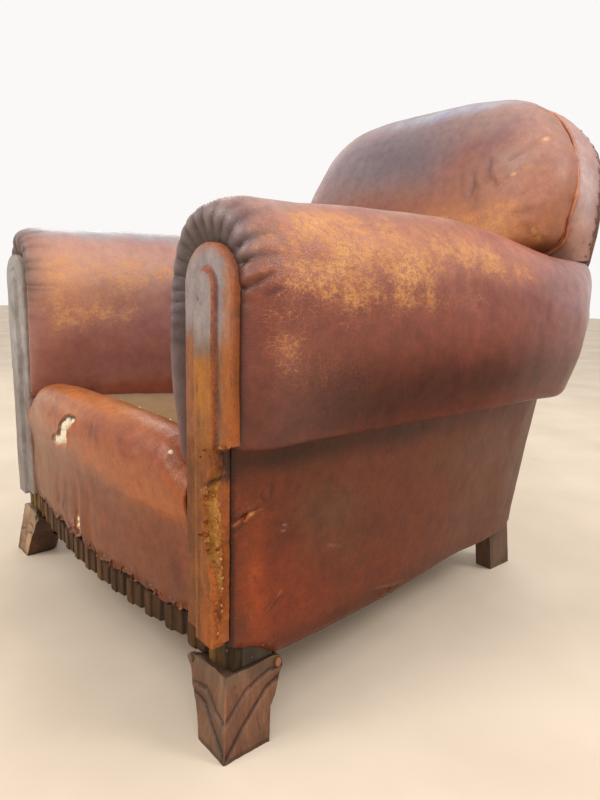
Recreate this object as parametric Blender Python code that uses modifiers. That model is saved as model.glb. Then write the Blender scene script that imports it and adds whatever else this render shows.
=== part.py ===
"""Worn club chair: hardwood frame, coil-sprung seat, stuffed hide arms and back.

Metres, +Z up. The chair faces -Y and +X is the sitter's left. Depths below are
measured backwards from the front plane of the arm facings and turned into Y by Y().
"""
import math

import bmesh
import bpy
import numpy as np
from mathutils import Matrix, Vector

# ---------------------------------------------------------------- dimensions
DEPTH_ORIGIN = 0.43892     # depth of the frame's origin behind the facing plane
GAP = 0.0004               # clearance between touching pieces

# front feet: both outer faces lean in as they rise, to meet the rail and its return
FOOT_OUT_X = 0.3778        # outer front corner at the floor
FOOT_FRONT_D = -0.0082
FOOT_LEAN_X = 0.1790       # how far each face leans in for each metre of height
FOOT_LEAN_D = 0.1390
FOOT_H = 0.0960            # height of the foot's flat top
# height, width across the chair, width along its depth
FOOT_SECTIONS = ((0.0, 0.0565, 0.0655), (0.0400, 0.0636, 0.0664), (0.0550, 0.0712, 0.0750),
                 (0.0750, 0.0753, 0.0798), (0.0860, 0.0835, 0.0838), (FOOT_H, 0.0770, 0.0781))

# reeded rail across the front
RAIL_Z0, RAIL_Z1 = 0.0965, 0.1325
RAIL_HALF = 0.3560
RAIL_FRONT_D = 0.0125
RAIL_BACK_D = 0.0310
RAIL_BOW = 0.0240
REED_PITCH = 0.0230
REED_DEPTH = 0.0035

# arm facings
FACE_IN_X, FACE_OUT_X = 0.2850, 0.3780
FACE_STEP_X, FACE_STEP_Z = 0.3560, 0.3680
FACE_BOTTOM, FACE_TOP = 0.1340, 0.5800
FACE_T = 0.0120
STRIP_W, STRIP_T = 0.0400, 0.0060
STRIP_TOP = 0.5535
FACE_C = 0.5 * (FACE_IN_X + FACE_OUT_X)

# outside arm panels
PANEL_X = 0.3615
PANEL_Z = 0.0980
PANEL_T = 0.0045

# seat frame
SEAT_RAIL_Z0, SEAT_RAIL_Z1 = 0.0968, 0.2000
SIDE_RAIL_T = 0.0260
FRONT_RAIL_D0, FRONT_RAIL_D1 = 0.0330, 0.0590

# back posts and rear legs, sawn in one
POST_X0, POST_X1 = 0.2410, 0.2740
LEG_D0, LEG_D1 = 0.6800, 0.7420
BACK_D_LOW, BACK_Z_LOW = 0.7150, 0.1100      # outer face of the back at the seat frame
BACK_SLOPE = 0.2400                          # depth gained for each metre of height

# arms
ARM_TOP_Z = 0.6350
ARM_REAR_Z = 0.5900
ARM_OUT_X = 0.4060
ARM_IN_X = 0.2380
ARM_UNDER_Z = 0.3620
CAV_X0, CAV_X1 = 0.3020, 0.3570
CAV_TOP = 0.5620

# seat
DECK_FRONT_Z, DECK_REAR_Z = 0.3180, 0.2700
DECK_T = 0.0340
SEAT_HALF = 0.2620
NOSE_TOP_Z = 0.3660

SPRING_WIRE = 0.0019
WEB_W, WEB_T = 0.0500, 0.0016


def Y(depth):
    return depth - DEPTH_ORIGIN


def back_depth(z):
    """Depth of the outer face of the back at height z."""
    return BACK_D_LOW + BACK_SLOPE * (z - BACK_Z_LOW)


def bow(x, half=FACE_IN_X):
    """Forward bow of the seat front at x."""
    t = min(1.0, abs(x) / half)
    return RAIL_BOW * (1.0 - t * t)


def smooth(a, b, t):
    t = max(0.0, min(1.0, t))
    t = t * t * (3 - 2 * t)
    return a + (b - a) * t


# ---------------------------------------------------------------- scene helpers
for ob in list(bpy.data.objects):
    bpy.data.objects.remove(ob, do_unlink=True)

chair = bpy.data.collections.new("club_chair")
bpy.context.scene.collection.children.link(chair)
cutters = bpy.data.collections.new("cutters")
bpy.context.scene.collection.children.link(cutters)

MATS = {}


def mat(name, color, rough, metal=0.0):
    if name not in MATS:
        m = bpy.data.materials.new(name)
        m.use_nodes = True
        b = m.node_tree.nodes["Principled BSDF"]
        b.inputs["Base Color"].default_value = (*color, 1)
        b.inputs["Roughness"].default_value = rough
        b.inputs["Metallic"].default_value = metal
        MATS[name] = m
    return MATS[name]


BEECH = ("beech", (0.42, 0.26, 0.13), 0.65)
DARK_OAK = ("dark_oak", (0.12, 0.08, 0.05), 0.5)
FOOT_OAK = ("foot_oak", (0.20, 0.11, 0.07), 0.5)
HIDE = ("hide", (0.26, 0.07, 0.03), 0.42)
HIDE_DARK = ("hide_dark", (0.16, 0.05, 0.03), 0.45)
FACING = ("facing_cloth", (0.32, 0.17, 0.08), 0.5)
CLOTH = ("platform_cloth", (0.24, 0.19, 0.09), 0.9)
WEBBING = ("jute_webbing", (0.38, 0.28, 0.16), 0.9)
STEEL = ("spring_steel", (0.20, 0.17, 0.15), 0.45, 0.9)


def place(ob, material, where=None):
    for c in list(ob.users_collection):
        c.objects.unlink(ob)
    (where or chair).objects.link(ob)
    ob.data.materials.clear()
    ob.data.materials.append(mat(*material))
    return ob


def box(name, lo, hi, material, bevel=0.0, rot_z=0.0, pivot=None):
    """Axis-aligned block from a cube primitive, optionally turned about Z."""
    lo, hi = Vector(lo), Vector(hi)
    bpy.ops.mesh.primitive_cube_add(size=1.0)
    ob = bpy.context.active_object
    ob.name = ob.data.name = name
    size = hi - lo
    ob.data.transform(Matrix.Diagonal((*size, 1.0)))
    ob.location = (lo + hi) / 2
    ob.rotation_euler = (0, 0, rot_z)
    if bevel:
        m = ob.modifiers.new("edges", "BEVEL")
        m.width = bevel
        m.segments = 1
        m.limit_method = "ANGLE"
    return place(ob, material)


def loft(name, rings, material, smooth_angle=50):
    """Closed body through rings of equal vertex count, ends filled."""
    bm = bmesh.new()
    rows = [[bm.verts.new(p) for p in ring] for ring in rings]
    n = len(rows[0])
    for a, b in zip(rows, rows[1:]):
        for i in range(n):
            j = (i + 1) % n
            bm.faces.new((a[i], a[j], b[j], b[i]))
    bm.faces.new(list(reversed(rows[0])))
    bm.faces.new(rows[-1])
    bmesh.ops.recalc_face_normals(bm, faces=bm.faces)
    # the caps are concave outlines, so they are cut into triangles here
    caps = [f for f in bm.faces if len(f.verts) > 4]
    bmesh.ops.triangulate(bm, faces=caps, ngon_method="EAR_CLIP")
    me = bpy.data.meshes.new(name)
    bm.to_mesh(me)
    bm.free()
    ob = bpy.data.objects.new(name, me)
    chair.objects.link(ob)
    me.shade_smooth()
    me.set_sharp_from_angle(angle=math.radians(smooth_angle))
    return place(ob, material)


def outline(name, points, thickness, material, matrix):
    """Flat board: a filled 2D curve given half its thickness on each side."""
    cu = bpy.data.curves.new(name, "CURVE")
    cu.dimensions = "2D"
    cu.fill_mode = "BOTH"
    cu.extrude = thickness / 2
    sp = cu.splines.new("POLY")
    sp.points.add(len(points) - 1)
    for p, (u, v) in zip(sp.points, points):
        p.co = (u, v, 0, 1)
    sp.use_cyclic_u = True
    ob = bpy.data.objects.new(name, cu)
    chair.objects.link(ob)
    ob.matrix_world = matrix
    return place(ob, material)


def wire(name, points, radius, material, resolution=1):
    cu = bpy.data.curves.new(name, "CURVE")
    cu.dimensions = "3D"
    cu.bevel_depth = radius
    cu.bevel_resolution = resolution
    cu.use_fill_caps = True
    cu.twist_mode = "MINIMUM"
    sp = cu.splines.new("POLY")
    sp.points.add(len(points) - 1)
    for p, co in zip(sp.points, points):
        p.co = (*co, 1)
    ob = bpy.data.objects.new(name, cu)
    chair.objects.link(ob)
    return place(ob, material)


def mirrored(points, side):
    """Rings are modelled for +X; side -1 gives the other hand."""
    return [[Vector((side * p[0], p[1], p[2])) for p in ring] for ring in points]


# XY plane of a 2D curve turned to stand in the world's XZ plane, facing -Y
UPRIGHT = Matrix.Rotation(math.radians(90), 4, "X")
HANDS = ((1, "left"), (-1, "right"))

# ---------------------------------------------------------------- front feet
for s, hand in HANDS:
    rings = []
    for z, wx, wd in FOOT_SECTIONS:
        out, front = FOOT_OUT_X - FOOT_LEAN_X * z, FOOT_FRONT_D + FOOT_LEAN_D * z
        rings.append([
            (out, Y(front), z), (out, Y(front + wd), z),
            (out - wx, Y(front + wd), z), (out - wx, Y(front), z),
        ])
    loft("front_foot_" + hand, mirrored(rings, s), FOOT_OAK)

# ---------------------------------------------------------------- back posts with rear legs
def post_profile():
    """Side outline, depth against height: raked leg below, leaning post above."""
    top = 0.698
    pts = [(LEG_D0, 0.0), (LEG_D0 - 0.019, 0.110)]
    for z in (0.20, 0.30, 0.45, 0.60, top):
        pts.append((back_depth(z) - 0.0480, z))
    for z in (top, 0.60, 0.45, 0.30, 0.20):
        pts.append((back_depth(z) - 0.0050, z))
    pts += [(0.7085, 0.1150), (0.7085, 0.1080), (LEG_D1 - 0.0190, 0.100), (LEG_D1, 0.0)]
    return pts


for s, hand in HANDS:
    prof = post_profile()
    rings = [[(x, Y(d), z) for d, z in prof] for x in (POST_X0, POST_X1)]
    loft("back_post_" + hand, mirrored(rings, s), BEECH, 20)

# ---------------------------------------------------------------- seat frame
def side_rail_x(d):
    """Outer face of the side rail: the seat narrows towards the back."""
    return 0.3455 - 0.0945 * (d - 0.060)


for s, hand in HANDS:
    d0, d1 = FRONT_RAIL_D1 + GAP, 0.6550
    rings = []
    for d in (d0, d1):
        xo = side_rail_x(d)
        rings.append([(xo, Y(d), SEAT_RAIL_Z0), (xo, Y(d), SEAT_RAIL_Z1),
                      (xo - SIDE_RAIL_T, Y(d), SEAT_RAIL_Z1), (xo - SIDE_RAIL_T, Y(d), SEAT_RAIL_Z0)])
    loft("side_seat_rail_" + hand, mirrored(rings, s), BEECH, 20)

box("front_seat_rail", (-0.3450, Y(FRONT_RAIL_D0), SEAT_RAIL_Z0), (0.3450, Y(FRONT_RAIL_D1), 0.2450), BEECH, 0.002)
box("rear_seat_rail", (-POST_X0 + GAP, Y(0.6680), SEAT_RAIL_Z0), (POST_X0 - GAP, Y(0.6940), SEAT_RAIL_Z1), BEECH, 0.002)

for s, hand in HANDS:
    # front post: fills the arm behind the facing, from the foot to the arch
    box("front_post_" + hand,
        (min(s * 0.3060, s * 0.3530), Y(0.0145), 0.1335),
        (max(s * 0.3060, s * 0.3530), Y(0.0310), 0.5450), BEECH, 0.001)
    # corner blocks glued inside the seat frame
    xi = side_rail_x(0.12) - SIDE_RAIL_T - 0.0040
    tri = [(xi, Y(FRONT_RAIL_D1 + GAP)), (xi, Y(FRONT_RAIL_D1 + 0.060)), (xi - 0.060, Y(FRONT_RAIL_D1 + GAP))]
    loft("corner_block_front_" + hand, mirrored([[(x, y, z) for x, y in tri] for z in (0.150, 0.195)], s), BEECH, 20)

# ---------------------------------------------------------------- reeded front rail
def reeded(x):
    """Depth of the rail's face: half-round reeds between narrow quirks."""
    t = (x / REED_PITCH) % 1.0
    return REED_DEPTH * abs(math.cos(math.pi * t)) ** 3


xs = []
steps = int(round(2 * RAIL_HALF / REED_PITCH))
for i in range(steps):
    for f in (0.0, 0.18, 0.5, 0.82):
        xs.append(-RAIL_HALF + (i + f) * 2 * RAIL_HALF / steps)
xs.append(RAIL_HALF)
rings = []
for x in xs:
    t = ((x + RAIL_HALF) / (2 * RAIL_HALF) * steps) % 1.0
    cut = REED_DEPTH if min(t, 1 - t) < 0.02 else (0.0008 if min(t, 1 - t) < 0.25 else 0.0)
    f = RAIL_FRONT_D - bow(x) + cut
    b = RAIL_BACK_D - bow(x)
    rings.append([(x, Y(f), RAIL_Z0), (x, Y(f), RAIL_Z1), (x, Y(b), RAIL_Z1), (x, Y(b), RAIL_Z0)])
loft("reeded_front_rail", rings, DARK_OAK, 20)

for s, hand in HANDS:
    box("rail_return_" + hand,
        (min(s * 0.3465, s * 0.3560), Y(RAIL_BACK_D + GAP), RAIL_Z0),
        (max(s * 0.3465, s * 0.3560), Y(0.0760), RAIL_Z1), DARK_OAK, 0.001)

# ---------------------------------------------------------------- arm facings
def facing_outline():
    r = 0.5 * (FACE_OUT_X - FACE_IN_X)
    c = FACE_TOP - r
    pts = [(FACE_IN_X, FACE_BOTTOM)]
    for i in range(17):
        a = math.pi - math.pi * i / 16
        pts.append((FACE_C + r * math.cos(a), c + r * math.sin(a)))
    pts += [(FACE_OUT_X, FACE_STEP_Z), (FACE_STEP_X, FACE_STEP_Z), (FACE_STEP_X, FACE_BOTTOM)]
    return pts


def strip_outline():
    r = STRIP_W / 2
    c = STRIP_TOP - r
    pts = [(FACE_C - r, FACE_BOTTOM - 0.006)]
    for i in range(13):
        a = math.pi - math.pi * i / 12
        pts.append((FACE_C + r * math.cos(a), c + r * math.sin(a)))
    pts.append((FACE_C + r, FACE_BOTTOM - 0.006))
    return pts


for s, hand in HANDS:
    M = Matrix.Translation((0, Y(FACE_T / 2), 0)) @ UPRIGHT
    outline("facing_board_" + hand, [(s * x, z) for x, z in facing_outline()], FACE_T - GAP, FACING, M)
    M = Matrix.Translation((0, Y(-STRIP_T / 2 - GAP), 0)) @ UPRIGHT
    outline("facing_strip_" + hand, [(s * x, z) for x, z in strip_outline()], STRIP_T, FACING, M)

# ---------------------------------------------------------------- arm frames
for s, hand in HANDS:
    box("arm_top_rail_" + hand,
        (min(s * 0.3060, s * 0.3530), Y(0.0315), 0.5150),
        (max(s * 0.3060, s * 0.3530), Y(0.6400), 0.5450), BEECH, 0.002)
    box("arm_roll_rail_" + hand,
        (min(s * 0.3330, s * 0.3520), Y(0.0315), 0.3750),
        (max(s * 0.3330, s * 0.3520), Y(0.6400), 0.4050), BEECH, 0.002)

# ---------------------------------------------------------------- arm pads
ARM_FRONT = (
    # depth, share of full girth, share of full height, forward bulge of the rim round the facing
    (0.0136, 0.30, 0.20, 0.0000), (0.0141, 0.55, 0.42, 0.0085), (0.0147, 0.76, 0.56, 0.0085),
    (0.0160, 0.89, 0.66, 0.0045), (0.0240, 0.965, 0.75, 0.0), (0.0420, 0.992, 0.83, 0.0), (0.0750, 1.0, 0.90, 0.0),
)
ARM_BODY = (0.115, 0.125, 0.24, 0.36, 0.46, 0.56, 0.60, 0.64, 0.69, 0.735, 0.775, 0.800)


def arm_under(d):
    """Height of the underside of the roll; it lifts at the rounded rear end."""
    t = max(0.0, (d - 0.66) / 0.14)
    return ARM_UNDER_Z + 0.060 * t ** 2.2


def arm_section(d, k=1.0, rise=1.0):
    """Section of the stuffed arm at depth d: the hide's line and the hollow for the frame.

    k and rise are the shares of full girth and height near the facing, where the hide is gathered in.
    Returns the hide line from the foot of the inner wall over the top to the frame under the roll,
    the x of the hollow's two sides, and the height of its top.
    """
    out, top, inn, under = ARM_OUT_X, ARM_TOP_Z, ARM_IN_X, arm_under(d)
    bottom = 0.3220 if d < 0.120 else 0.2850
    out = 0.3800 + (out - 0.3800) * k
    top = 0.5830 + (top - 0.5830) * rise
    if 0.100 < d < 0.36:
        top = smooth(ARM_TOP_Z - 0.0035, ARM_TOP_Z, (d - 0.10) / 0.14)
    inn = 0.2820 + (inn - 0.2820) * k
    under += 0.006 * (1 - k)
    if d > 0.36:
        top = smooth(ARM_TOP_Z, ARM_REAR_Z, (d - 0.36) / 0.40)
    if d > 0.64:
        t = (d - 0.64) / 0.16
        out = ARM_OUT_X - 0.052 * t ** 2.0
    # the inner wall thins where the back pad and the posts stand
    if d > 0.560:
        inn = smooth(ARM_IN_X, 0.2960, (d - 0.560) / 0.080)
    c0, c1 = CAV_X0, min(CAV_X1, out - 0.012)
    if d > 0.650:
        bottom = smooth(0.2850, 0.4200, (d - 0.650) / 0.10)
    w = out - inn
    low = min(0.0260, 0.4 * (c0 - inn)) * k
    line = [
        (inn + 0.55 * (c0 - inn), bottom), (inn + low, bottom + 0.020),
        (inn + 0.35 * low, bottom + 0.080 * (top - bottom) / 0.31), (inn, bottom + 0.45 * (top - bottom)),
        (inn + 0.002, top - 0.095),
        (inn + 0.13 * w, top - 0.036), (inn + 0.31 * w, top - 0.008), (inn + 0.52 * w, top),
        (inn + 0.72 * w, top - 0.008), (inn + 0.89 * w, top - 0.036), (out - 0.003, top - 0.080),
        (out, 0.5 * (under + top)), (out - 0.003, under + 0.060), (out - 0.012 * k, under + 0.022),
        (out - 0.020, under + 0.003), (c1 + 0.001, under),
    ]
    return line, c0, c1, CAV_TOP


def stretch(line, z0, z1, side, count):
    """The part of the hide line on one side of its crest between two heights, as count points."""
    crest = max(range(len(line)), key=lambda i: line[i][1])
    half = line[:crest + 1] if side < 0 else list(reversed(line[crest:]))
    zs = [p[1] for p in half]
    zs = [z + 1e-7 * i for i, z in enumerate(zs)]
    xs = [p[0] for p in half]
    return [(float(np.interp(z, zs, xs)), z) for z in np.linspace(z0, z1, count)]


def lean(d, z):
    """The rear of the arm leans back with the chair's back."""
    return BACK_SLOPE * (z - 0.50) * max(0.0, min(1.0, (d - 0.60) / 0.20))


def arm_rings(d, k, rise):
    """Sections at one depth of the three stuffings: inner wall, crown and outer roll."""
    line, c0, c1, ct = arm_section(d, k, rise)
    z_in, z_top, z_out = line[0][1], max(z for _, z in line), line[-1][1]
    wall = [(c0, z_in)] + stretch(line, z_in, ct - GAP, -1, 7) + [(c0, ct - GAP)]
    crown = (stretch(line, ct, z_top, -1, 6) + list(reversed(stretch(line, ct, z_top - 0.0002, 1, 6))))
    roll = list(reversed(stretch(line, z_out, ct - GAP, 1, 8))) + [(c1, z_out), (c1, ct - GAP)]
    return wall, crown, roll


def beyond_facing(x, z):
    """True outside the facing board's outline, where the hide may bulge past its rear face."""
    r = 0.5 * (FACE_OUT_X - FACE_IN_X)
    c = FACE_TOP - r
    if z < 0.338:
        return False
    if z > c:
        return math.hypot(x - FACE_C, z - c) > r + 0.0008
    return x < FACE_IN_X - 0.0008 or x > FACE_OUT_X + 0.0008


for s, hand in HANDS:
    wall, crown, roll = [], [], []
    for d, k, rise, puff in ARM_FRONT:
        for rings, section in zip((wall, crown, roll), arm_rings(d, k, rise)):
            rings.append([(x, Y(d - (puff * (0.35 if x > FACE_C else 1.0) if beyond_facing(x, z) else 0.0)), z)
                          for x, z in section])
    for d in ARM_BODY:
        for rings, section in zip((wall, crown, roll), arm_rings(d, 1.0, 1.0)):
            rings.append([(x, Y(d + lean(d, z)), z) for x, z in section])
    loft("arm_wall_pad_" + hand, mirrored(wall, s), HIDE, 60)
    loft("arm_crown_pad_" + hand, mirrored(crown, s), HIDE, 60)
    loft("arm_roll_pad_" + hand, mirrored(roll, s), HIDE, 60)

# ---------------------------------------------------------------- outside arm panels
PANEL_LOW = (
    # outer face at the foot: half width, depth
    (0.3615, 0.0130), (0.3605, 0.080), (0.3555, 0.180), (0.3455, 0.300), (0.3300, 0.420),
    (0.3130, 0.530), (0.3060, 0.600), (0.2990, 0.645), (0.2905, 0.690), (0.2812, 0.7140),
)
PANEL_HIGH = (
    # outer face under the roll
    (0.3615, 0.0130), (0.3610, 0.100), (0.3600, 0.300), (0.3560, 0.450), (0.3510, 0.560),
    (0.3470, 0.610), (0.3400, 0.660), (0.3290, 0.700), (0.3130, 0.740), (0.2860, 0.7680),
)


for s, hand in HANDS:
    low, high = PANEL_LOW, PANEL_HIGH
    rings = []
    n = len(low)
    for i in range(n):
        z0 = 0.1340 if i == 0 else PANEL_Z
        z1 = arm_under(high[i][1] + 0.004) - 0.0015
        ring_out, ring_in = [], []
        for k in range(4):
            t = k / 3
            a = Vector((low[i][0], low[i][1])).lerp(Vector((high[i][0], high[i][1])), t)
            j0, j1 = max(0, i - 1), min(n - 1, i + 1)
            p0 = Vector(low[j0]).lerp(Vector(high[j0]), t)
            p1 = Vector(low[j1]).lerp(Vector(high[j1]), t)
            tan = (p1 - p0).normalized()
            nrm = Vector((tan.y, -tan.x))
            z = z0 + (z1 - z0) * t
            ring_out.append((a.x, Y(a.y), z))
            b = a - nrm * PANEL_T
            ring_in.append((b.x, Y(b.y), z))
        rings.append(ring_out + list(reversed(ring_in)))
    loft("outside_arm_" + hand, mirrored(rings, s), HIDE, 50)

# ---------------------------------------------------------------- back frame
def back_half(z):
    """Half width of the back's outline at height z."""
    zs = (0.105, 0.360, 0.400, 0.500, 0.592, 0.640, 0.690, 0.750, 0.795, 0.835, 0.862, 0.880, 0.890, 0.896)
    ws = (0.2660, 0.2790, 0.2900, 0.3180, 0.3360, 0.3380, 0.3370, 0.3260, 0.3060, 0.2720, 0.2350, 0.1900, 0.1350, 0.0)
    return float(np.interp(z, zs, ws))


RAKE = math.atan(BACK_SLOPE)
COS_R = math.cos(RAKE)


def raked(offset):
    """Frame whose XY plane lies parallel to the back, offset in front of its outer face."""
    origin = Vector((0, Y(back_depth(0.0) - offset), 0))
    up = Vector((0, math.sin(RAKE), COS_R))
    across = Vector((1, 0, 0))
    normal = across.cross(up)
    m = Matrix((across, up, normal)).transposed().to_4x4()
    m.translation = origin
    return m


TOP_RAIL_Z = 0.7004
zr0, zr1 = 0.300, 0.345
rings = []
for x in (-POST_X0 + GAP, POST_X0 - GAP):
    rings.append([(x, Y(back_depth(zr0) - 0.047), zr0), (x, Y(back_depth(zr1) - 0.047), zr1),
                  (x, Y(back_depth(zr1) - 0.020), zr1), (x, Y(back_depth(zr0) - 0.020), zr0)])
loft("back_lower_rail", rings, BEECH, 20)

# hide panel over the whole rear, from the seat frame to the top
zs = [0.1100, 0.230, 0.360, 0.400, 0.500, 0.592, 0.640, 0.690, 0.750, 0.795, 0.835, 0.862, 0.880, 0.890]
half = [(back_half(z) - 0.0006, z / COS_R) for z in zs]
outline("outside_back", half + [(0.0, 0.8954 / COS_R)] + [(-x, v) for x, v in reversed(half)],
        0.0040, HIDE_DARK, raked(0.0021))

# border round the sides and top of the back, between the piping and the outside back
def back_edge(z_low, inset=0.0):
    zs = [z_low] + [z for z in (0.640, 0.690, 0.750, 0.795, 0.835, 0.862, 0.880, 0.890) if z > z_low]
    pts = [(back_half(z), z) for z in zs] + [(0.0, 0.896)]
    pts = pts + [(-x, z) for x, z in reversed(pts[:-1])]
    if not inset:
        return pts
    out = []
    for i, (x, z) in enumerate(pts):
        a, b = pts[max(0, i - 1)], pts[min(len(pts) - 1, i + 1)]
        t = Vector((b[0] - a[0], b[1] - a[1])).normalized()
        out.append((x - t.y * inset, z + t.x * inset))
    return out


# arched board between the posts and the border
board = back_edge(TOP_RAIL_Z, 0.0066)
rings = [[(x, Y(back_depth(z) - off), z) for x, z in board] for off in (0.0455, 0.0052)]
loft("back_top_rail", rings, BEECH, 20)

rings = []
edge_out, edge_in = back_edge(0.5935), back_edge(0.5935, 0.0060)
for (xo, zo), (xi, zi) in zip(edge_out, edge_in):
    rings.append([(xo, Y(back_depth(zo) - 0.0720), zo), (xo, Y(back_depth(zo) - 0.0052), zo),
                  (xi, Y(back_depth(zi) - 0.0052), zi), (xi, Y(back_depth(zi) - 0.0720), zi)])
loft("back_border", rings, HIDE, 50)

pts = [(x, Y(back_depth(z) - 0.0765), z) for x, z in back_edge(0.5935, 0.0010)]
wire("back_piping", pts, 0.0038, HIDE)

# ---------------------------------------------------------------- back pad
def pad_outline(grow=0.0):
    """Front view of the pad: narrow between the arms, spreading over them above."""
    right = [(0.222, 0.284), (0.2300, 0.340), (0.2310, 0.440), (0.2320, 0.540), (0.2350, 0.580), (0.2500, 0.5990),
             (0.2950, 0.6005), (0.3200, 0.6220), (0.3310, 0.6600), (0.3320, 0.7000), (0.3230, 0.7500), (0.3030, 0.7950),
             (0.2700, 0.8330), (0.2330, 0.8600), (0.1860, 0.8780), (0.1200, 0.8890)]
    top = [(0.0, 0.8940)]
    low = [(0.110, 0.278), (0.0, 0.277), (-0.110, 0.278)]
    return right + top + [(-x, z) for x, z in reversed(right)] + list(reversed(low))


rings = []
cz = 0.600
for off, sx, dz in ((0.0550, 1.0, 0.0), (0.0725, 1.0, 0.0), (0.0850, 1.0, 0.0), (0.1180, 1.017, 0.007), (0.1500, 1.003, 0.007),
                    (0.1780, 0.935, 0.006), (0.1970, 0.810, 0.003), (0.2070, 0.560, 0.0)):
    ring = []
    for x, z in pad_outline():
        zz = cz + (z - cz) * (sx if z > 0.62 else min(sx, 1.0)) + dz * smooth(0, 1, (z - 0.64) / 0.14)
        xx = x * (sx if z > 0.62 or sx < 1 else 1.0)
        if off < 0.080:
            xx, zz = (x * 0.960 if abs(x) > 0.25 else x), (zz if z < 0.62 else zz - 0.014 * (z - 0.62) / 0.26)
        ring.append((xx, Y(back_depth(zz) - off), zz))
    rings.append(ring)
loft("back_pad", rings, HIDE, 60)

# ---------------------------------------------------------------- seat front roll and apron
def nose_top(x):
    return float(np.interp(abs(x), (0.0, 0.12, 0.20, 0.240, 0.252, 0.260, 0.2835),
                           (NOSE_TOP_Z, 0.3640, 0.3570, 0.3470, 0.3360, 0.3180, 0.3170)))


NOSE_REAR_D = 0.1120
rings = []
for x in (-0.2835, -0.260, -0.252, -0.240, -0.20, -0.12, 0.0, 0.12, 0.20, 0.240, 0.252, 0.260, 0.2835):
    f = 0.0005 - bow(x)
    t = nose_top(x)
    h = t - 0.2455
    rear = NOSE_REAR_D
    rings.append([(x, Y(f + 0.006), 0.2455), (x, Y(f), 0.2455 + 0.30 * h), (x, Y(f - 0.002), 0.2455 + 0.60 * h),
                  (x, Y(f + 0.010), 0.2455 + 0.86 * h), (x, Y(f + 0.032), t), (x, Y(f + 0.060), t - 0.004),
                  (x, Y(0.082), t - 0.28 * h), (x, Y(0.100), t - 0.42 * h), (x, Y(rear), t - 0.60 * h), (x, Y(rear), 0.2455)])
loft("seat_front_roll", rings, HIDE, 60)

rings = []
for x in (-0.2835, -0.22, -0.14, -0.07, 0.0, 0.07, 0.14, 0.22, 0.2835):
    f = 0.0030 - bow(x)
    rings.append([(x, Y(f + 0.004), RAIL_Z1 + GAP), (x, Y(f), 0.170), (x, Y(f + 0.002), 0.2450),
                  (x, Y(0.0322), 0.2450), (x, Y(0.0322), RAIL_Z1 + GAP)])
loft("seat_front_apron", rings, HIDE, 60)

# ---------------------------------------------------------------- platform cloth over its stuffing
DECK_D0, DECK_D1 = NOSE_REAR_D + 0.0006, 0.6400


def deck_top(d):
    return DECK_FRONT_Z + (DECK_REAR_Z - DECK_FRONT_Z) * (d - DECK_D0) / (DECK_D1 - DECK_D0)


rings = []
for d in (DECK_D0, 0.16, 0.26, 0.38, 0.50, 0.60, DECK_D1):
    z = deck_top(d)
    w = SEAT_HALF
    crown = 0.004 * math.sin(math.pi * (d - DECK_D0) / (DECK_D1 - DECK_D0))
    rings.append([(w, Y(d), z - DECK_T), (w, Y(d), z - 0.008), (w - 0.012, Y(d), z - 0.001), (0.5 * w, Y(d), z + 0.5 * crown),
                  (0.0, Y(d), z + crown - 0.001), (-0.5 * w, Y(d), z + 0.5 * crown), (-w + 0.012, Y(d), z - 0.001),
                  (-w, Y(d), z - 0.008), (-w, Y(d), z - DECK_T)])
loft("seat_deck", rings, CLOTH, 60)

# ---------------------------------------------------------------- springs
def coil(x, d, z0, z1, turns=4.0, n=9):
    pts = []
    steps = int(turns * n)
    for i in range(steps + 1):
        t = i / steps
        r = 0.030 + 0.014 * abs(2 * t - 1) ** 1.3
        a = 2 * math.pi * turns * t
        # the end turns lie flat
        tz = 0.0 if t < 0.5 / turns else (1.0 if t > 1 - 0.5 / turns else (t - 0.5 / turns) / (1 - 1.0 / turns))
        pts.append((x + r * math.cos(a), Y(d) + r * math.sin(a), z0 + (z1 - z0) * tz))
    return pts


WEB_Z = 0.0938
n = 0
for d in (0.190, 0.350, 0.510):
    for x in (0.150, 0.0, -0.150):
        n += 1
        z0 = WEB_Z + 0.0013 + WEB_T / 2 + SPRING_WIRE + 0.0006
        z1 = deck_top(d + 0.045) - DECK_T - SPRING_WIRE - 0.0006
        wire("seat_spring_%d" % n, coil(x, d, z0, z1), SPRING_WIRE, STEEL, 0)

# ---------------------------------------------------------------- webbing
def strap(name, start, end, crossings, first_up, across, lift, z_of):
    """Flat strap from start to end, woven over and under at the given crossings."""
    n = 30
    rings = []
    for i in range(n + 1):
        t = i / n
        p = Vector(start).lerp(Vector(end), t)
        w = 0.0
        for k, c in enumerate(crossings):
            up = 1 if (k + first_up) % 2 else -1
            w += up * math.exp(-((t - c) / 0.085) ** 2)
        w = max(-1.0, min(1.0, w)) * 0.0013
        base = p + lift * (z_of(p) + w)
        a = across * (WEB_W / 2)
        h = lift * (WEB_T / 2)
        rings.append([base - a - h, base + a - h, base + a + h, base - a + h])
    loft(name, rings, WEBBING, 30)


up = Vector((0, 0, 1))
X_AXIS, Y_AXIS = Vector((1, 0, 0)), Vector((0, 1, 0))
LONG_X = (0.150, 0.0, -0.150)
CROSS_D = (0.190, 0.350, 0.510)
for i, x in enumerate(LONG_X):
    a, b = Y(0.0365), Y(0.6920)
    cr = [(Y(d) - a) / (b - a) for d in CROSS_D]
    strap("seat_web_long_%d" % (i + 1), (x, a, 0), (x, b, 0), cr, i % 2, X_AXIS, up, lambda p: WEB_Z)
for j, d in enumerate(CROSS_D):
    hx = side_rail_x(d) - 0.004
    cr = [(x + hx) / (2 * hx) for x in reversed(LONG_X)]
    strap("seat_web_cross_%d" % (j + 1), (-hx, Y(d), 0), (hx, Y(d), 0), cr, (j + 1) % 2, Y_AXIS, up, lambda p: WEB_Z)

BACK_UP = Vector((0, math.sin(RAKE), COS_R))
BACK_N = Vector((0, -COS_R, math.sin(RAKE)))
WEB_OFF = 0.0512
UPRIGHT_X = (0.110, -0.110)
BACK_Z = (0.420, 0.540, 0.640)


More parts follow.
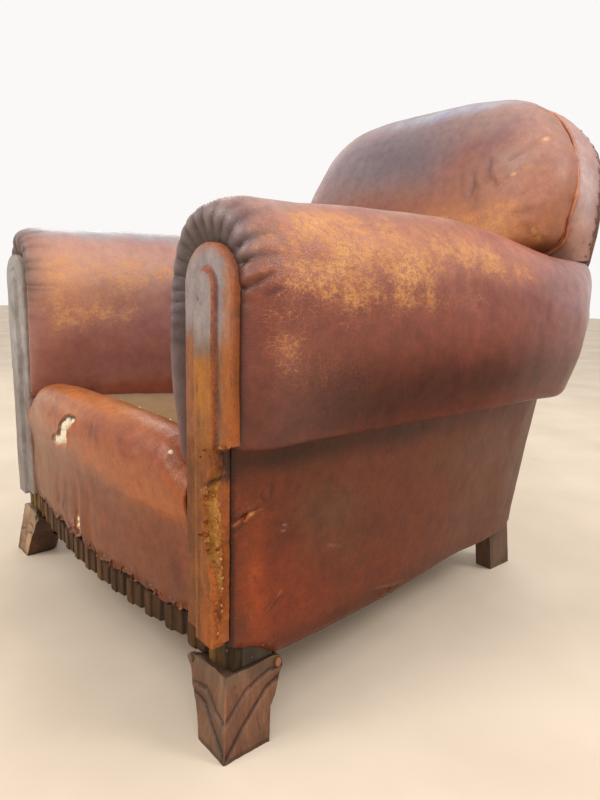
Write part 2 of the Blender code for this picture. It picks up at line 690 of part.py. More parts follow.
def back_point(x, z):
    return Vector((x, Y(back_depth(z)), z))


for i, x in enumerate(UPRIGHT_X):
    z0, z1 = 0.305, 0.760
    cr = [(z - z0) / (z1 - z0) for z in BACK_Z]
    strap("back_web_upright_%d" % (i + 1), back_point(x, z0), back_point(x, z1), cr, i % 2, X_AXIS, BACK_N, lambda p: WEB_OFF)
for j, z in enumerate(BACK_Z):
    hx = POST_X1 - 0.003
    cr = [(x + hx) / (2 * hx) for x in reversed(UPRIGHT_X)]
    strap("back_web_cross_%d" % (j + 1), back_point(-hx, z), back_point(hx, z), cr, j % 2, BACK_UP, BACK_N, lambda p: WEB_OFF)
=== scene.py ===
"""Worn leather club chair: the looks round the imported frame.

Shapes are worked out in (x, depth, height), where depth is measured backwards from the front plane of
the arm facings, and are moved into the frame's own coordinates when each mesh is made.
"""
import math

import bmesh
import bpy
import numpy as np
from mathutils import Matrix, Vector


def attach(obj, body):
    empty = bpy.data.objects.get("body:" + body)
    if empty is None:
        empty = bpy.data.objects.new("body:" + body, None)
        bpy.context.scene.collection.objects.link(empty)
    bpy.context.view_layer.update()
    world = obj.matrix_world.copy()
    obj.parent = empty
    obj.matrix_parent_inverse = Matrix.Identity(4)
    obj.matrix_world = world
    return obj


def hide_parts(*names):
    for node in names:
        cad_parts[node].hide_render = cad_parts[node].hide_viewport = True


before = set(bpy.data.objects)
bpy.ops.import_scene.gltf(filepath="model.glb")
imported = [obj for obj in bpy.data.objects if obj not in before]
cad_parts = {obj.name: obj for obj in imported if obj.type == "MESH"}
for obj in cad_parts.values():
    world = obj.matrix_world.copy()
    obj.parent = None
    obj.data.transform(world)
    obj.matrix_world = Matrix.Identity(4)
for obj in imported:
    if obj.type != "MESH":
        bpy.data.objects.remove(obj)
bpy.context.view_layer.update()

ORIGIN = 0.43892          # depth of the frame's origin behind the facing plane


# ---------------------------------------------------------------- numbers
def lin(*c):
    """sRGB 0-255 to linear."""
    c = np.array(c[0] if len(c) == 1 else c, float) / 255.0
    return np.where(c <= 0.04045, c / 12.92, ((c + 0.055) / 1.055) ** 2.4)


def smooth(a, b, t):
    t = np.clip((np.asarray(t, float) - a) / (b - a), 0.0, 1.0)
    return t * t * (3 - 2 * t)


def lattice(i, j, k, seed):
    n = (i * 0x8DA6B343 + j * 0xD8163841 + k * 0xCB1AB31F + seed * 0x9E3779B1) & 0xFFFFFFFF
    n ^= n >> 15
    n = (n * 0x2C1B3C6D) & 0xFFFFFFFF
    n ^= n >> 12
    n = (n * 0x297A2D39) & 0xFFFFFFFF
    n ^= n >> 15
    return n / 4294967295.0


def noise(p, freq, seed=0):
    """Value noise, -1 to 1, at points (..., 3)."""
    q = np.asarray(p, float) * freq + 1000.0
    i = np.floor(q).astype(np.int64)
    f = q - i
    f = f * f * (3 - 2 * f)
    out = 0.0
    for a in (0, 1):
        for b in (0, 1):
            for c in (0, 1):
                w = ((f[..., 0] if a else 1 - f[..., 0]) * (f[..., 1] if b else 1 - f[..., 1])
                     * (f[..., 2] if c else 1 - f[..., 2]))
                out = out + w * lattice(i[..., 0] + a, i[..., 1] + b, i[..., 2] + c, seed)
    return out * 2 - 1


def fbm(p, freq, octaves=4, seed=0, gain=0.5):
    total, amp, norm = 0.0, 1.0, 0.0
    for o in range(octaves):
        total = total + amp * noise(p, freq * 2.03 ** o, seed + 17 * o)
        norm += amp
        amp *= gain
    return total / norm


def line3(x, freq, seed=0, octaves=3):
    """Noise along one coordinate."""
    x = np.asarray(x, float)
    return fbm(np.stack([x, x * 0 + 0.37, x * 0 + 0.71], -1), freq, octaves, seed)


def hermite(t, y, q):
    """Smooth curve through y at t, read at q."""
    t, y, q = np.asarray(t, float), np.asarray(y, float), np.asarray(q, float)
    flat = y.ndim == 1
    if flat:
        y = y[:, None]
    h = np.diff(t)[:, None]
    d = np.diff(y, axis=0) / h
    m = np.empty_like(y)
    m[1:-1] = (h[1:] * d[:-1] + h[:-1] * d[1:]) / (h[1:] + h[:-1])
    m[0], m[-1] = d[0], d[-1]
    i = np.clip(np.searchsorted(t, q, "right") - 1, 0, len(t) - 2)
    s = ((q - t[i]) / (t[i + 1] - t[i]))[:, None]
    hh = h[i]
    out = ((2 * s ** 3 - 3 * s ** 2 + 1) * y[i] + (s ** 3 - 2 * s ** 2 + s) * hh * m[i]
           + (-2 * s ** 3 + 3 * s ** 2) * y[i + 1] + (s ** 3 - s ** 2) * hh * m[i + 1])
    return out[:, 0] if flat else out


def chord(points, power=0.5):
    p = np.asarray(points, float)
    return np.concatenate([[0.0], np.cumsum(np.maximum(1e-9, np.linalg.norm(np.diff(p, axis=0), axis=1)) ** power)])


def along(points, count, power=0.5, closed=False, weight=None):
    """count points evenly spaced (or spaced by weight) on a smooth curve through points."""
    p = np.asarray(points, float)
    if closed:
        k = 3
        p = np.concatenate([p[-k:], p, p[:k + 1]])
    t = chord(p, power)
    lo, hi = (t[3], t[-4]) if closed else (t[0], t[-1])
    q = np.linspace(lo, hi, 4001)
    dense = hermite(t, p, q)
    step = np.linalg.norm(np.diff(dense, axis=0), axis=1)
    if weight is not None:
        step = step * weight(0.5 * (dense[1:] + dense[:-1]))
    s = np.concatenate([[0.0], np.cumsum(step)])
    want = np.linspace(0, s[-1], count + 1)[:-1] if closed else np.linspace(0, s[-1], count)
    qq = np.interp(want, s, q)
    return hermite(t, p, qq)


def to_line(P, pts):
    """Distance, place along (0 to 1), and the vector from the nearest point, from P to a polyline."""
    pts = np.asarray(pts, float)
    lens = np.linalg.norm(np.diff(pts, axis=0), axis=1)
    total = lens.sum()
    best = np.full(P.shape[:-1], 1e9)
    where = np.zeros(P.shape[:-1])
    off = np.zeros_like(P)
    run = 0.0
    for a, b, L in zip(pts[:-1], pts[1:], lens):
        ab = b - a
        t = np.clip(((P - a) @ ab) / (ab @ ab), 0, 1)
        v = P - (a + t[..., None] * ab)
        d = np.linalg.norm(v, axis=-1)
        m = d < best
        best = np.where(m, d, best)
        where = np.where(m, (run + t * L) / total, where)
        off = np.where(m[..., None], v, off)
        run += L
    return best, where, off


# ---------------------------------------------------------------- meshes
def normals(P, wrap=False):
    """Unit normals of a grid of points (rows, columns, 3)."""
    du = np.gradient(P, axis=0)
    if wrap:
        dv = (np.roll(P, -1, 1) - np.roll(P, 1, 1)) * 0.5
    else:
        dv = np.gradient(P, axis=1)
    n = np.cross(du, dv)
    return n / np.maximum(np.linalg.norm(n, axis=-1, keepdims=True), 1e-12)


def make(name, V, faces, material, attrs=None, side=1, replaces=(), flat=False, outward=True):
    """One piece from points in (x, depth, height). Closed bodies are turned to face outwards."""
    V = np.asarray(V, float).copy()
    V[:, 0] *= side
    V[:, 1] -= ORIGIN
    me = bpy.data.meshes.new(name)
    me.from_pydata(V.tolist(), [], [list(map(int, f)) for f in faces] if not isinstance(faces, list) else faces)
    me.validate()
    if outward:
        # signed volume by fans
        starts = np.empty(len(me.polygons), np.int64)
        totals = np.empty(len(me.polygons), np.int64)
        me.polygons.foreach_get("loop_start", starts)
        me.polygons.foreach_get("loop_total", totals)
        loops = np.empty(len(me.loops), np.int64)
        me.loops.foreach_get("vertex_index", loops)
        c = V - V.mean(0)
        vol = 0.0
        big = int(totals.max())
        for k in range(1, big - 1):
            m = totals > k + 1
            a = c[loops[starts[m]]]
            b = c[loops[starts[m] + k]]
            d = c[loops[starts[m] + k + 1]]
            vol += float(np.einsum("ij,ij->", a, np.cross(b, d)))
        if vol < 0:
            me.flip_normals()
    for key, value in (attrs or {}).items():
        value = np.asarray(value, np.float32)
        if value.ndim == 2:
            a = me.attributes.new(key, "FLOAT_COLOR", "POINT")
            rgba = np.ones((len(value), 4), np.float32)
            rgba[:, :3] = value[:, :3]
            a.data.foreach_set("color", rgba.ravel())
        else:
            a = me.attributes.new(key, "FLOAT", "POINT")
            a.data.foreach_set("value", value)
    if not flat:
        me.shade_smooth()
    me.materials.append(material)
    ob = bpy.data.objects.new(name, me)
    bpy.context.scene.collection.objects.link(ob)
    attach(ob, "root")
    if replaces:
        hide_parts(*replaces)
    return ob


def tube_faces(m, n, base=0, caps=True):
    """Rows of closed rings: side quads and the two ends."""
    i = np.arange(m - 1)[:, None]
    j = np.arange(n)[None, :]
    k = (j + 1) % n
    f = np.stack([i * n + j, i * n + k, (i + 1) * n + k, (i + 1) * n + j], -1).reshape(-1, 4) + base
    faces = f.tolist()
    if caps:
        faces.append([int(v) for v in reversed(range(base, base + n))])
        faces.append([int(v) for v in range(base + (m - 1) * n, base + m * n)])
    return faces


def plate_mesh(P, back, stride):
    """A fine front grid closed by a coarser back grid: back holds the back's points at every stride-th row and column."""
    m, n = P.shape[:2]
    assert (m - 1) % stride == 0 and (n - 1) % stride == 0, (m, n, stride)
    i = np.arange(m - 1)[:, None]
    j = np.arange(n - 1)[None, :]
    faces = np.stack([i * n + j, i * n + j + 1, (i + 1) * n + j + 1, (i + 1) * n + j], -1).reshape(-1, 4).tolist()
    M, N = (m - 1) // stride + 1, (n - 1) // stride + 1
    base = m * n
    I = np.arange(M - 1)[:, None]
    J = np.arange(N - 1)[None, :]
    f = np.stack([I * N + J, (I + 1) * N + J, (I + 1) * N + J + 1, I * N + J + 1], -1).reshape(-1, 4) + base
    faces += f.tolist()

    def front(r, c):
        return r * n + c

    def rear(r, c):
        return base + (r // stride) * N + c // stride

    for c in range(0, n - 1, stride):
        faces.append([front(0, c + k) for k in range(stride, -1, -1)] + [rear(0, c), rear(0, c + stride)])
        faces.append([front(m - 1, c + k) for k in range(stride + 1)] + [rear(m - 1, c + stride), rear(m - 1, c)])
    for r in range(0, m - 1, stride):
        faces.append([front(r + k, 0) for k in range(stride + 1)] + [rear(r + stride, 0), rear(r, 0)])
        faces.append([front(r + k, n - 1) for k in range(stride, -1, -1)] + [rear(r, n - 1), rear(r + stride, n - 1)])
    V = np.concatenate([P.reshape(-1, 3), back.reshape(-1, 3)])
    return V, faces


def plate(name, P, thickness, stride, material, attrs, side=1, replaces=(), N=None):
    N = normals(P) if N is None else N
    back = (P - N * thickness)[::stride, ::stride]
    V, faces = plate_mesh(P, back, stride)
    full = {}
    for key, value in attrs.items():
        tail = value[::stride, ::stride]
        full[key] = np.concatenate([value.reshape((-1,) + value.shape[2:]), tail.reshape((-1,) + tail.shape[2:])])
    return make(name, V, faces, material, full, side, replaces)


def merged(name, parts, material, side=1, attrs=None):
    """Several small closed bodies as one piece. parts is a list of (V, faces[, attrs])."""
    Vs, Fs, at, base = [], [], {}, 0
    for part in parts:
        V, F = np.asarray(part[0], float), part[1]
        Vs.append(V)
        Fs += [[v + base for v in f] for f in F]
        base += len(V)
        for k, v in (part[2] if len(part) > 2 else {}).items():
            at.setdefault(k, []).append(np.asarray(v, np.float32))
    full = {k: np.concatenate(v) for k, v in at.items()}
    return make(name, np.concatenate(Vs), Fs, material, full, side)


def dome(center, normal, radius, height, sides=10, rings=3, lumps=0.0, seed=0):
    """A small domed head standing on a surface, closed below."""
    n = np.asarray(normal, float)
    n = n / np.linalg.norm(n)
    a = np.cross(n, (0.0, 0.0, 1.0) if abs(n[2]) < 0.8 else (1.0, 0.0, 0.0))
    a /= np.linalg.norm(a)
    b = np.cross(n, a)
    V = []
    c = np.asarray(center, float)
    for r in range(rings + 1):
        if r == 0:
            rad, h = 1.0, -0.35
        else:
            ang = (r - 1) / rings * math.pi / 2
            rad, h = math.cos(ang), math.sin(ang)
        for s in range(sides):
            t = 2 * math.pi * s / sides
            k = 1 + lumps * float(noise(np.array([r * 1.3, s * 0.9, seed * 2.1]), 1.0, seed))
            V.append(c + (a * math.cos(t) + b * math.sin(t)) * radius * rad * k + n * height * h * k)
    V.append(c + n * height)
    faces = []
    for r in range(rings):
        for s in range(sides):
            t = (s + 1) % sides
            faces.append([r * sides + s, r * sides + t, (r + 1) * sides + t, (r + 1) * sides + s])
    top = (rings + 1) * sides
    for s in range(sides):
        faces.append([rings * sides + s, rings * sides + (s + 1) % sides, top])
    faces.append([s for s in reversed(range(sides))])
    return np.array(V), faces


def sweep(points, radius, sides=10, squash=1.0):
    """A round cord along points, with closed ends. radius may vary."""
    p = np.asarray(points, float)
    m = len(p)
    radius = np.broadcast_to(np.asarray(radius, float), (m,))
    t = np.gradient(p, axis=0)
    t /= np.linalg.norm(t, axis=1, keepdims=True)
    n = np.cross(t[0], (0, 0, 1.0) if abs(t[0][2]) < 0.9 else (0, 1.0, 0))
    n /= np.linalg.norm(n)
    V = []
    for k in range(m):
        n = n - t[k] * (n @ t[k])
        n /= np.linalg.norm(n)
        b = np.cross(t[k], n)
        for s in range(sides):
            a = 2 * math.pi * s / sides
            V.append(p[k] + radius[k] * (n * math.cos(a) + squash * b * math.sin(a)))
    return np.array(V), tube_faces(m, sides)


# ---------------------------------------------------------------- painting
def blob(P, c, r, warp=0.0, seed=0, freq=25.0):
    """Soft patch: 1 at its centre, falling to 0, with a ragged edge."""
    q = (P - np.asarray(c, float)) / np.asarray(r, float)
    d = np.sqrt((q ** 2).sum(-1))
    if warp:
        d = d + warp * fbm(P, freq, 3, seed)
    return np.exp(-np.clip(d, 0, None) ** 2 * 1.2)


def paint(P, base, strokes, seed=0):
    """Colour over a surface: base, then (centre, radii, colour, strength[, ragged]) one after another."""
    col = np.broadcast_to(np.asarray(base, float), P.shape).copy()
    for k, s in enumerate(strokes):
        c, r, colour, a = s[:4]
        w = a * blob(P, c, r, s[4] if len(s) > 4 else 0.35, seed + k)
        col = col + (np.asarray(colour) - col) * w[..., None]
    return col


def mixc(col, colour, w):
    return col + (np.asarray(colour) - col) * np.clip(w, 0, 1)[..., None]


def crease(P, N, pts, depth=0.003, width=0.004, roll=0.0, roll_off=0.008, roll_w=0.007, ends=0.25, up=(0, 0, 1)):
    """Pushes a fold line into a surface; a soft roll stands on the side of it that up points to. Returns the new points and the fold's weight."""
    pts = np.asarray(pts, float)
    lo, hi = pts.min(0) - 0.05, pts.max(0) + 0.05
    m = ((P > lo) & (P < hi)).all(-1)
    w = np.zeros(P.shape[:-1])
    if not m.any():
        return P, w
    Q, NN = P[m], N[m]
    d, s, off = to_line(Q, pts)
    taper = np.sin(np.pi * np.clip(s, 0.0001, 0.9999)) ** ends
    side = np.sign((off @ np.asarray(up, float)) + 1e-9)
    sd = d * side
    line = np.exp(-(d / width) ** 1.4)
    push = -depth * line + roll * np.exp(-((sd - roll_off) / roll_w) ** 2)
    P = P.copy()
    P[m] = Q + NN * (push * taper)[..., None]
    w[m] = line * taper
    return P, w


# ---------------------------------------------------------------- materials
class Graph:
    """A few shorthands for building a node material."""

    def __init__(self, name):
        self.m = bpy.data.materials.new(name)
        self.m.use_nodes = True
        self.t = self.m.node_tree
        self.bsdf = self.t.nodes["Principled BSDF"]
        self.coord = self.node("ShaderNodeTexCoord").outputs["Object"]

    def node(self, kind, **props):
        n = self.t.nodes.new(kind)
        for k, v in props.items():
            setattr(n, k, v)
        return n

    def link(self, a, b):
        self.t.links.new(a, b)

    def put(self, socket, value):
        if hasattr(value, "is_output"):
            self.link(value, socket)
        else:
            socket.default_value = value

    def attr(self, name, colour=False):
        n = self.node("ShaderNodeAttribute", attribute_name=name, attribute_type="GEOMETRY")
        return n.outputs["Color" if colour else "Fac"]

    def noise(self, scale, detail=3.0, rough=0.55, vector=None, colour=False, distortion=0.0):
        n = self.node("ShaderNodeTexNoise")
        n.inputs["Scale"].default_value = scale
        n.inputs["Detail"].default_value = detail
        n.inputs["Roughness"].default_value = rough
        n.inputs["Distortion"].default_value = distortion
        self.link(vector if vector is not None else self.coord, n.inputs["Vector"])
        return n.outputs["Color" if colour else "Fac"]

    def cells(self, scale, vector=None, feature="DISTANCE_TO_EDGE", out="Distance"):
        n = self.node("ShaderNodeTexVoronoi", feature=feature)
        n.inputs["Scale"].default_value = scale
        self.link(vector if vector is not None else self.coord, n.inputs["Vector"])
        return n.outputs[out]

    def math(self, op, a, b=0.5, c=0.0, clamp=False):
        n = self.node("ShaderNodeMath", operation=op, use_clamp=clamp)
        self.put(n.inputs[0], a)
        self.put(n.inputs[1], b)
        if len(n.inputs) > 2:
            self.put(n.inputs[2], c)
        return n.outputs[0]

    def ramp(self, value, lo, hi, a=0.0, b=1.0):
        n = self.node("ShaderNodeMapRange", interpolation_type="SMOOTHSTEP")
        self.put(n.inputs["Value"], value)
        self.put(n.inputs["From Min"], lo)
        self.put(n.inputs["From Max"], hi)
        n.inputs["To Min"].default_value = a
        n.inputs["To Max"].default_value = b
        return n.outputs["Result"]

    def mix(self, fac, a, b, blend="MIX"):
        n = self.node("ShaderNodeMix", data_type="RGBA", blend_type=blend)
        self.put(n.inputs[0], fac)
        for s, v in ((n.inputs[6], a), (n.inputs[7], b)):
            self.put(s, v if hasattr(v, "is_output") else (*v[:3], 1.0))
        return n.outputs[2]

    def scaled(self, x, y, z, vector=None):
        n = self.node("ShaderNodeMapping")
        n.inputs["Scale"].default_value = (x, y, z)
        self.link(vector if vector is not None else self.coord, n.inputs["Vector"])
        return n.outputs["Vector"]

    def warped(self, amount, scale=12.0, detail=2.0, vector=None):
        v = vector if vector is not None else self.coord
        n = self.noise(scale, detail, 0.5, v, colour=True)
        s = self.node("ShaderNodeVectorMath", operation="SUBTRACT")
        self.link(n, s.inputs[0])
        s.inputs[1].default_value = (0.5, 0.5, 0.5)
        k = self.node("ShaderNodeVectorMath", operation="SCALE")
        self.link(s.outputs[0], k.inputs[0])
        k.inputs["Scale"].default_value = amount
        a = self.node("ShaderNodeVectorMath", operation="ADD")
        self.link(v, a.inputs[0])
        self.link(k.outputs[0], a.inputs[1])
        return a.outputs[0]

    def bump(self, height, distance, strength=1.0, normal=None):
        n = self.node("ShaderNodeBump")
        n.inputs["Strength"].default_value = strength
        n.inputs["Distance"].default_value = distance
        self.link(height, n.inputs["Height"])
        if normal is not None:
            self.link(normal, n.inputs["Normal"])
        return n.outputs["Normal"]

    def done(self, colour, rough, normal=None, specular=0.5, coat=0.0, coat_rough=0.3, sheen=0.0, metallic=0.0):
        b = self.bsdf.inputs
        self.put(b["Base Color"], colour)
        self.put(b["Roughness"], rough)
        b["Specular IOR Level"].default_value = specular
        b["Metallic"].default_value = metallic
        b["Coat Weight"].default_value = coat
        b["Coat Roughness"].default_value = coat_rough
        b["Sheen Weight"].default_value = sheen
        if normal is not None:
            self.link(normal, b["Normal"])
        return self.m


OCHRE = lin(208, 138, 66)
TAN = lin(216, 160, 86)
ORANGE = lin(186, 122, 64)


def leather(name, rough=0.37, fine=260.0, pale=TAN, worn=ORANGE, grain=0.00030, specular=0.48, tint=(1.0, 0.95, 0.92), lean=(0.0, 0.0, 0.5), blotch=(0.80, 1.17), bruise=(0.86, 0.78, 0.90), thinned=None):
    """Old coated hide: the painted colour, mottled; the finish rubbed through in streaky specks and hair lines where "wear" is high."""
    g = Graph(name)
    col, wear, dull = g.attr("col", True), g.attr("wear"), g.attr("dull")
    turn = g.node("ShaderNodeMapping")
    turn.inputs["Rotation"].default_value = lean
    g.link(g.coord, turn.inputs["Vector"])
    w1 = g.warped(0.030, 14.0, 4.0, turn.outputs["Vector"])
    w2 = g.warped(0.006, 90.0, 3.0, turn.outputs["Vector"])
    cloud = g.noise(30.0, 6.0, 0.66, w1)
    drift = g.noise(84.0, 6.0, 0.74, g.scaled(1.0, 0.45, 1.0, w1))
    speck = g.noise(560.0, 4.0, 0.74)
    streak = g.noise(230.0, 5.0, 0.74, g.scaled(1.0, 0.32, 0.8, w2))
    hair = g.cells(150.0, g.scaled(1.0, 0.60, 1.0, g.warped(0.016, 40.0, 4.0)))
    small = g.cells(fine, w2)
    # how far the finish has gone here
    amount = g.math("ADD", wear, g.math("MULTIPLY", g.math("SUBTRACT", cloud, 0.5), g.math("MULTIPLY", wear, 2.2)))
    held = g.math("MINIMUM", amount, 0.56)
    value = g.math("ADD", g.math("MULTIPLY", drift, 0.34), g.math("ADD", g.math("MULTIPLY", speck, 0.34), g.math("MULTIPLY", streak, 0.46)))
    rub = g.ramp(g.math("ADD", value, g.math("MULTIPLY", held, 0.40)), 0.735, 0.850)
    thread = g.math("SUBTRACT", g.math("MULTIPLY", g.math("MULTIPLY", amount, drift), 0.22), hair)
    thread = g.math("MULTIPLY", g.ramp(thread, -0.01, 0.03), 0.42)
    gate = g.ramp(wear, 0.02, 0.22)
    mask = g.math("MULTIPLY", g.math("MAXIMUM", thread, rub), gate, clamp=True)
    mottle = g.ramp(g.noise(60.0, 6.0, 0.68), 0.30, 0.72, *blotch)
    fleck = g.ramp(speck, 0.35, 0.75, 0.90, 1.10)
    shade = g.math("MULTIPLY", mottle, fleck)
    n = g.node("ShaderNodeVectorMath", operation="SCALE")
    g.link(col, n.inputs[0])
    g.link(shade, n.inputs["Scale"])
    plum = g.node("ShaderNodeVectorMath", operation="MULTIPLY")
    g.link(n.outputs[0], plum.inputs[0])
    plum.inputs[1].default_value = bruise
    base = g.mix(g.ramp(g.noise(22.0, 5.0, 0.6, w1), 0.46, 0.66), n.outputs[0], plum.outputs[0])
    thin = g.mix(g.ramp(g.math("ADD", amount, g.math("MULTIPLY", speck, 0.6)), 0.70, 1.45), worn, pale)
    soft = g.ramp(amount, 0.15, 0.85, 0.0, 0.30)
    base = g.mix(soft, base, worn if thinned is None else thinned)
    colour = g.mix(g.math("MULTIPLY", mask, 0.74), base, thin)
    # pores and hair cracks
    pores = g.noise(900.0, 2.0, 0.6)
    height = g.math("ADD", g.math("MULTIPLY", pores, 0.35), g.math("MULTIPLY", g.ramp(small, 0.0, 0.18), 0.45))
    height = g.math("ADD", height, g.math("MULTIPLY", speck, 0.35))
    height = g.math("SUBTRACT", height, g.math("MULTIPLY", mask, 0.25))
    nrm = g.bump(height, grain)
    nrm = g.bump(g.noise(48.0, 3.0, 0.5), 0.0010, 0.5, nrm)
    r = g.math("ADD", rough, g.math("MULTIPLY", mask, 0.16))
    r = g.math("ADD", r, g.math("MULTIPLY", dull, 0.30))
    r = g.math("ADD", r, g.math("MULTIPLY", g.math("SUBTRACT", cloud, 0.5), 0.16), clamp=True)
    g.bsdf.inputs["Specular Tint"].default_value = (*tint, 1.0)
    made = g.done(colour, r, nrm, specular)
    # where the hide is quite dull its finish hardly shines
    g.link(g.math("MULTIPLY", g.ramp(dull, 0.15, 1.00, 1.0, 0.25), specular), g.bsdf.inputs["Specular IOR Level"])
    return made


def timber(name, dark, light, rough=0.5, ring=28.0, axis=(1.0, 1.0, 0.12), use_col=False, bump=0.0006, specular=0.4):
    """Sawn or carved wood: long grain, pores and dirt."""
    g = Graph(name)
    v = g.scaled(*axis, g.warped(0.010, 9.0, 2.0))
    long = g.noise(ring * 2.2, 6.0, 0.62, v)
    fibre = g.noise(ring * 16.0, 4.0, 0.7, v)
    dirt = g.noise(18.0, 5.0, 0.6)
    t = g.math("ADD", g.math("MULTIPLY", long, 0.7), g.math("MULTIPLY", fibre, 0.45))
    c = g.mix(g.ramp(t, 0.35, 0.85), dark, light)
    if use_col:
        n = g.node("ShaderNodeVectorMath", operation="MULTIPLY")
        g.link(c, n.inputs[0])
        g.link(g.attr("col", True), n.inputs[1])
        c = n.outputs[0]
    c = g.mix(g.ramp(dirt, 0.45, 0.75, 0.0, 0.55), c, [0.45 * x for x in dark])
    h = g.math("ADD", g.math("MULTIPLY", fibre, 0.8), g.math("MULTIPLY", long, 0.5))
    nrm = g.bump(h, bump)
    r = g.math("ADD", rough, g.math("MULTIPLY", g.math("SUBTRACT", dirt, 0.5), 0.3), clamp=True)
    return g.done(c, r, nrm, specular)


def woven(name, warp, weft, pitch=1100.0, rough=0.9, bump=0.0006, dirt=(0.10, 0.07, 0.04)):
    """Plain weave from two crossed sets of threads."""
    g = Graph(name)
    sep = g.node("ShaderNodeSeparateXYZ")
    g.link(g.warped(0.002, 30.0, 2.0), sep.inputs[0])
    a = g.math("SINE", g.math("MULTIPLY", sep.outputs["X"], pitch))
    b = g.math("SINE", g.math("MULTIPLY", g.math("ADD", sep.outputs["Y"], sep.outputs["Z"]), pitch))
    over = g.math("MULTIPLY", a, b)
    fuzz = g.noise(700.0, 4.0, 0.7)
    soil = g.noise(14.0, 5.0, 0.6)
    c = g.mix(g.ramp(over, -0.7, 0.7), warp, weft)
    c = g.mix(g.ramp(fuzz, 0.35, 0.8, 0.0, 0.35), c, [1.5 * x for x in warp])
    c = g.mix(g.ramp(soil, 0.42, 0.75, 0.0, 0.6), c, dirt)
    h = g.math("ADD", g.math("MULTIPLY", over, 0.5), g.math("MULTIPLY", fuzz, 0.7))
    return g.done(c, rough, g.bump(h, bump), 0.2, sheen=0.15)


def metal(name, colour, rust, rough=0.45):
    g = Graph(name)
    n = g.noise(160.0, 5.0, 0.65)
    c = g.mix(g.ramp(n, 0.45, 0.65), colour, rust)
    r = g.ramp(n, 0.3, 0.7, rough, rough + 0.3)
    return g.done(c, r, g.bump(n, 0.0003), 0.5, metallic=0.75)


def plain_fibre(name, colour, dark, rough=0.95):
    """Loose stuffing and torn fibre: two tones mixed by fine noise."""
    g = Graph(name)
    n = g.noise(420.0, 6.0, 0.75)
    c = g.mix(g.ramp(n, 0.3, 0.7), dark, colour)
    return g.done(c, rough, g.bump(n, 0.0012), 0.15, sheen=0.2)


def crumbly(name, rough=0.60, specular=0.35):
    """Facing cloth: painted colour, a dry pebbled surface, rubbed and stained in small uneven patches."""
    g = Graph(name)
    col, wear = g.attr("col", True), g.attr("wear")
    w = g.warped(0.006, 60.0, 3.0)
    pebble = g.noise(620.0, 4.0, 0.72, g.scaled(1.0, 1.0, 0.55, w))
    speck = g.noise(380.0, 5.0, 0.72)
    stain = g.noise(95.0, 6.0, 0.70, g.scaled(1.0, 1.0, 0.50, w))
    broad = g.noise(30.0, 4.0, 0.6, w)
    shade = g.math("MULTIPLY", g.ramp(stain, 0.28, 0.74, 0.80, 1.14), g.ramp(speck, 0.3, 0.75, 0.86, 1.12))
    shade = g.math("MULTIPLY", shade, g.ramp(broad, 0.3, 0.7, 0.90, 1.08))
    n = g.node("ShaderNodeVectorMath", operation="SCALE")
    g.link(col, n.inputs[0])
    g.link(shade, n.inputs["Scale"])
    plum = g.node("ShaderNodeVectorMath", operation="MULTIPLY")
    g.link(n.outputs[0], plum.inputs[0])
    plum.inputs[1].default_value = (0.66, 0.62, 0.78)
    dark = g.math("MULTIPLY", g.ramp(g.math("ADD", g.math("MULTIPLY", stain, 0.7), g.math("MULTIPLY", pebble, 0.4)), 0.60, 0.78), g.ramp(wear, 0.1, 0.6), clamp=True)
    base = g.mix(g.math("MULTIPLY", dark, 0.75), n.outputs[0], plum.outputs[0])
    rub = g.ramp(g.math("ADD", g.math("ADD", g.math("MULTIPLY", speck, 0.55), g.math("MULTIPLY", stain, 0.45)), g.math("MULTIPLY", wear, 0.40)), 0.66, 0.90)
    rub = g.math("MULTIPLY", rub, g.ramp(wear, 0.02, 0.2), clamp=True)
    c = g.mix(g.math("MULTIPLY", rub, 0.45), base, lin(176, 98, 44))
    h = g.math("ADD", g.math("MULTIPLY", pebble, 0.7), g.math("MULTIPLY", speck, 0.5))
    r = g.math("ADD", g.math("ADD", rough, g.math("MULTIPLY", g.attr("dull"), 0.3)), g.math("MULTIPLY", g.math("SUBTRACT", stain, 0.5), 0.3), clamp=True)
    g.bsdf.inputs["Specular Tint"].default_value = (1.0, 0.90, 0.80, 1.0)
    return g.done(c, r, g.bump(h, 0.0006), specular)


HIDE = leather("worn_hide", thinned=lin(176, 112, 80))
# the far arm's hide: a paler, greyer, less blotchy copy of the hide, painted haze of light over the far arm
HIDE_FAR = leather("worn_hide_far", pale=lin(222, 164, 98), worn=lin(200, 138, 86), blotch=(0.90, 1.08), bruise=(0.92, 0.86, 0.95), thinned=lin(190, 136, 104))
HIDE_BACK = leather("back_hide", rough=0.42, fine=230.0, lean=(0.0, 0.5, 0.0), pale=lin(214, 156, 88), worn=lin(190, 120, 68), blotch=(0.86, 1.12), bruise=(0.90, 0.84, 0.96), thinned=lin(186, 112, 66))
HIDE_SIDE = leather("panel_hide", rough=0.42, fine=240.0, worn=lin(150, 70, 34), pale=lin(172, 94, 48), specular=0.34, tint=(1.0, 0.84, 0.70), lean=(0.5, 0.0, 0.0))
HIDE_SEAT = leather("seat_hide", rough=0.36, fine=230.0, pale=lin(204, 126, 62), worn=lin(178, 88, 40), specular=0.40, tint=(1.0, 0.88, 0.78))
PIPING = leather("piping_hide", rough=0.5, fine=300.0, pale=lin(214, 146, 88), worn=lin(196, 116, 66))
FACING = crumbly("facing_cloth_old")
RAIL = timber("stained_reeds", lin(50, 34, 16), lin(104, 76, 38), rough=0.6, use_col=True, specular=0.25)
FOOT = timber("carved_feet", lin(92, 62, 44), lin(138, 100, 76), rough=0.42, ring=22.0, use_col=True, bump=0.0005, specular=0.35)
LEG = timber("dark_legs", lin(58, 38, 26), lin(112, 78, 54), rough=0.5)
BEECH = timber("bare_beech", lin(150, 104, 60), lin(204, 160, 104), rough=0.7)
CLOTH = woven("platform_weave", lin(138, 102, 56), lin(114, 84, 47), 1500.0, dirt=lin(104, 76, 44))
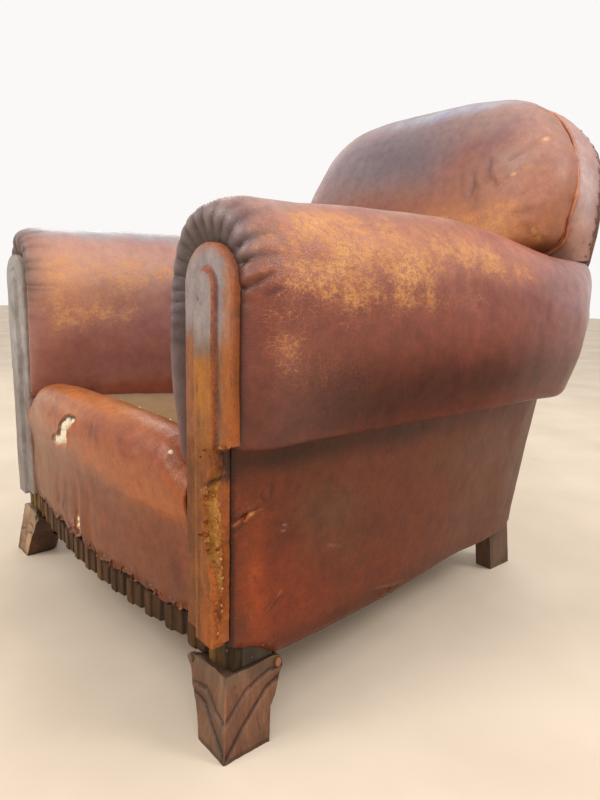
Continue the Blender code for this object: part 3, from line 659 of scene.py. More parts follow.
JUTE = woven("jute_weave", lin(170, 136, 88), lin(140, 108, 66), 1400.0, dirt=lin(96, 74, 46))
STEEL = metal("old_steel", lin(96, 88, 80), lin(88, 52, 34))
TACK = metal("tack_steel", lin(112, 98, 86), lin(84, 62, 48), 0.42)
WADDING = plain_fibre("cotton_wadding", lin(240, 230, 206), lin(206, 190, 156))
CORE = plain_fibre("crumbled_core", lin(206, 150, 84), lin(150, 98, 50))

DEEP = lin(74, 34, 26)        # shadowed mahogany
MAHOG = lin(112, 56, 42)
RUSSET = lin(140, 66, 42)
MAUVE = lin(128, 84, 78)
GREY = lin(136, 122, 116)
ORNG = lin(182, 92, 50)
NEARBLACK = lin(46, 32, 28)


# ---------------------------------------------------------------- measures shared by the pieces
SLOPE = 0.24
FACE_IN, FACE_OUT, FACE_C = 0.2850, 0.3780, 0.3315
ARCH_Z, ARCH_R = 0.5335, 0.0465


def back_depth(z):
    """Depth of the back's outer face at height z."""
    return 0.7150 + SLOPE * (np.asarray(z, float) - 0.11)


def bow(x):
    """Forward bow of the seat front at x."""
    t = np.minimum(1.0, np.abs(x) / FACE_IN)
    return 0.0240 * (1 - t * t)


def back_half(z):
    zs = (0.105, 0.360, 0.400, 0.500, 0.592, 0.640, 0.690, 0.750, 0.795, 0.835, 0.862, 0.880, 0.890, 0.896)
    ws = (0.2660, 0.2790, 0.2900, 0.3180, 0.3360, 0.3380, 0.3370, 0.3260, 0.3060, 0.2720, 0.2350, 0.1900, 0.1350, 0.0)
    return np.interp(z, zs, ws)


def arm_under(d):
    t = max(0.0, (d - 0.66) / 0.14)
    return 0.3620 + 0.060 * t ** 2.2


# ---------------------------------------------------------------- stuffed arms
def arm_line(d):
    """Hide line of the arm at depth d, from the foot of the inner wall over the crown to the frame under the roll."""
    top = 0.6290 + 0.0060 * float(smooth(0.05, 0.24, d))
    if d > 0.36:
        top = 0.6350 - 0.0450 * float(smooth(0.36, 0.76, d))
    out = 0.4060
    under = arm_under(d)
    inn = 0.2385
    bottom = 0.3220 - 0.0370 * float(smooth(0.112, 0.135, d))
    if d > 0.64:
        out -= 0.050 * ((d - 0.64) / 0.16) ** 2.0
    c0, c1 = 0.3020, min(0.3570, out - 0.012)
    if d > 0.650:
        inn += (0.2960 - 0.2385) * float(smooth(0.65, 0.74, d))
        bottom += (0.4200 - 0.2850) * float(smooth(0.65, 0.75, d))
    w = out - inn
    low = min(0.0260, 0.4 * (c0 - inn))
    h = (top - bottom) / 0.31
    return np.array([
        (inn + 0.55 * (c0 - inn), bottom), (inn + low, bottom + 0.020),
        (inn + 0.35 * low, bottom + 0.080 * h), (inn, bottom + 0.45 * (top - bottom)),
        (inn + 0.002, top - 0.095),
        (inn + 0.13 * w, top - 0.036), (inn + 0.31 * w, top - 0.008), (inn + 0.52 * w, top),
        (inn + 0.72 * w, top - 0.008), (inn + 0.89 * w, top - 0.036), (out - 0.003, top - 0.080),
        (out, 0.5 * (under + top)), (out - 0.003, under + 0.060), (out - 0.012, under + 0.022),
        (out - 0.020, under + 0.003), (c1 + 0.001, under),
    ])


ARM_COLS = 264
_ref = arm_line(0.15)
_t = np.arange(16.0)
_dense = hermite(_t, _ref, np.linspace(0, 15, 3001))
_step = np.linalg.norm(np.diff(_dense, axis=0), axis=1)
_z = 0.5 * (_dense[1:, 1] + _dense[:-1, 1])
_x = 0.5 * (_dense[1:, 0] + _dense[:-1, 0])
_step = _step * np.where(_z > 0.50, 1.55, np.where(_x > 0.33, 1.15, 0.75))
_s = np.concatenate([[0], np.cumsum(_step)])
ARM_Q = np.interp(np.linspace(0, _s[-1], ARM_COLS), _s, np.linspace(0, 15, 3001))

# valleys of the pleats round the facing: place along the facing's edge from the top of the arch
# (minus is the inner side), depth, half width, how far back they reach, slant
PLEATS = (
    (0.011, 2.6, 0.0036, 0.75, 0.000), (0.021, 3.2, 0.0040, 0.95, 0.001), (0.0335, 4.4, 0.0038, 1.00, 0.002),
    (0.0475, 4.4, 0.0040, 0.95, 0.002), (0.0700, 2.0, 0.0040, 0.50, 0.000), (0.0830, 1.8, 0.0040, 0.5, 0.0),
    (0.001, 2.2, 0.0034, 0.70, 0.000), (-0.009, 3.0, 0.0036, 0.90, -0.001), (-0.0185, 3.2, 0.0036, 0.95, -0.001),
    (-0.028, 3.0, 0.0036, 0.90, -0.001), (-0.038, 3.4, 0.0040, 0.95, -0.001), (-0.049, 3.2, 0.0040, 0.95, -0.001),
    (-0.061, 3.6, 0.0042, 0.98, -0.002), (-0.073, 3.2, 0.0042, 0.92, -0.002), (-0.086, 3.4, 0.0044, 0.95, -0.003),
    (-0.099, 2.4, 0.0044, 0.85, -0.003), (-0.113, 1.5, 0.0046, 0.75, -0.003), (-0.130, 0.9, 0.0050, 0.70, -0.003),
)


def facing_edge(S):
    """For each point of the arm's front section, where the hide goes in behind the facing."""
    F = np.empty_like(S)
    r = ARCH_R - 0.0022
    crest = int(np.argmax(S[:, 1]))
    up = S[:, 1] >= ARCH_Z
    ang = np.arctan2(S[:, 1] - ARCH_Z, S[:, 0] - FACE_C)
    F[up] = np.stack([FACE_C + r * np.cos(ang[up]), ARCH_Z + r * np.sin(ang[up])], -1)
    idx = np.arange(len(S))
    inner = (~up) & (idx < crest)
    F[inner] = np.stack([np.full(inner.sum(), FACE_C - r), S[inner, 1]], -1)
    outer = (~up) & (idx > crest)
    q = S[outer]
    length = np.concatenate([[0], np.cumsum(np.linalg.norm(np.diff(q, axis=0), axis=1))])
    length /= length[-1]
    path = np.array([(FACE_C + r, ARCH_Z), (FACE_C + r, 0.3725), (FACE_C + r - 0.0015, 0.3685), (0.357, 0.3665)])
    pl = np.concatenate([[0], np.cumsum(np.linalg.norm(np.diff(path, axis=0), axis=1))])
    pl /= pl[-1]
    F[outer] = np.stack([np.interp(length, pl, path[:, 0]), np.interp(length, pl, path[:, 1])], -1)
    return F


def arm_surface():
    """The stuffed arm: rows back along its depth and columns over its section."""
    S0 = hermite(_t, arm_line(0.050), ARM_Q)
    F = facing_edge(S0)
    edge = np.concatenate([[0], np.cumsum(np.linalg.norm(np.diff(F, axis=0), axis=1))])
    edge -= edge[int(np.argmax(F[:, 1]))]
    T = np.concatenate([np.linspace(0, 0.25, 9)[:-1], np.linspace(0.25, 1.0, 22)])
    rows, tt = [], []
    inner_side = smooth(0.040, -0.030, edge)
    low_end = smooth(-0.285, -0.262, edge)
    bulge = 0.0030 + 0.0075 * inner_side * low_end
    bulge = bulge * smooth(0.200, 0.165, edge)
    tight = inner_side * low_end                 # the inner front corner is rolled tighter than the outer
    for t in T:
        a = math.sin(math.pi * t / 2)
        XZ = F + (S0 - F) * (a ** (1 - 0.30 * tight))[:, None]
        D = 0.0102 + (0.050 - 0.0102) * (1 - math.cos(math.pi * t / 2)) ** (1 + 0.8 * tight) - bulge * math.sin(math.pi * min(1.0, t * 1.15)) ** 0.8
        rows.append(np.stack([XZ[:, 0], D, XZ[:, 1]], -1))
        tt.append(t)
    depths = np.concatenate([np.arange(0.0525, 0.120, 0.0026), np.arange(0.120, 0.46, 0.0038), np.arange(0.46, 0.772, 0.0052), [0.7725]])
    for d in depths:
        S = hermite(_t, arm_line(float(d)), ARM_Q)
        rows.append(np.stack([S[:, 0], np.full(ARM_COLS, d), S[:, 1]], -1))
        tt.append(1 + (d - 0.05) / 0.05)
    S1 = hermite(_t, arm_line(0.7725), ARM_Q)
    S2 = hermite(_t, arm_line(0.7980), ARM_Q)
    c = np.array([0.335, 0.500])
    for k in range(1, 13):
        f = k / 12
        ang = f * math.pi / 2
        mid = S1 + (S2 - S1) * math.sin(ang)
        shrink = 1 - 0.90 * (1 - math.cos(ang)) ** 1.6
        q = c + (mid - c) * shrink
        rows.append(np.stack([q[:, 0], np.full(ARM_COLS, 0.7725 + 0.0255 * math.sin(ang)), q[:, 1]], -1))
        tt.append(18.0)
    P = np.array(rows)
    return P, np.array(tt), edge, F


ARM_P, ARM_T, ARM_EDGE, ARM_F = arm_surface()


def finish_arm(side):
    near = side > 0
    P = ARM_P.copy()
    t = ARM_T[:, None]
    N = -normals(P)
    mid = P[len(P) // 2, ARM_COLS // 2]
    if (N[len(P) // 2, int(np.argmax(P[len(P) // 2, :, 2]))][2]) < 0:
        N = -N
    seed = 0 if near else 400
    rag = np.array([side * 3.1, 0.0, 0.0])
    # stuffing: broad lumps, then soft ripples along the pull of the hide
    front = smooth(0.2, 1.4, t)
    lump = 0.0026 * fbm(P + rag, 9.0, 3, 5 + seed) + 0.0010 * fbm(P * np.array([1, 0.55, 1]) + rag, 30.0, 3, 9 + seed)
    lump = lump * front * (0.35 + 0.65 * smooth(0.80, 0.70, P[..., 1]))
    pleat = np.zeros(P.shape[:2])
    shade = np.zeros(P.shape[:2])
    e = ARM_EDGE[None, :]
    jitter = 0.0012 * line3(np.linspace(0, 4, len(P)), 1.0, 31 + seed)[:, None]
    for k, (s0, dep, wid, reach, slant) in enumerate(PLEATS):
        if not near:
            s0 = s0 + 0.003 * math.sin(2.7 * k + 1.1)
            dep = dep * (0.20 if s0 < -0.080 else 0.55 if s0 < -0.045 else 1.0)
        centre = s0 + slant * np.minimum(t, 1.6) + jitter * (1 if k % 2 else -1)
        env = smooth(reach * 1.35, 0.15, t) * (0.35 + 0.65 * smooth(0.0, 0.25, t))
        v = np.exp(-(np.abs(e - centre) / wid) ** 1.15)
        pleat -= 0.001 * dep * env * v
        shade = np.maximum(shade, env * v)
        # the hide swells between the valleys
    swell = smooth(1.25, 0.5, t) * smooth(0.0, 0.3, t) * smooth(0.085, 0.06, e) * smooth(-0.225, -0.19, e)
    P = P + N * (lump + pleat + 0.0016 * swell)[..., None]
    fold = np.zeros(P.shape[:2])
    if near:
        folds = (
            # x, depth, height of the fold lines fanning out of the corner of the arch
            (((0.3790, 0.0105, 0.5325), (0.3895, 0.0135, 0.5365), (0.3975, 0.0185, 0.5412), (0.4010, 0.0255, 0.5455), (0.4025, 0.0340, 0.5508)), 0.0050, 0.0026, 0.0018, 0.0065, 0.0055, 0.35),
            (((0.3765, 0.0105, 0.5560), (0.3815, 0.0145, 0.5610), (0.3860, 0.0190, 0.5655)), 0.0026, 0.0022, 0.0, 0.005, 0.005, 0.45),
            (((0.3680, 0.0115, 0.5735), (0.3720, 0.0150, 0.5790), (0.3755, 0.0190, 0.5835)), 0.0024, 0.0022, 0.0, 0.005, 0.005, 0.45),
            (((0.4025, 0.0200, 0.5260), (0.4035, 0.0360, 0.5330), (0.4040, 0.0480, 0.5370)), 0.0008, 0.0030, 0.0, 0.005, 0.005, 0.7),
            (((0.3900, 0.022, 0.420), (0.4010, 0.045, 0.400), (0.4030, 0.080, 0.392)), 0.0012, 0.006, 0.0, 0.007, 0.007, 0.6),
            (((0.4030, 0.150, 0.430), (0.4045, 0.260, 0.424), (0.4030, 0.360, 0.430)), 0.0009, 0.010, 0.0, 0.01, 0.01, 0.8),
            (((0.4010, 0.560, 0.500), (0.3980, 0.640, 0.470), (0.3920, 0.700, 0.430)), 0.0010, 0.022, 0.0, 0.02, 0.02, 0.9),
        )
    else:
        folds = (
            (((0.3790, 0.012, 0.540), (0.3900, 0.022, 0.546), (0.4000, 0.040, 0.556), (0.4030, 0.060, 0.563)), 0.0036, 0.0042, 0.0018, 0.007, 0.007, 0.30),
            (((0.2420, 0.040, 0.440), (0.2390, 0.080, 0.425), (0.2390, 0.150, 0.420)), 0.0008, 0.008, 0.0003, 0.012, 0.01, 0.9),
            (((0.2400, 0.060, 0.505), (0.2390, 0.120, 0.490), (0.2390, 0.220, 0.486)), 0.0008, 0.016, 0.0, 0.02, 0.02, 0.9),
            (((0.2400, 0.200, 0.380), (0.2390, 0.300, 0.365), (0.2390, 0.420, 0.372)), 0.0008, 0.018, 0.0, 0.02, 0.02, 0.9),
        )
    for pts, dep, wid, roll, off, rw, ends in folds:
        P, w = crease(P, N, pts, dep, wid, roll, off, rw, ends)
        if wid < 0.0055:
            fold = np.maximum(fold, w)
    # leaning back of the rear end, and the torn, tacked corner under it
    P[..., 1] += 0.24 * (P[..., 2] - 0.50) * smooth(0.60, 0.80, P[..., 1])
    low_rear = smooth(0.700, 0.745, P[..., 1]) * smooth(0.430, 0.400, P[..., 2]) * smooth(0.34, 0.37, P[..., 0])
    P[..., 2] += -0.005 * low_rear * (0.4 + 0.9 * line3(P[..., 1], 85.0, 77 + seed))
    # closing points inside the arm
    a, b = P[:, -1], P[:, 0]
    inside = []
    for f, lift in ((0.12, 0.010), (0.30, 0.030), (0.50, 0.045), (0.72, 0.035), (0.90, 0.012)):
        q = a + (b - a) * f
        q = q + np.array([0, 0, 1.0]) * lift * smooth(0.0, 1.2, t)
        inside.append(q)
    inside = np.stack(inside, 1)
    full = np.concatenate([P, inside], 1)
    m, n = full.shape[:2]
    # colour
    g = P
    if near:
        # the dark brown strokes low on the outer side are painted shade under the roll; the pale grey strokes over the
        # top and at the rear end are painted sheen over the hide's own greyer tone
        col = paint(g, lin(116, 54, 38), (
            ((0.40, 0.25, 0.47), (0.05, 0.40, 0.10), lin(118, 58, 40), 0.8),
            ((0.38, 0.20, 0.59), (0.06, 0.32, 0.05), lin(162, 98, 68), 0.95),
            ((0.37, 0.50, 0.60), (0.06, 0.16, 0.05), lin(164, 96, 74), 0.9),
            ((0.40, 0.40, 0.50), (0.06, 0.18, 0.05), lin(130, 62, 46), 0.7),
            ((0.40, 0.46, 0.41), (0.06, 0.42, 0.050), lin(68, 28, 12), 0.95),
            ((0.40, 0.16, 0.40), (0.06, 0.16, 0.050), lin(68, 30, 16), 0.9),
            ((0.40, 0.06, 0.40), (0.06, 0.06, 0.05), lin(92, 52, 42), 0.6),
            ((0.39, 0.66, 0.52), (0.06, 0.11, 0.09), lin(134, 92, 88), 0.8),
            ((0.38, 0.74, 0.54), (0.06, 0.06, 0.08), lin(160, 130, 122), 0.8),
            ((0.38, 0.68, 0.42), (0.06, 0.10, 0.04), lin(100, 62, 54), 0.8),
            ((0.36, 0.06, 0.63), (0.06, 0.05, 0.02), lin(146, 116, 108), 0.8),
            ((0.33, 0.30, 0.64), (0.05, 0.35, 0.018), lin(168, 124, 100), 0.8),
            ((0.25, 0.30, 0.45), (0.04, 0.60, 0.15), lin(116, 62, 50), 1.0),
            ((0.26, 0.01, 0.44), (0.04, 0.05, 0.16), lin(96, 70, 66), 0.9),
            ((0.40, 0.052, 0.455), (0.02, 0.03, 0.05), lin(122, 68, 54), 0.6),
        ), 3)
    else:
        # the pale grey stroke over the top is painted sheen
        col = paint(g, lin(150, 92, 76), (
            ((0.25, 0.20, 0.56), (0.05, 0.30, 0.05), lin(176, 124, 104), 0.8),
            ((0.25, 0.06, 0.53), (0.05, 0.07, 0.08), lin(186, 122, 88), 0.9),
            ((0.25, 0.30, 0.52), (0.05, 0.14, 0.06), lin(156, 106, 94), 0.8),
            ((0.25, 0.20, 0.45), (0.05, 0.22, 0.04), lin(136, 84, 78), 0.8),
            ((0.25, 0.16, 0.39), (0.05, 0.20, 0.04), lin(154, 90, 70), 0.8),
            ((0.25, 0.25, 0.325), (0.05, 0.35, 0.025), lin(138, 62, 36), 0.8),
            ((0.30, 0.15, 0.63), (0.08, 0.40, 0.02), lin(130, 124, 124), 0.9),
            ((0.40, 0.30, 0.46), (0.05, 0.50, 0.10), lin(108, 54, 40), 0.8),
            ((0.40, 0.25, 0.58), (0.05, 0.35, 0.05), lin(152, 84, 54), 0.8),
        ), 53)
    if not near:
        col = mixc(col, lin(126, 76, 74), 0.70 * blob(P, (0.25, 0.26, 0.385), (0.04, 0.26, 0.040), 0.4, 57))
        # painted haze: the far arm's inner side lightened and greyed, its outer side darkened
        col = col * (1 + np.array([0.12, 0.30, 0.36]) * smooth(0.35, 0.30, P[..., 0:1]) - 0.12 * smooth(0.30, 0.36, P[..., 0:1]))
    around = smooth(0.95, 0.35, t) * smooth(0.062, 0.030, e) * (1 - 0.75 * smooth(-0.085, -0.120, e)) * (1 if near else 0.8)
    under = np.zeros_like(P[..., 0:1])
    if near:
        # painted shade: the hide under the roll darkened and warmed; its shine is lowered too
        under = smooth(0.560, 0.415, P[..., 2:3]) * smooth(0.33, 0.38, P[..., 0:1]) * (0.45 + 0.55 * smooth(0.02, 0.26, P[..., 1:2])) * smooth(0.70, 0.40, P[..., 1:2])
        col = col * (1 - np.array([0.06, 0.15, 0.26]) * under)
        over = blob(P, (0.375, 0.34, 0.605), (0.06, 0.14, 0.035), 0.4, 58)
        col = col * (1 - np.array([0.0, 0.07, 0.24]) * over[..., None])
    # painted light and shade round the facing: the pleated hide beside it greyed as painted sheen on the near arm and
    # darkened as painted shade on the far arm; then painted shade in the pleat valleys, along the fold lines and where
    # the hide turns in behind the facing
    col = mixc(col, lin(136, 123, 121) if near else lin(86, 72, 70), (0.72 if near else 0.84) * around * np.ones_like(P[..., 0]))
    col = mixc(col, lin(42, 27, 25), (0.88 if near else 0.60) * shade * smooth(0.075, 0.10, -e + 0.16))
    col = mixc(col, lin(44, 26, 22), 0.55 * fold)
    col = mixc(col, lin(44, 32, 26), 0.85 * smooth(0.42 if near else 0.30, 0.0, t) * np.ones_like(P[..., 0]))
    # wear
    wear = np.zeros(P.shape[:2])
    if near:
        spots = (
            ((0.385, 0.080, 0.595), (0.030, 0.040, 0.026), 0.56), ((0.395, 0.150, 0.580), (0.030, 0.085, 0.040), 0.74),
            ((0.398, 0.245, 0.570), (0.030, 0.080, 0.036), 0.70), ((0.390, 0.330, 0.590), (0.030, 0.100, 0.028), 0.56),
            ((0.404, 0.075, 0.548), (0.014, 0.045, 0.020), 0.54), ((0.405, 0.050, 0.472), (0.012, 0.024, 0.030), 0.36),
            ((0.400, 0.420, 0.572), (0.030, 0.080, 0.026), 0.50), ((0.400, 0.500, 0.560), (0.030, 0.050, 0.022), 0.42),
            ((0.404, 0.170, 0.530), (0.030, 0.080, 0.024), 0.48), ((0.404, 0.330, 0.525), (0.020, 0.090, 0.022), 0.34),
            ((0.388, 0.034, 0.585), (0.012, 0.012, 0.018), 0.36), ((0.372, 0.140, 0.612), (0.022, 0.10, 0.016), 0.45),
            ((0.404, 0.110, 0.450), (0.030, 0.100, 0.050), 0.21), ((0.402, 0.036, 0.505), (0.014, 0.030, 0.035), 0.34), ((0.36, 0.40, 0.63), (0.05, 0.25, 0.03), 0.24),
            ((0.402, 0.620, 0.500), (0.030, 0.090, 0.060), 0.12), ((0.250, 0.20, 0.56), (0.030, 0.25, 0.05), 0.45),
        )
    else:
        spots = (
            ((0.248, 0.060, 0.535), (0.020, 0.050, 0.050), 0.50), ((0.246, 0.150, 0.550), (0.020, 0.150, 0.055), 0.54), ((0.243, 0.110, 0.480), (0.020, 0.090, 0.032), 0.50),
            ((0.242, 0.050, 0.460), (0.020, 0.030, 0.040), 0.46), ((0.243, 0.250, 0.560), (0.020, 0.150, 0.035), 0.28),
            ((0.300, 0.20, 0.630), (0.05, 0.20, 0.02), 0.20), ((0.240, 0.22, 0.42), (0.03, 0.14, 0.06), 0.14),
            ((0.395, 0.160, 0.572), (0.030, 0.10, 0.032), 0.80), ((0.395, 0.350, 0.560), (0.030, 0.12, 0.030), 0.55),
            ((0.405, 0.080, 0.480), (0.02, 0.05, 0.03), 0.40),
        )
    for c, r, a in spots:
        w = a * blob(P, c, r, 0.5, 200 + seed, 22.0)
        wear = wear + w * (1 - wear)
    wear = wear * smooth(0.25, 0.9, t) * (1 - 0.8 * fold)
    crest = np.zeros(P.shape[:2])
    if near:
        # rubbed crests of the folds beside the arch
        for pts in (((0.3900, 0.0160, 0.5460), (0.3990, 0.0260, 0.5520), (0.4030, 0.0400, 0.5580)),
                    ((0.3830, 0.0150, 0.5690), (0.3880, 0.0220, 0.5750), (0.3920, 0.0300, 0.5790)),
                    ((0.3720, 0.0140, 0.5850), (0.3780, 0.0210, 0.5920), (0.3820, 0.0300, 0.5960))):
            dd, ss, _ = to_line(P, pts)
            crest = np.maximum(crest, np.exp(-(dd / 0.0045) ** 2) * np.sin(np.pi * np.clip(ss, 0.02, 0.98)))
        wear = np.maximum(wear, 0.55 * crest)
    dull = np.maximum(0.25 * wear - 0.30 * around + 0.0 * P[..., 0], 0.74 * under[..., 0])

    def padc(v):
        """Values for the closing points: the last column's."""
        tail = np.repeat(v[:, -1:], 5, axis=1)
        w = np.concatenate([v, tail], 1)
        return w.reshape((-1,) + w.shape[2:])

    hand = "left" if near else "right"
    ob = make("arm_" + hand, full.reshape(-1, 3), tube_faces(m, n), HIDE if near else HIDE_FAR,
              {"col": padc(col), "wear": padc(wear), "dull": padc(dull)}, side,
              ("arm_wall_pad_" + hand, "arm_crown_pad_" + hand, "arm_roll_pad_" + hand))
    return ob


for side in (1, -1):
    finish_arm(side)


# ---------------------------------------------------------------- arm facings
def facing(side):
    near = side > 0
    rho = np.array([0, .0025, .005, .0075, .0095, .0112, .0126, .0138, .0148, .0155, .0160, .0166, .0174, .0183, .0192, .0200,
                    .0206, .0212, .0222, .0234, .0248, .0262, .0276, .0290, .0304, .0318, .0332, .0346, .0360, .0374, .0388,
                    .0400, .0412, .0422, .0431, .0439, .0446, .0452, .0457, .0461, .0464, .0465, .0465, .0465])
    wall = np.zeros(len(rho)); wall[-3:] = (0.0035, 0.0075, 0.0117)     # how far down the side the last columns are
    zb = 0.1345
    leg = ARCH_Z - zb
    nl, na = 250, 92
    z_leg = np.linspace(zb, ARCH_Z, nl)
    rows = []
    # path: up the inner leg, round the arch, down the outer leg
    for z in z_leg[:-1]:
        rows.append((FACE_C, z, -1.0, 0.0, z))
    for k in range(na + 1):
        a = math.pi * (1 - k / na)
        rows.append((FACE_C, ARCH_Z, math.cos(a), math.sin(a), ARCH_Z))
    for z in z_leg[::-1][1:]:
        rows.append((FACE_C, z, 1.0, 0.0, z))
    R = np.array(rows)
    m, n = len(R), len(rho)
    X = R[:, 0, None] + R[:, 2, None] * rho[None, :]
    Z = R[:, 1, None] + R[:, 3, None] * rho[None, :]
    outer = (R[:, 2] > 0.999)[:, None] & (rho[None, :] > 0.0225)
    # the outer half ends above the torn lower part
    seed = 11 if near else 611
    p3 = np.stack([X, X * 0, Z], -1)
    cut = 0.3655 + 0.0030 * line3(X, 260.0, seed) + (0.0035 if near else 0.0)
    low = smooth(cut + 0.0012, cut - 0.0012, Z) * outer
    # below the step the edge keeps to the core strip
    lim = 0.0265 + 0.0010 * line3(Z, 120.0, seed + 3) + 0.0010 * line3(Z, 31.0, seed + 4)
    squeezed = 0.0225 + (rho[None, :] - 0.0225) / (0.0465 - 0.0225) * (lim - 0.0225)
    X = np.where(outer, X * (1 - low) + (FACE_C + squeezed) * low, X)
    rr = np.where(outer & (low > 0.5), squeezed, rho[None, :] + 0 * X)
    # height of the face above the back of the board
    h = np.full((m, n), 0.0120)
    b = smooth(0.0207, 0.0157, rr) ** 0.75
    strip_low = 1.0
    h = h + 0.0062 * b * strip_low
    edge = np.clip((rr - 0.0425) / 0.0040, 0, 1)
    h = h - 0.0040 * (1 - np.sqrt(np.maximum(0, 1 - edge ** 2)))
    h = h - wall[None, :] * 0.68
    lowedge = np.clip((rr - (lim - 0.0022)) / 0.0022, 0, 1) * (low > 0.5)
    h = h - 0.0030 * lowedge
    p3 = np.stack([X, X * 0, Z], -1)
    # fine upright ridges in the covering, dents and a soft wander
    ridge = fbm(p3 * np.array([1, 1, 0.045]), 520.0, 2, seed + 5) * 0.00028
    wander = fbm(p3 * np.array([1, 1, 0.5]), 40.0, 3, seed + 6) * 0.0007
    h = h + (ridge + wander) * (wall[None, :] == 0)
    tear = np.zeros((m, n)); lip = np.zeros((m, n)); crack = np.zeros((m, n))
    if near:
        zc = np.array([0.128, 0.160, 0.185, 0.205, 0.225, 0.250, 0.270, 0.290, 0.305, 0.320, 0.332, 0.345])
        xc = np.array([0.352, 0.353, 0.357, 0.3575, 0.3555, 0.3510, 0.3490, 0.3475, 0.3460, 0.3470, 0.3500, 0.351])
        hw = np.array([0.000, 0.0018, 0.0036, 0.0052, 0.0070, 0.0092, 0.0098, 0.0092, 0.0078, 0.0056, 0.0030, 0.0])
        cx = np.interp(Z, zc, xc) + 0.0012 * line3(Z, 150.0, 19)
        w = np.interp(Z, zc, hw) * (1 + 0.35 * line3(Z, 190.0, 23))
        dx = np.abs(X - cx)
        dx = dx + 0.0022 * fbm(p3, 160.0, 3, 29)
        tear = smooth(0.0006, -0.0010, dx - w) * (w > 0.0004)
        lip = np.exp(-((dx - w - 0.0022) / 0.0022) ** 2) * (w > 0.0004) * smooth(0.13, 0.17, Z)
        rough = fbm(p3, 230.0, 4, 37)
        h = h - tear * (0.0056 * b + 0.0026) + tear * (rough * 0.0022 + 0.0012 * fbm(p3, 90.0, 3, 39))
        h = h + lip * (0.0012 + 0.0016 * fbm(p3, 190.0, 3, 41))
        # the dark recess under the step
        pocket = smooth(0.3450, 0.3520, X) * smooth(0.366, 0.360, Z) * smooth(0.318, 0.335, Z) * smooth(0.362, 0.3585, X)
        h = h - 0.0065 * pocket
        dd, ss, _ = to_line(p3, [(0.3500, 0, 0.3320), (0.3440, 0, 0.3265), (0.3400, 0, 0.3210)])
        crack = np.exp(-(dd / 0.0018) ** 2)
        h = h - 0.0035 * crack
        # pick marks and crumbs lower down
        for (px, pz, pr, pd) in ((0.3535, 0.182, 0.0035, -0.0022), (0.3530, 0.170, 0.0030, -0.0020), (0.3560, 0.1500, 0.0028, -0.0016),
                                 (0.3465, 0.196, 0.0030, 0.0016), (0.3560, 0.176, 0.0030, 0.0018), (0.3280, 0.5154, 0.0017, -0.0020),
                                 (0.3290, 0.5085, 0.0016, 0.0006), (0.3345, 0.351, 0.003, 0.0014), (0.3300, 0.300, 0.0035, -0.0010),
                                 (0.3470, 0.3585, 0.0040, 0.0022)):
            h = h + pd * np.exp(-(((X - px) ** 2 + (Z - pz) ** 2) / pr ** 2))
        nibble = smooth(0.345, 0.30, Z) * smooth(0.0150, 0.0262, rr) * (R[:, 2] > 0.999)[:, None]
        h = h + nibble * 0.0012 * fbm(p3, 260.0, 3, 43)
    else:
        ddx = np.abs(np.abs(X - FACE_C) - 0.0300)
        h = h - 0.0006 * np.exp(-(ddx / 0.0016) ** 2)
    h = np.maximum(h, 0.0006)
    # bottom edge, stepped and nibbled
    foot = smooth(zb + 0.016, zb, Z)
    drop = np.where(rr < 0.0175, 0.0058, 0.0) * (1 if near else 0.8) - 0.0015
    if near:
        drop = drop + 0.0040 * smooth(0.350, 0.358, X) * -1
    Z = Z - foot * (drop + 0.0022 * line3(X, 330.0, seed + 7) + 0.0016 * line3(X, 95.0, seed + 8))
    D = 0.0118 - h
    P = np.stack([X, D, Z], -1)
    # one mesh: legs welded along the middle, arch centre to a point
    V = P.reshape(-1, 3)
    ids = np.arange(m * n).reshape(m, n)
    for k in range(nl - 1):
        ids[m - 1 - k, 0] = ids[k, 0]
        V[ids[k, 0]] = 0.5 * (P[k, 0] + P[m - 1 - k, 0])
    ids[nl - 1:nl + na, 0] = ids[nl - 1, 0]
    faces = []
    for q in np.stack([ids[:-1, :-1], ids[:-1, 1:], ids[1:, 1:], ids[1:, :-1]], -1).reshape(-1, 4):
        u = []
        for v in q.tolist():
            if v not in u:
                u.append(v)
        if len(u) > 2:
            faces.append(u)
    # back: the outline, flat
    outline = list(ids[:, -1]) + list(ids[-1, ::-1][1:]) + list(ids[0, :][1:-1])
    count = len(V)
    ring = [count + k for k in range(len(outline))]
    Vb = V[outline].copy()
    Vb[:, 1] = 0.0119
    V = np.concatenate([V, Vb])
    L = len(outline)
    for k in range(L):
        faces.append([outline[(k + 1) % L], outline[k], ring[k], ring[(k + 1) % L]])
    faces.append(ring)
    # colour
    sheen = lin(152, 140, 135)
    front = rr < 0.0450
    blot = fbm(p3 * np.array([1, 1, 0.6]), 42.0, 4, 73)
    fleck = fbm(p3, 150.0, 3, 74)
    side_band = smooth(0.0420, 0.0448, rr) * (low < 0.5)
    arch_or_out = side_band * (np.where(R[:, 2:3] > -0.2, 1.0, 0.35))
    chamfer = smooth(0.0157, 0.0168, rr) * smooth(0.0212, 0.0200, rr)
    if near:
        face = smooth(0.0166, 0.0157, rr)                      # the raised strip's front
        left = smooth(0.3150, 0.3135, X)
        right = smooth(0.3520, 0.3535, X)
        col = np.broadcast_to(sheen, P.shape).copy()
        low1 = smooth(0.495, 0.452, Z + 0.014 * blot)
        col = mixc(col, lin(146, 108, 92), low1)
        # front of the strip: bright ochre below the grey, then browner and stained
        col = mixc(col, lin(188, 124, 54), 0.95 * face * smooth(0.472, 0.452, Z + 0.006 * blot))
        col = mixc(col, lin(156, 102, 54), 0.85 * face * smooth(0.410, 0.385, Z + 0.012 * blot))
        col = mixc(col, lin(122, 84, 70), 0.70 * face * smooth(0.05, 0.40, blot) * smooth(0.46, 0.42, Z) * smooth(0.335, 0.35, Z))
        col = mixc(col, lin(104, 78, 66), 0.85 * face * np.exp(-(((X - 0.3215) / 0.0035) ** 2 + ((Z - 0.4285) / 0.0085) ** 2)))
        col = mixc(col, lin(104, 78, 66), 0.60 * face * np.exp(-(((X - 0.3235) / 0.0050) ** 2 + ((Z - 0.3950) / 0.0110) ** 2)))
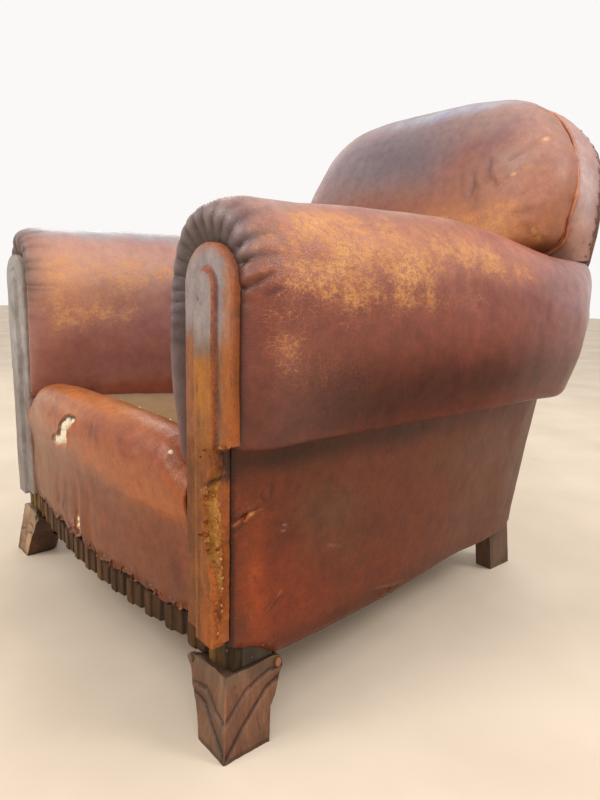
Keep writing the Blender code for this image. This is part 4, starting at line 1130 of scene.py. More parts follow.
        # the band beside it, and its orange outer part
        col = mixc(col, lin(170, 108, 62), 0.74 * right * smooth(0.3580, 0.3660, X + 0.006 * fleck) * smooth(0.575, 0.535, Z + 0.010 * blot) * front)
        col = mixc(col, lin(176, 106, 54), 0.85 * right * smooth(0.3555, 0.3640, X + 0.005 * fleck) * smooth(0.490, 0.455, Z + 0.010 * blot) * front)
        col = mixc(col, lin(128, 92, 78), 0.60 * right * smooth(0.3600, 0.3560, X) * smooth(0.47, 0.44, Z))
        col = mixc(col, lin(162, 104, 74), 0.85 * left * smooth(0.500, 0.470, Z))
        # painted highlight: a pale line along the left edge of the raised strip
        col = mixc(col, lin(196, 158, 128), 0.55 * np.exp(-((X - 0.3152) / 0.0008) ** 2) * (Z < 0.545) * smooth(0.30, 0.36, Z))
        # below the step: brown, ochre again towards the foot
        below = smooth(0.372, 0.360, Z)
        col = mixc(col, lin(146, 86, 44), 0.80 * below)
        col = mixc(col, lin(118, 72, 48), 0.70 * below * smooth(0.00, 0.35, blot))
        col = mixc(col, lin(120, 76, 46), 0.60 * below * smooth(0.3300, 0.3180, X))
        # painted shade: a dark line along the strip's left wall, and a dark groove line lower down
        col = mixc(col, lin(84, 52, 34), 0.85 * smooth(0.50, 0.46, Z) * np.exp(-((X - 0.3142) / 0.0010) ** 2))
        col = mixc(col, lin(92, 58, 36), 0.75 * below * np.exp(-((X - 0.3245) / 0.0010) ** 2) * smooth(0.31, 0.24, Z + 0.02 * blot))
        col = mixc(col, lin(186, 124, 62), 0.55 * smooth(0.47, 0.42, Z) * np.exp(-((X - 0.3180) / 0.0013) ** 2))
        col = mixc(col, lin(168, 92, 38), 0.65 * smooth(0.24, 0.17, Z) * smooth(0.325, 0.335, X))
    else:
        col = np.broadcast_to(lin(150, 138, 132), P.shape).copy()
        col = mixc(col, lin(112, 92, 84), 0.6 * smooth(0.45, 0.25, Z))
        col = mixc(col, lin(92, 72, 64), 0.45 * smooth(0.0, 0.5, blot))
    col = mixc(col, lin(164, 88, 42) if near else lin(150, 112, 96), 0.90 * arch_or_out)
    col = mixc(col, lin(108, 66, 60), 0.60 * arch_or_out * smooth(0.05, 0.45, fbm(p3 * np.array([1, 1, 0.5]), 90.0, 4, 91)))
    if near:
        # rubbed orange over the top of the arch
        crown = smooth(0.0330, 0.0420, rr + 0.003 * fleck) * smooth(0.5560, 0.5700, Z) * smooth(0.290, 0.315, X)
        col = mixc(col, lin(170, 104, 66), 0.45 * crown)
    warmth = np.where(R[:, 2:3] > -0.3, 1.0, 0.35)
    col = mixc(col, lin(132, 78, 62) if near else lin(130, 108, 102), 0.90 * chamfer * warmth * smooth(0.30, 0.35, Z))
    if near:
        mott = fbm(p3 * np.array([1, 1, 0.6]), 210.0, 3, 98)
        col = mixc(col, lin(184, 108, 50), 0.80 * chamfer * warmth * smooth(0.0190, 0.0165, rr) * smooth(-0.10, 0.25, mott) * (Z > 0.30))
        col = mixc(col, lin(92, 62, 62), 0.70 * chamfer * warmth * smooth(0.0178, 0.0196, rr) * smooth(-0.30, 0.10, mott) * (Z > 0.36))
        col = mixc(col, lin(126, 80, 62), 0.50 * arch_or_out * smooth(0.02, 0.30, mott))
        lower = chamfer * (R[:, 2:3] > 0.5)
        col = mixc(col, lin(184, 108, 46), 0.80 * lower * smooth(0.0190, 0.0165, rr) * smooth(0.455, 0.43, Z))
        # painted shade: the lower chamfer darker purple-brown below its bright ochre
        col = mixc(col, lin(96, 58, 52), 0.80 * lower * smooth(0.0180, 0.0205, rr) * smooth(0.50, 0.47, Z) * smooth(0.355, 0.365, Z))
    # painted shadow: a dark line along the outer side of the raised strip
    col = mixc(col, lin(100, 64, 58), 0.65 * np.exp(-((rr - 0.0214) / 0.0012) ** 2) * warmth)
    if near:
        capz = np.exp(-(((X - 0.3345) / 0.010) ** 2 + ((Z - 0.5570) / 0.005) ** 2))
        col = mixc(col, lin(190, 96, 56), 0.9 * capz * smooth(0.0150, 0.0165, rr) * smooth(0.0230, 0.0212, rr))
        bare = tear * smooth(0.3572, 0.3556, X) * smooth(0.190, 0.215, Z + 0.006 * fleck)
        col = mixc(col, lin(196, 142, 72), 0.92 * bare)
        col = mixc(col, lin(222, 178, 104), 0.55 * bare * smooth(-0.1, 0.5, fbm(p3, 200.0, 3, 95)))
        col = mixc(col, lin(150, 92, 44), 0.50 * bare * smooth(0.1, 0.5, fbm(p3, 120.0, 3, 96)))
        col = mixc(col, lin(158, 84, 34), 0.85 * (tear - bare).clip(0, 1))
        col = mixc(col, lin(190, 108, 48), 0.85 * lip * (1 - tear))
        down = smooth(0.505, 0.455, Z)
        down = down[..., None]
        col = col * (np.array([0.84, 0.82, 0.85]) * (1 - down) + np.array([0.68, 0.61, 0.46]) * down)
        rest = smooth(0.349, 0.353, X) * smooth(0.345, 0.335, Z)
        col = mixc(col, lin(140, 72, 32), 0.75 * rest * (1 - tear))
        # painted shade in the crack and in the recess under the step
        col = mixc(col, lin(34, 22, 18), 0.92 * crack)
        col = mixc(col, lin(44, 26, 22), 0.9 * smooth(0.3450, 0.3520, X) * smooth(0.3665, 0.360, Z) * smooth(0.318, 0.335, Z))
        col = mixc(col, lin(40, 30, 26), 0.9 * np.exp(-(((X - 0.3235) ** 2 + (Z - 0.5215) ** 2) / 0.0016 ** 2)))
        col = mixc(col, lin(206, 150, 120), 0.8 * np.exp(-(((X - 0.3240) ** 2 + (Z - 0.5160) ** 2) / 0.0014 ** 2)))
    wear = 0.06 + 0.45 * arch_or_out + 0.40 * smooth(0.500, 0.450, Z + 0.012 * blot) + 0.25 * chamfer
    if near:
        wear = wear - 0.20 * face * smooth(0.45, 0.47, Z)
    else:
        wear = 0.10 + 0.45 * arch_or_out
        col = col * np.array([1.10, 1.22, 1.26])
    wear = np.clip(wear, 0, 1)
    dull = 0.35 * smooth(0.52, 0.40, Z) + 0.6 * tear + 0.3 * lip if near else 0.05 + 0 * Z

    def tail(v):
        v = v.reshape((-1,) + v.shape[2:])
        return np.concatenate([v, v[outline]])

    hand = "left" if near else "right"
    make("facing_" + hand, V, faces, FACING,
         {"col": tail(col), "wear": tail(wear), "dull": tail(np.asarray(dull))}, side,
         ("facing_board_" + hand, "facing_strip_" + hand))


for side in (1, -1):
    facing(side)


def flake(centre, across, up, normal, width, height, curl, seed, thick=0.0009):
    """A torn scrap of covering, curled away from the surface."""
    a, b, n = (np.asarray(v, float) / np.linalg.norm(v) for v in (across, up, normal))
    c = np.asarray(centre, float)
    ni, nj = 9, 7
    out, inn = [], []
    for i in range(ni):
        s = i / (ni - 1)
        for j in range(nj):
            t = j / (nj - 1) * 2 - 1
            rag = 1 + 0.35 * float(noise(np.array([s * 2.3, t * 1.7, seed * 1.37]), 1.0, seed))
            torn = (0.50 + 1.0 * abs(float(noise(np.array([t * 2.3, seed * 3.7, 0.2]), 1.0, seed + 9)))) * (1 - 0.55 * t ** 4)
            x = s * width * rag * torn
            z = t * height * 0.5 * (1 - 0.45 * s ** 2) * (1 + 0.3 * float(noise(np.array([s * 3.0, seed * 2.1, 0.4]), 1.0, seed + 3)))
            lift = curl * width * (s ** 1.6) + 0.12 * width * float(noise(np.array([s * 2.0, t * 2.0, seed * 0.7]), 1.0, seed + 5))
            p = c + a * x * math.cos(0.9 * curl * s) + b * z + n * (lift + 0.0003)
            out.append(p)
            inn.append(p - n * thick)
    P = np.array(out).reshape(ni, nj, 3)
    B = np.array(inn).reshape(ni, nj, 3)
    V, faces = plate_mesh(P, B, 1)
    return V, faces


parts = []
# x, height, width, height of scrap, curl, direction (1 peels towards the outside)
FLAKES = [(0.3405, 0.3165, 0.0075, 0.0095, 0.9, -1), (0.3400, 0.3070, 0.0035, 0.0050, 1.0, -1), (0.3410, 0.2950, 0.0024, 0.0040, 0.9, -1),
          (0.3398, 0.2800, 0.0030, 0.0055, 1.1, -1), (0.3410, 0.2665, 0.0090, 0.0075, 1.0, -1), (0.3440, 0.2610, 0.0055, 0.0060, 0.9, -1),
          (0.3440, 0.2490, 0.0026, 0.0040, 1.1, -1), (0.3475, 0.2340, 0.0032, 0.0050, 1.0, -1), (0.3495, 0.2200, 0.0022, 0.0040, 0.9, -1),
          (0.3515, 0.2080, 0.0030, 0.0045, 1.0, -1), (0.3578, 0.3050, 0.0024, 0.0050, 1.0, 1), (0.3586, 0.2760, 0.0030, 0.0060, 1.1, 1),
          (0.3590, 0.2560, 0.0062, 0.0090, 1.1, 1), (0.3592, 0.2470, 0.0030, 0.0050, 1.0, 1), (0.3592, 0.2360, 0.0050, 0.0080, 1.0, 1),
          (0.3590, 0.2240, 0.0026, 0.0045, 1.2, 1), (0.3585, 0.2080, 0.0022, 0.0040, 1.1, 1), (0.3535, 0.1880, 0.0036, 0.0045, 1.2, 1),
          (0.3540, 0.1790, 0.0040, 0.0040, 1.2, -1), (0.3545, 0.1680, 0.0026, 0.0035, 1.0, 1), (0.3550, 0.1520, 0.0028, 0.0035, 1.0, 1),
          (0.3500, 0.3270, 0.0034, 0.0045, 1.0, 1), (0.3430, 0.3625, 0.0050, 0.0055, 1.1, -1), (0.3500, 0.3640, 0.0040, 0.0045, 1.1, 1),
          (0.3560, 0.3665, 0.0046, 0.0050, 1.2, -1), (0.3620, 0.3685, 0.0040, 0.0045, 1.2, 1), (0.3680, 0.3700, 0.0032, 0.0040, 1.0, 1),
          (0.3290, 0.3520, 0.0026, 0.0030, 1.2, 1), (0.3240, 0.3440, 0.0022, 0.0030, 1.2, -1), (0.3470, 0.1960, 0.0028, 0.0045, 1.0, -1)]
for k, (x, z, w, hgt, curl, way) in enumerate(FLAKES):
    surf = -0.0058 if x < 0.3475 else -0.0010
    tilt = 0.5 * math.sin(3.1 * k)
    V, F = flake((x, surf, z), (way, -0.10, 0.5 * tilt), (0.5 * math.sin(2.2 * k), 0, 1), (0, -1, 0.05), w, hgt, curl, 40 + k, 0.0012)
    tone = lin(162, 92, 42) if k % 3 else lin(132, 70, 32)
    if k % 5 == 0:
        tone = lin(184, 124, 66)
    shade = 0.85 + 0.25 * fbm(V, 300.0, 2, 700 + k)
    parts.append((V, F, {"col": np.asarray(tone)[None, :] * shade[:, None], "wear": np.full(len(V), 0.25), "dull": np.full(len(V), 0.6)}))
# crumbs of the core
for k in range(54):
    r1, r2, r3 = (float(lattice(np.array(k), np.array(j), np.array(7), 913)) for j in range(3))
    z = 0.180 + 0.140 * r1
    x = np.interp(z, (0.185, 0.225, 0.27, 0.32), (0.3565, 0.3555, 0.3490, 0.3465)) + (r2 - 0.5) * 0.012
    V, F = dome((x, 0.0014 - 0.0005 * r3, z), (0.4 * (r2 - 0.5), -1, 0.5 * (r3 - 0.5)), 0.0006 + 0.0014 * r3 * r3, 0.0006 + 0.0006 * r1, 7, 2, 0.7, k)
    parts.append((V, F, {"col": np.tile(lin(178, 128, 68) * (0.7 + 0.5 * r2), (len(V), 1)), "wear": np.full(len(V), 0.1), "dull": np.full(len(V), 0.7)}))
merged("facing_scraps_left", parts, FACING)


# ---------------------------------------------------------------- outside arm panels
LOW = np.array([(0.3615, 0.0130), (0.3605, 0.080), (0.3555, 0.180), (0.3455, 0.300), (0.3300, 0.420),
                (0.3130, 0.530), (0.3060, 0.600), (0.2990, 0.645), (0.2905, 0.690), (0.2812, 0.7140)])
HIGH = np.array([(0.3615, 0.0130), (0.3610, 0.100), (0.3600, 0.300), (0.3560, 0.450), (0.3510, 0.560),
                 (0.3470, 0.610), (0.3400, 0.660), (0.3290, 0.700), (0.3130, 0.740), (0.2860, 0.7680)])


def outside_arm(side):
    near = side > 0
    nc, nr = 289, 113
    par = along(np.concatenate([LOW, HIGH], 1), nc)
    # even steps along the panel: par holds low and high points together
    lo, hi = par[:, :2], par[:, 2:]
    d = 0.5 * (lo[:, 1] + hi[:, 1])
    z0 = np.interp(lo[:, 1], (0.013, 0.024, 0.035, 0.045, 0.055, 0.078, 0.090, 0.72), (0.1300, 0.1260, 0.1230, 0.1200, 0.1150, 0.0995, 0.0980, 0.0980)) - 0.0090 * smooth(0.45, 0.62, lo[:, 1])
    seed = 21 if near else 721
    z0 = z0 + smooth(0.11, 0.05, lo[:, 1]) * 0.0022 * line3(lo[:, 1], 300.0, seed) + 0.0012 * line3(lo[:, 1], 60.0, seed + 1)
    z1 = np.array([arm_under(float(v) + 0.004) for v in hi[:, 1]]) + 0.004
    t = np.linspace(0, 1, nr)[:, None]
    XD = lo[None] * (1 - t[..., None]) + hi[None] * t[..., None]
    Z = z0[None] + (z1 - z0)[None] * t
    P = np.stack([XD[..., 0], XD[..., 1], Z], -1)
    N = normals(P)
    if N[nr // 2, 40, 0] < 0:
        N = -N
    rag = np.array([side * 5.3, 0, 0])
    edgefade = smooth(0.0, 0.03, P[..., 1] - 0.013) * (0.3 + 0.7 * smooth(0.0, 0.12, 1 - t))
    disp = 0.0022 * fbm(P * np.array([1, 0.7, 1]) + rag, 10.0, 3, seed + 2) * edgefade + 0.0005 * fbm(P + rag, 45.0, 3, seed + 3)
    # the lower edge turns under over the seat rail; the front edge rolls in behind the facing
    disp = disp - 0.0030 * smooth(0.008, 0.0, P[..., 2] - z0[None]) - 0.0035 * smooth(0.0165, 0.0130, P[..., 1])
    P = P + N * disp[..., None]
    fold = np.zeros(P.shape[:2]); pale = np.zeros(P.shape[:2])
    if near:
        marks = (
            (((0.3615, 0.0140, 0.2800), (0.361, 0.026, 0.2860), (0.361, 0.040, 0.2895), (0.361, 0.0530, 0.2925)), 0.0030, 0.0020, 0.0030, 0.004, 0.004, 0.4),
            (((0.361, 0.0530, 0.2920), (0.361, 0.056, 0.2980), (0.361, 0.0500, 0.3050), (0.361, 0.0560, 0.3120)), 0.0022, 0.0016, 0.0010, 0.003, 0.003, 0.5),
            (((0.361, 0.0300, 0.2790), (0.361, 0.0240, 0.2740), (0.361, 0.0180, 0.2700)), 0.0022, 0.0018, 0.0012, 0.003, 0.003, 0.5),
            (((0.361, 0.0560, 0.2950), (0.361, 0.0650, 0.3010), (0.361, 0.0680, 0.3200)), 0.0010, 0.0018, 0.0, 0.003, 0.003, 0.6),
            (((0.361, 0.0600, 0.1560), (0.361, 0.0720, 0.1650), (0.361, 0.0850, 0.1760)), 0.0018, 0.0025, 0.0016, 0.005, 0.004, 0.6),
            (((0.361, 0.0430, 0.2110), (0.361, 0.0470, 0.2030)), 0.0012, 0.0018, 0.0, 0.003, 0.003, 0.6),
            (((0.340, 0.4290, 0.1780), (0.325, 0.5200, 0.1500), (0.302, 0.6510, 0.1250)), 0.0016, 0.008, 0.0012, 0.012, 0.010, 0.8),
            (((0.352, 0.260, 0.120), (0.350, 0.300, 0.1115), (0.346, 0.335, 0.108)), 0.0016, 0.0030, 0.0020, 0.004, 0.004, 0.8),
            (((0.355, 0.420, 0.300), (0.345, 0.500, 0.250), (0.325, 0.580, 0.190)), 0.0012, 0.016, 0.0, 0.02, 0.02, 0.9),
            (((0.350, 0.560, 0.340), (0.330, 0.620, 0.260), (0.305, 0.690, 0.180)), 0.0020, 0.020, 0.0, 0.02, 0.02, 0.9),
        )
    else:
        marks = (
            (((0.361, 0.050, 0.230), (0.361, 0.080, 0.240), (0.360, 0.110, 0.236)), 0.0018, 0.0022, 0.0016, 0.004, 0.004, 0.5),
            (((0.340, 0.4290, 0.1780), (0.325, 0.5200, 0.1500), (0.302, 0.6510, 0.1250)), 0.0014, 0.008, 0.0010, 0.012, 0.010, 0.8),
            (((0.350, 0.560, 0.340), (0.330, 0.620, 0.260), (0.305, 0.690, 0.180)), 0.0020, 0.020, 0.0, 0.02, 0.02, 0.9),
        )
    for k, (pts, dep, wid, roll, off, rw, ends) in enumerate(marks):
        P, w = crease(P, N, pts, dep, wid, roll, off, rw, ends)
        if k < 7:
            fold = np.maximum(fold, w * (1 if k < 6 else 0.2))
    # painted shadow: the dark strip along the top of the panel, under the roll
    col = paint(P, lin(98, 44, 24), (
        ((0.36, 0.10, 0.15), (0.05, 0.12, 0.07), lin(120, 50, 26), 0.9),
        ((0.36, 0.046, 0.200), (0.03, 0.018, 0.085), lin(150, 66, 28), 0.85, 0.25),
        ((0.36, 0.110, 0.200), (0.03, 0.040, 0.040), lin(128, 52, 24), 0.75),
        ((0.36, 0.028, 0.230), (0.03, 0.010, 0.060), lin(124, 60, 34), 0.6),
        ((0.36, 0.060, 0.330), (0.05, 0.06, 0.03), lin(104, 50, 30), 0.7),
        ((0.36, 0.100, 0.345), (0.05, 0.40, 0.022), lin(58, 28, 20), 0.9),
        ((0.36, 0.165, 0.260), (0.05, 0.070, 0.055), lin(92, 60, 44), 0.80, 0.5),
        ((0.36, 0.205, 0.200), (0.05, 0.060, 0.050), lin(92, 54, 36), 0.55, 0.5),
        ((0.35, 0.330, 0.240), (0.05, 0.11, 0.07), lin(98, 44, 24), 0.8),
        ((0.35, 0.300, 0.150), (0.05, 0.16, 0.045), lin(104, 44, 22), 0.8),
        ((0.34, 0.440, 0.300), (0.06, 0.12, 0.04), lin(92, 54, 38), 0.7),
        ((0.33, 0.560, 0.260), (0.06, 0.09, 0.10), lin(96, 54, 36), 0.8),
        ((0.30, 0.680, 0.240), (0.06, 0.06, 0.14), lin(84, 58, 46), 0.75),
        ((0.36, 0.250, 0.110), (0.05, 0.35, 0.016), lin(68, 34, 22), 0.7),
        ((0.36, 0.022, 0.150), (0.03, 0.020, 0.030), lin(84, 44, 32), 0.7),
    ) if near else (
        ((0.36, 0.10, 0.17), (0.05, 0.14, 0.09), lin(118, 50, 28), 0.8),
        ((0.36, 0.20, 0.25), (0.05, 0.09, 0.06), lin(92, 62, 46), 0.6, 0.5),
        ((0.36, 0.30, 0.345), (0.05, 0.40, 0.022), lin(58, 28, 20), 0.9),
        ((0.33, 0.54, 0.24), (0.06, 0.12, 0.12), lin(98, 56, 38), 0.8),
        ((0.36, 0.250, 0.110), (0.05, 0.35, 0.016), lin(68, 34, 22), 0.7),
    ), seed + 9)
    col = col * np.array([0.88, 0.74, 0.52])
    # painted shade where the panel rolls in behind the facing, and in the creases
    col = mixc(col, lin(40, 22, 20), 0.9 * smooth(0.0185, 0.0140, P[..., 1]))
    col = mixc(col, lin(34, 20, 18), 0.75 * fold)
    if near:
        # orange-edged scratch lines; the three pale grey marks are painted glints
        for pts, wd, c, a in (
                (((0.3615, 0.0150, 0.2775), (0.361, 0.028, 0.2835), (0.361, 0.0530, 0.2895)), 0.0014, lin(172, 98, 50), 0.8),
                (((0.361, 0.034, 0.2850), (0.361, 0.040, 0.2865)), 0.0022, lin(206, 140, 84), 0.8),
                (((0.361, 0.0850, 0.2620), (0.361, 0.0900, 0.2600)), 0.0010, lin(190, 172, 158), 0.45),
                (((0.361, 0.0830, 0.2560), (0.361, 0.0870, 0.2540)), 0.0009, lin(180, 158, 144), 0.40),
                (((0.359, 0.160, 0.2170), (0.359, 0.185, 0.2080)), 0.0009, lin(160, 130, 112), 0.30),
                (((0.352, 0.262, 0.1235), (0.350, 0.300, 0.1150), (0.346, 0.330, 0.1100)), 0.0018, lin(140, 92, 66), 0.45),
                (((0.361, 0.0620, 0.1590), (0.361, 0.0840, 0.1790)), 0.0014, lin(164, 98, 70), 0.6)):
            dd, _, _ = to_line(P, pts)
            col = mixc(col, c, a * np.exp(-(dd / wd) ** 2))
            pale = np.maximum(pale, np.exp(-(dd / wd) ** 2))
    wear = np.full(P.shape[:2], 0.06)
    for c, r, a in (((0.36, 0.046, 0.200), (0.03, 0.030, 0.090), 0.30), ((0.36, 0.13, 0.14), (0.05, 0.10, 0.05), 0.16),
                    ((0.36, 0.165, 0.255), (0.05, 0.080, 0.060), 0.12), ((0.33, 0.55, 0.28), (0.05, 0.10, 0.08), 0.12),
                    ((0.35, 0.35, 0.20), (0.05, 0.15, 0.07), 0.12), ((0.36, 0.02, 0.30), (0.03, 0.02, 0.05), 0.2)):
        wear = wear + a * blob(P, c, r, 0.5, seed + 30)
    scuff = blob(P, (0.36, 0.165, 0.255), (0.05, 0.080, 0.065), 0.4, seed + 31)
    dull = -0.35 * scuff + 0.12
    hand = "left" if near else "right"
    ob = plate("outside_arm_hide_" + hand, P, 0.0040, 8, HIDE_SIDE, {"col": col, "wear": np.clip(wear, 0, 1), "dull": dull}, side,
               ("outside_arm_" + hand,), N)


for side in (1, -1):
    outside_arm(side)

# hide curled out along the torn lower front corner of the near panel
parts = []
for k, (d, z, w, hgt, curl) in enumerate(((0.058, 0.1200, 0.003, 0.006, 0.3), (0.276, 0.1090, 0.006, 0.008, 0.4), (0.300, 0.1065, 0.005, 0.008, 0.4))):
    x = float(np.interp(d, LOW[:, 1], LOW[:, 0])) + 0.0004
    V, F = flake((x, d, z), (0.1, 0.25 * math.sin(2 * k), -1), (0, 1, 0), (1, 0, 0), w, hgt, curl, 90 + k)
    c = lin(96, 48, 28) if d < 0.1 else lin(96, 62, 46)
    parts.append((V, F, {"col": np.tile(c, (len(V), 1)), "wear": np.full(len(V), 0.3), "dull": np.full(len(V), 0.5)}))
# the raised flap of the scratch beside the facing
V, F = flake((0.3620, 0.034, 0.2855), (0.15, -1, -0.25), (0, 0.2, 1), (1, 0, 0), 0.012, 0.010, 0.35, 131)
parts.append((V, F, {"col": np.tile(lin(146, 80, 44), (len(V), 1)), "wear": np.full(len(V), 0.3), "dull": np.full(len(V), 0.5)}))
merged("panel_scraps_left", parts, HIDE_SIDE)


# ---------------------------------------------------------------- seat front: nosing and apron in one hide
def nose_top(x):
    return np.interp(np.abs(x), (0.0, 0.12, 0.20, 0.225, 0.240, 0.252, 0.262, 0.2835),
                     (0.3660, 0.3640, 0.3570, 0.3520, 0.3440, 0.3340, 0.3240, 0.3180))


def seat_front():
    nc, nr = 281, 169
    xs = np.linspace(-0.2838, 0.2838, nc)
    cols = []
    for x in xs:
        f = 0.0005 - bow(x)
        t = float(nose_top(x))
        h = t - 0.2455
        rag = 0.0035 * float(line3(x, 95.0, 5)) + 0.0022 * float(line3(x, 330.0, 6))
        zb = 0.1385 + rag
        # torn away and hanging places along the lower edge
        for c, w, a in ((-0.013, 0.011, 0.014), (-0.100, 0.010, 0.006), (0.062, 0.014, -0.003), (0.150, 0.012, 0.005),
                        (0.225, 0.014, -0.003), (0.262, 0.010, 0.004), (-0.200, 0.02, 0.004), (-0.055, 0.010, 0.005)):
            zb += a * math.exp(-((x - c) / w) ** 2)
        lip = 0.0030 * float(line3(x, 60.0, 8))
        pts = [(f + 0.0108 + 0.6 * lip, zb), (f + 0.0088 + 0.5 * lip, zb + 0.008), (f + 0.0058, 0.158), (f + 0.0040, 0.180), (f + 0.0036, 0.205), (f + 0.0040, 0.232),
               (f + 0.0020, 0.2600), (f - 0.0018, 0.2455 + 0.42 * h), (f - 0.0030, 0.2455 + 0.62 * h), (f + 0.0025, 0.2455 + 0.82 * h),
               (f + 0.0150, 0.2455 + 0.955 * h), (f + 0.0340, t + 0.0005), (f + 0.0560, t - 0.0030), (0.0790, t - 0.20 * h), (0.0980, t - 0.36 * h), (0.1110, t - 0.55 * h)]
        cols.append(along(np.array(pts), nr, weight=lambda q: np.where(q[:, 0] > 0.05, 0.6, 1.0)))
    C = np.array(cols)                       # column, row, (d, z)
    P = np.stack([np.broadcast_to(xs[:, None], C.shape[:2]), C[..., 0], C[..., 1]], -1).transpose(1, 0, 2).copy()
    N = normals(P)
    if N[60, nc // 2, 1] > 0:
        N = -N
    X, D, Z = P[..., 0], P[..., 1], P[..., 2]
    # soft upright creases in the apron, pulls at the tacks, wrinkles in the nosing
    apron = smooth(0.262, 0.215, Z)
    flutes = 0.0011 * fbm(P * np.array([1, 0, 0.20]), 30.0, 3, 60) + 0.0002 * fbm(P * np.array([1, 0, 0.3]), 110.0, 2, 61)
    gather = np.zeros_like(X)
    for c, w, a in ((-0.010, 0.010, -0.0032), (0.012, 0.012, 0.0026), (0.036, 0.010, -0.0016), (-0.055, 0.014, -0.0016), (-0.100, 0.014, -0.0014), (0.070, 0.016, 0.0012)):
        gather += a * np.exp(-((X - c - 0.02 * (Z - 0.16)) / w) ** 2)
    disp = apron * (flutes + gather * smooth(0.30, 0.15, Z)) + 0.0016 * fbm(P, 14.0, 3, 62) + 0.0005 * fbm(P, 50.0, 3, 63) * (1 - apron)
    tacks = [(0.071, 0.1440), (0.132, 0.1450), (0.193, 0.1450), (0.239, 0.1450), (0.276, 0.1455), (-0.060, 0.1460), (-0.135, 0.1470), (-0.205, 0.1480), (-0.255, 0.1470), (0.022, 0.1470)]
    for tx, tz in tacks:
        q = ((X - tx) / 0.006) ** 2 + ((Z - tz) / 0.006) ** 2
        disp = disp - 0.0016 * np.exp(-q)
    hem = smooth(0.158, 0.138, Z)
    disp = disp + hem * (0.0022 * fbm(P * np.array([1, 0, 1]), 120.0, 3, 64) + 0.0008)
    P = P + N * disp[..., None]
    fold = np.zeros_like(X)
    for pts, dep, wid, roll, off, rw, ends in (
            (((0.120, -0.016, 0.340), (0.150, -0.011, 0.331), (0.176, -0.008, 0.332)), 0.0016, 0.0035, 0.0014, 0.006, 0.005, 0.6),
            (((0.135, -0.016, 0.322), (0.165, -0.011, 0.316), (0.200, -0.006, 0.322)), 0.0016, 0.0035, 0.0014, 0.006, 0.005, 0.6),
            (((0.180, -0.006, 0.340), (0.205, -0.002, 0.330), (0.220, 0.000, 0.318)), 0.0012, 0.0035, 0.0010, 0.006, 0.005, 0.6),
            (((0.060, -0.022, 0.345), (0.072, -0.021, 0.330), (0.078, -0.020, 0.312)), 0.0010, 0.0035, 0.0008, 0.006, 0.005, 0.6),
            (((-0.150, -0.010, 0.330), (-0.120, -0.015, 0.322), (-0.090, -0.018, 0.326)), 0.0012, 0.0040, 0.0010, 0.006, 0.005, 0.6),
            (((-0.110, -0.017, 0.176), (-0.100, -0.018, 0.184), (-0.093, -0.018, 0.196)), 0.0030, 0.0024, 0.0, 0.004, 0.003, 0.4),
            (((-0.082, -0.018, 0.170), (-0.076, -0.019, 0.180), (-0.070, -0.019, 0.188)), 0.0030, 0.0024, 0.0, 0.004, 0.003, 0.4),
            (((0.240, 0.002, 0.330), (0.252, 0.008, 0.318), (0.262, 0.012, 0.300)), 0.0030, 0.0060, 0.0, 0.006, 0.006, 0.4)):
        P, w = crease(P, N, pts, dep, wid, roll, off, rw, ends)
        fold = np.maximum(fold, w)
    # the hole: two lobes joined, sunk to the wadding, with a torn lip
    q2 = np.stack([X, Z], -1)
    wob = 0.0040 * fbm(P, 75.0, 3, 66)

    def lobe(cx, cz, rx, rz, ang):
        u = (X - cx) * math.cos(ang) + (Z - cz) * math.sin(ang)
        v = -(X - cx) * math.sin(ang) + (Z - cz) * math.cos(ang)
        return np.sqrt((u / rx) ** 2 + (v / rz) ** 2) - 1

    hole = np.minimum.reduce([lobe(-0.025, 0.3265, 0.027, 0.0105, 0.32), lobe(-0.003, 0.3345, 0.013, 0.0050, 0.30),
                              lobe(-0.039, 0.3125, 0.018, 0.0130, 0.30), lobe(-0.045, 0.2985, 0.022, 0.0130, 0.10),
                              lobe(-0.079, 0.2885, 0.020, 0.0090, 0.20), lobe(-0.095, 0.2825, 0.009, 0.0060, 0.2),
                              lobe(-0.059, 0.2925, 0.014, 0.0080, 0.10)]) * 0.013 + wob * 0.5
    inside = smooth(0.0005, -0.0012, hole)
    rim = np.exp(-((hole - 0.0020) / 0.0018) ** 2)
    tear2 = np.sqrt(((X + 0.013 - 0.10 * (Z - 0.17)) / 0.0068) ** 2 + ((Z - 0.166) / 0.024) ** 2) - 1 + 0.25 * fbm(P, 90.0, 3, 68)
    tin = smooth(0.12, -0.12, tear2)
    P = P + N * (-0.0065 * inside + 0.0010 * rim - 0.0040 * tin)[..., None]
    Z = P[..., 2]
    # colour
    col = paint(P, lin(140, 78, 54), (
        ((0.0, 0.0, 0.15), (0.4, 0.10, 0.04), lin(132, 74, 50), 0.6),
        ((-0.20, 0.0, 0.24), (0.10, 0.05, 0.09), lin(164, 116, 88), 0.8, 0.4),
        ((-0.06, 0.0, 0.21), (0.06, 0.05, 0.07), lin(146, 88, 62), 0.6, 0.4),
        ((0.12, 0.0, 0.18), (0.12, 0.05, 0.06), lin(132, 70, 46), 0.6),
        ((0.24, 0.0, 0.20), (0.05, 0.05, 0.08), lin(116, 58, 36), 0.6),
    ), 70)
    top = smooth(0.262, 0.312, Z + 0.012 * fbm(P, 16.0, 3, 71) + 0.022 * smooth(0.05, 0.25, X))
    col = mixc(col, lin(168, 86, 42), 0.92 * top)
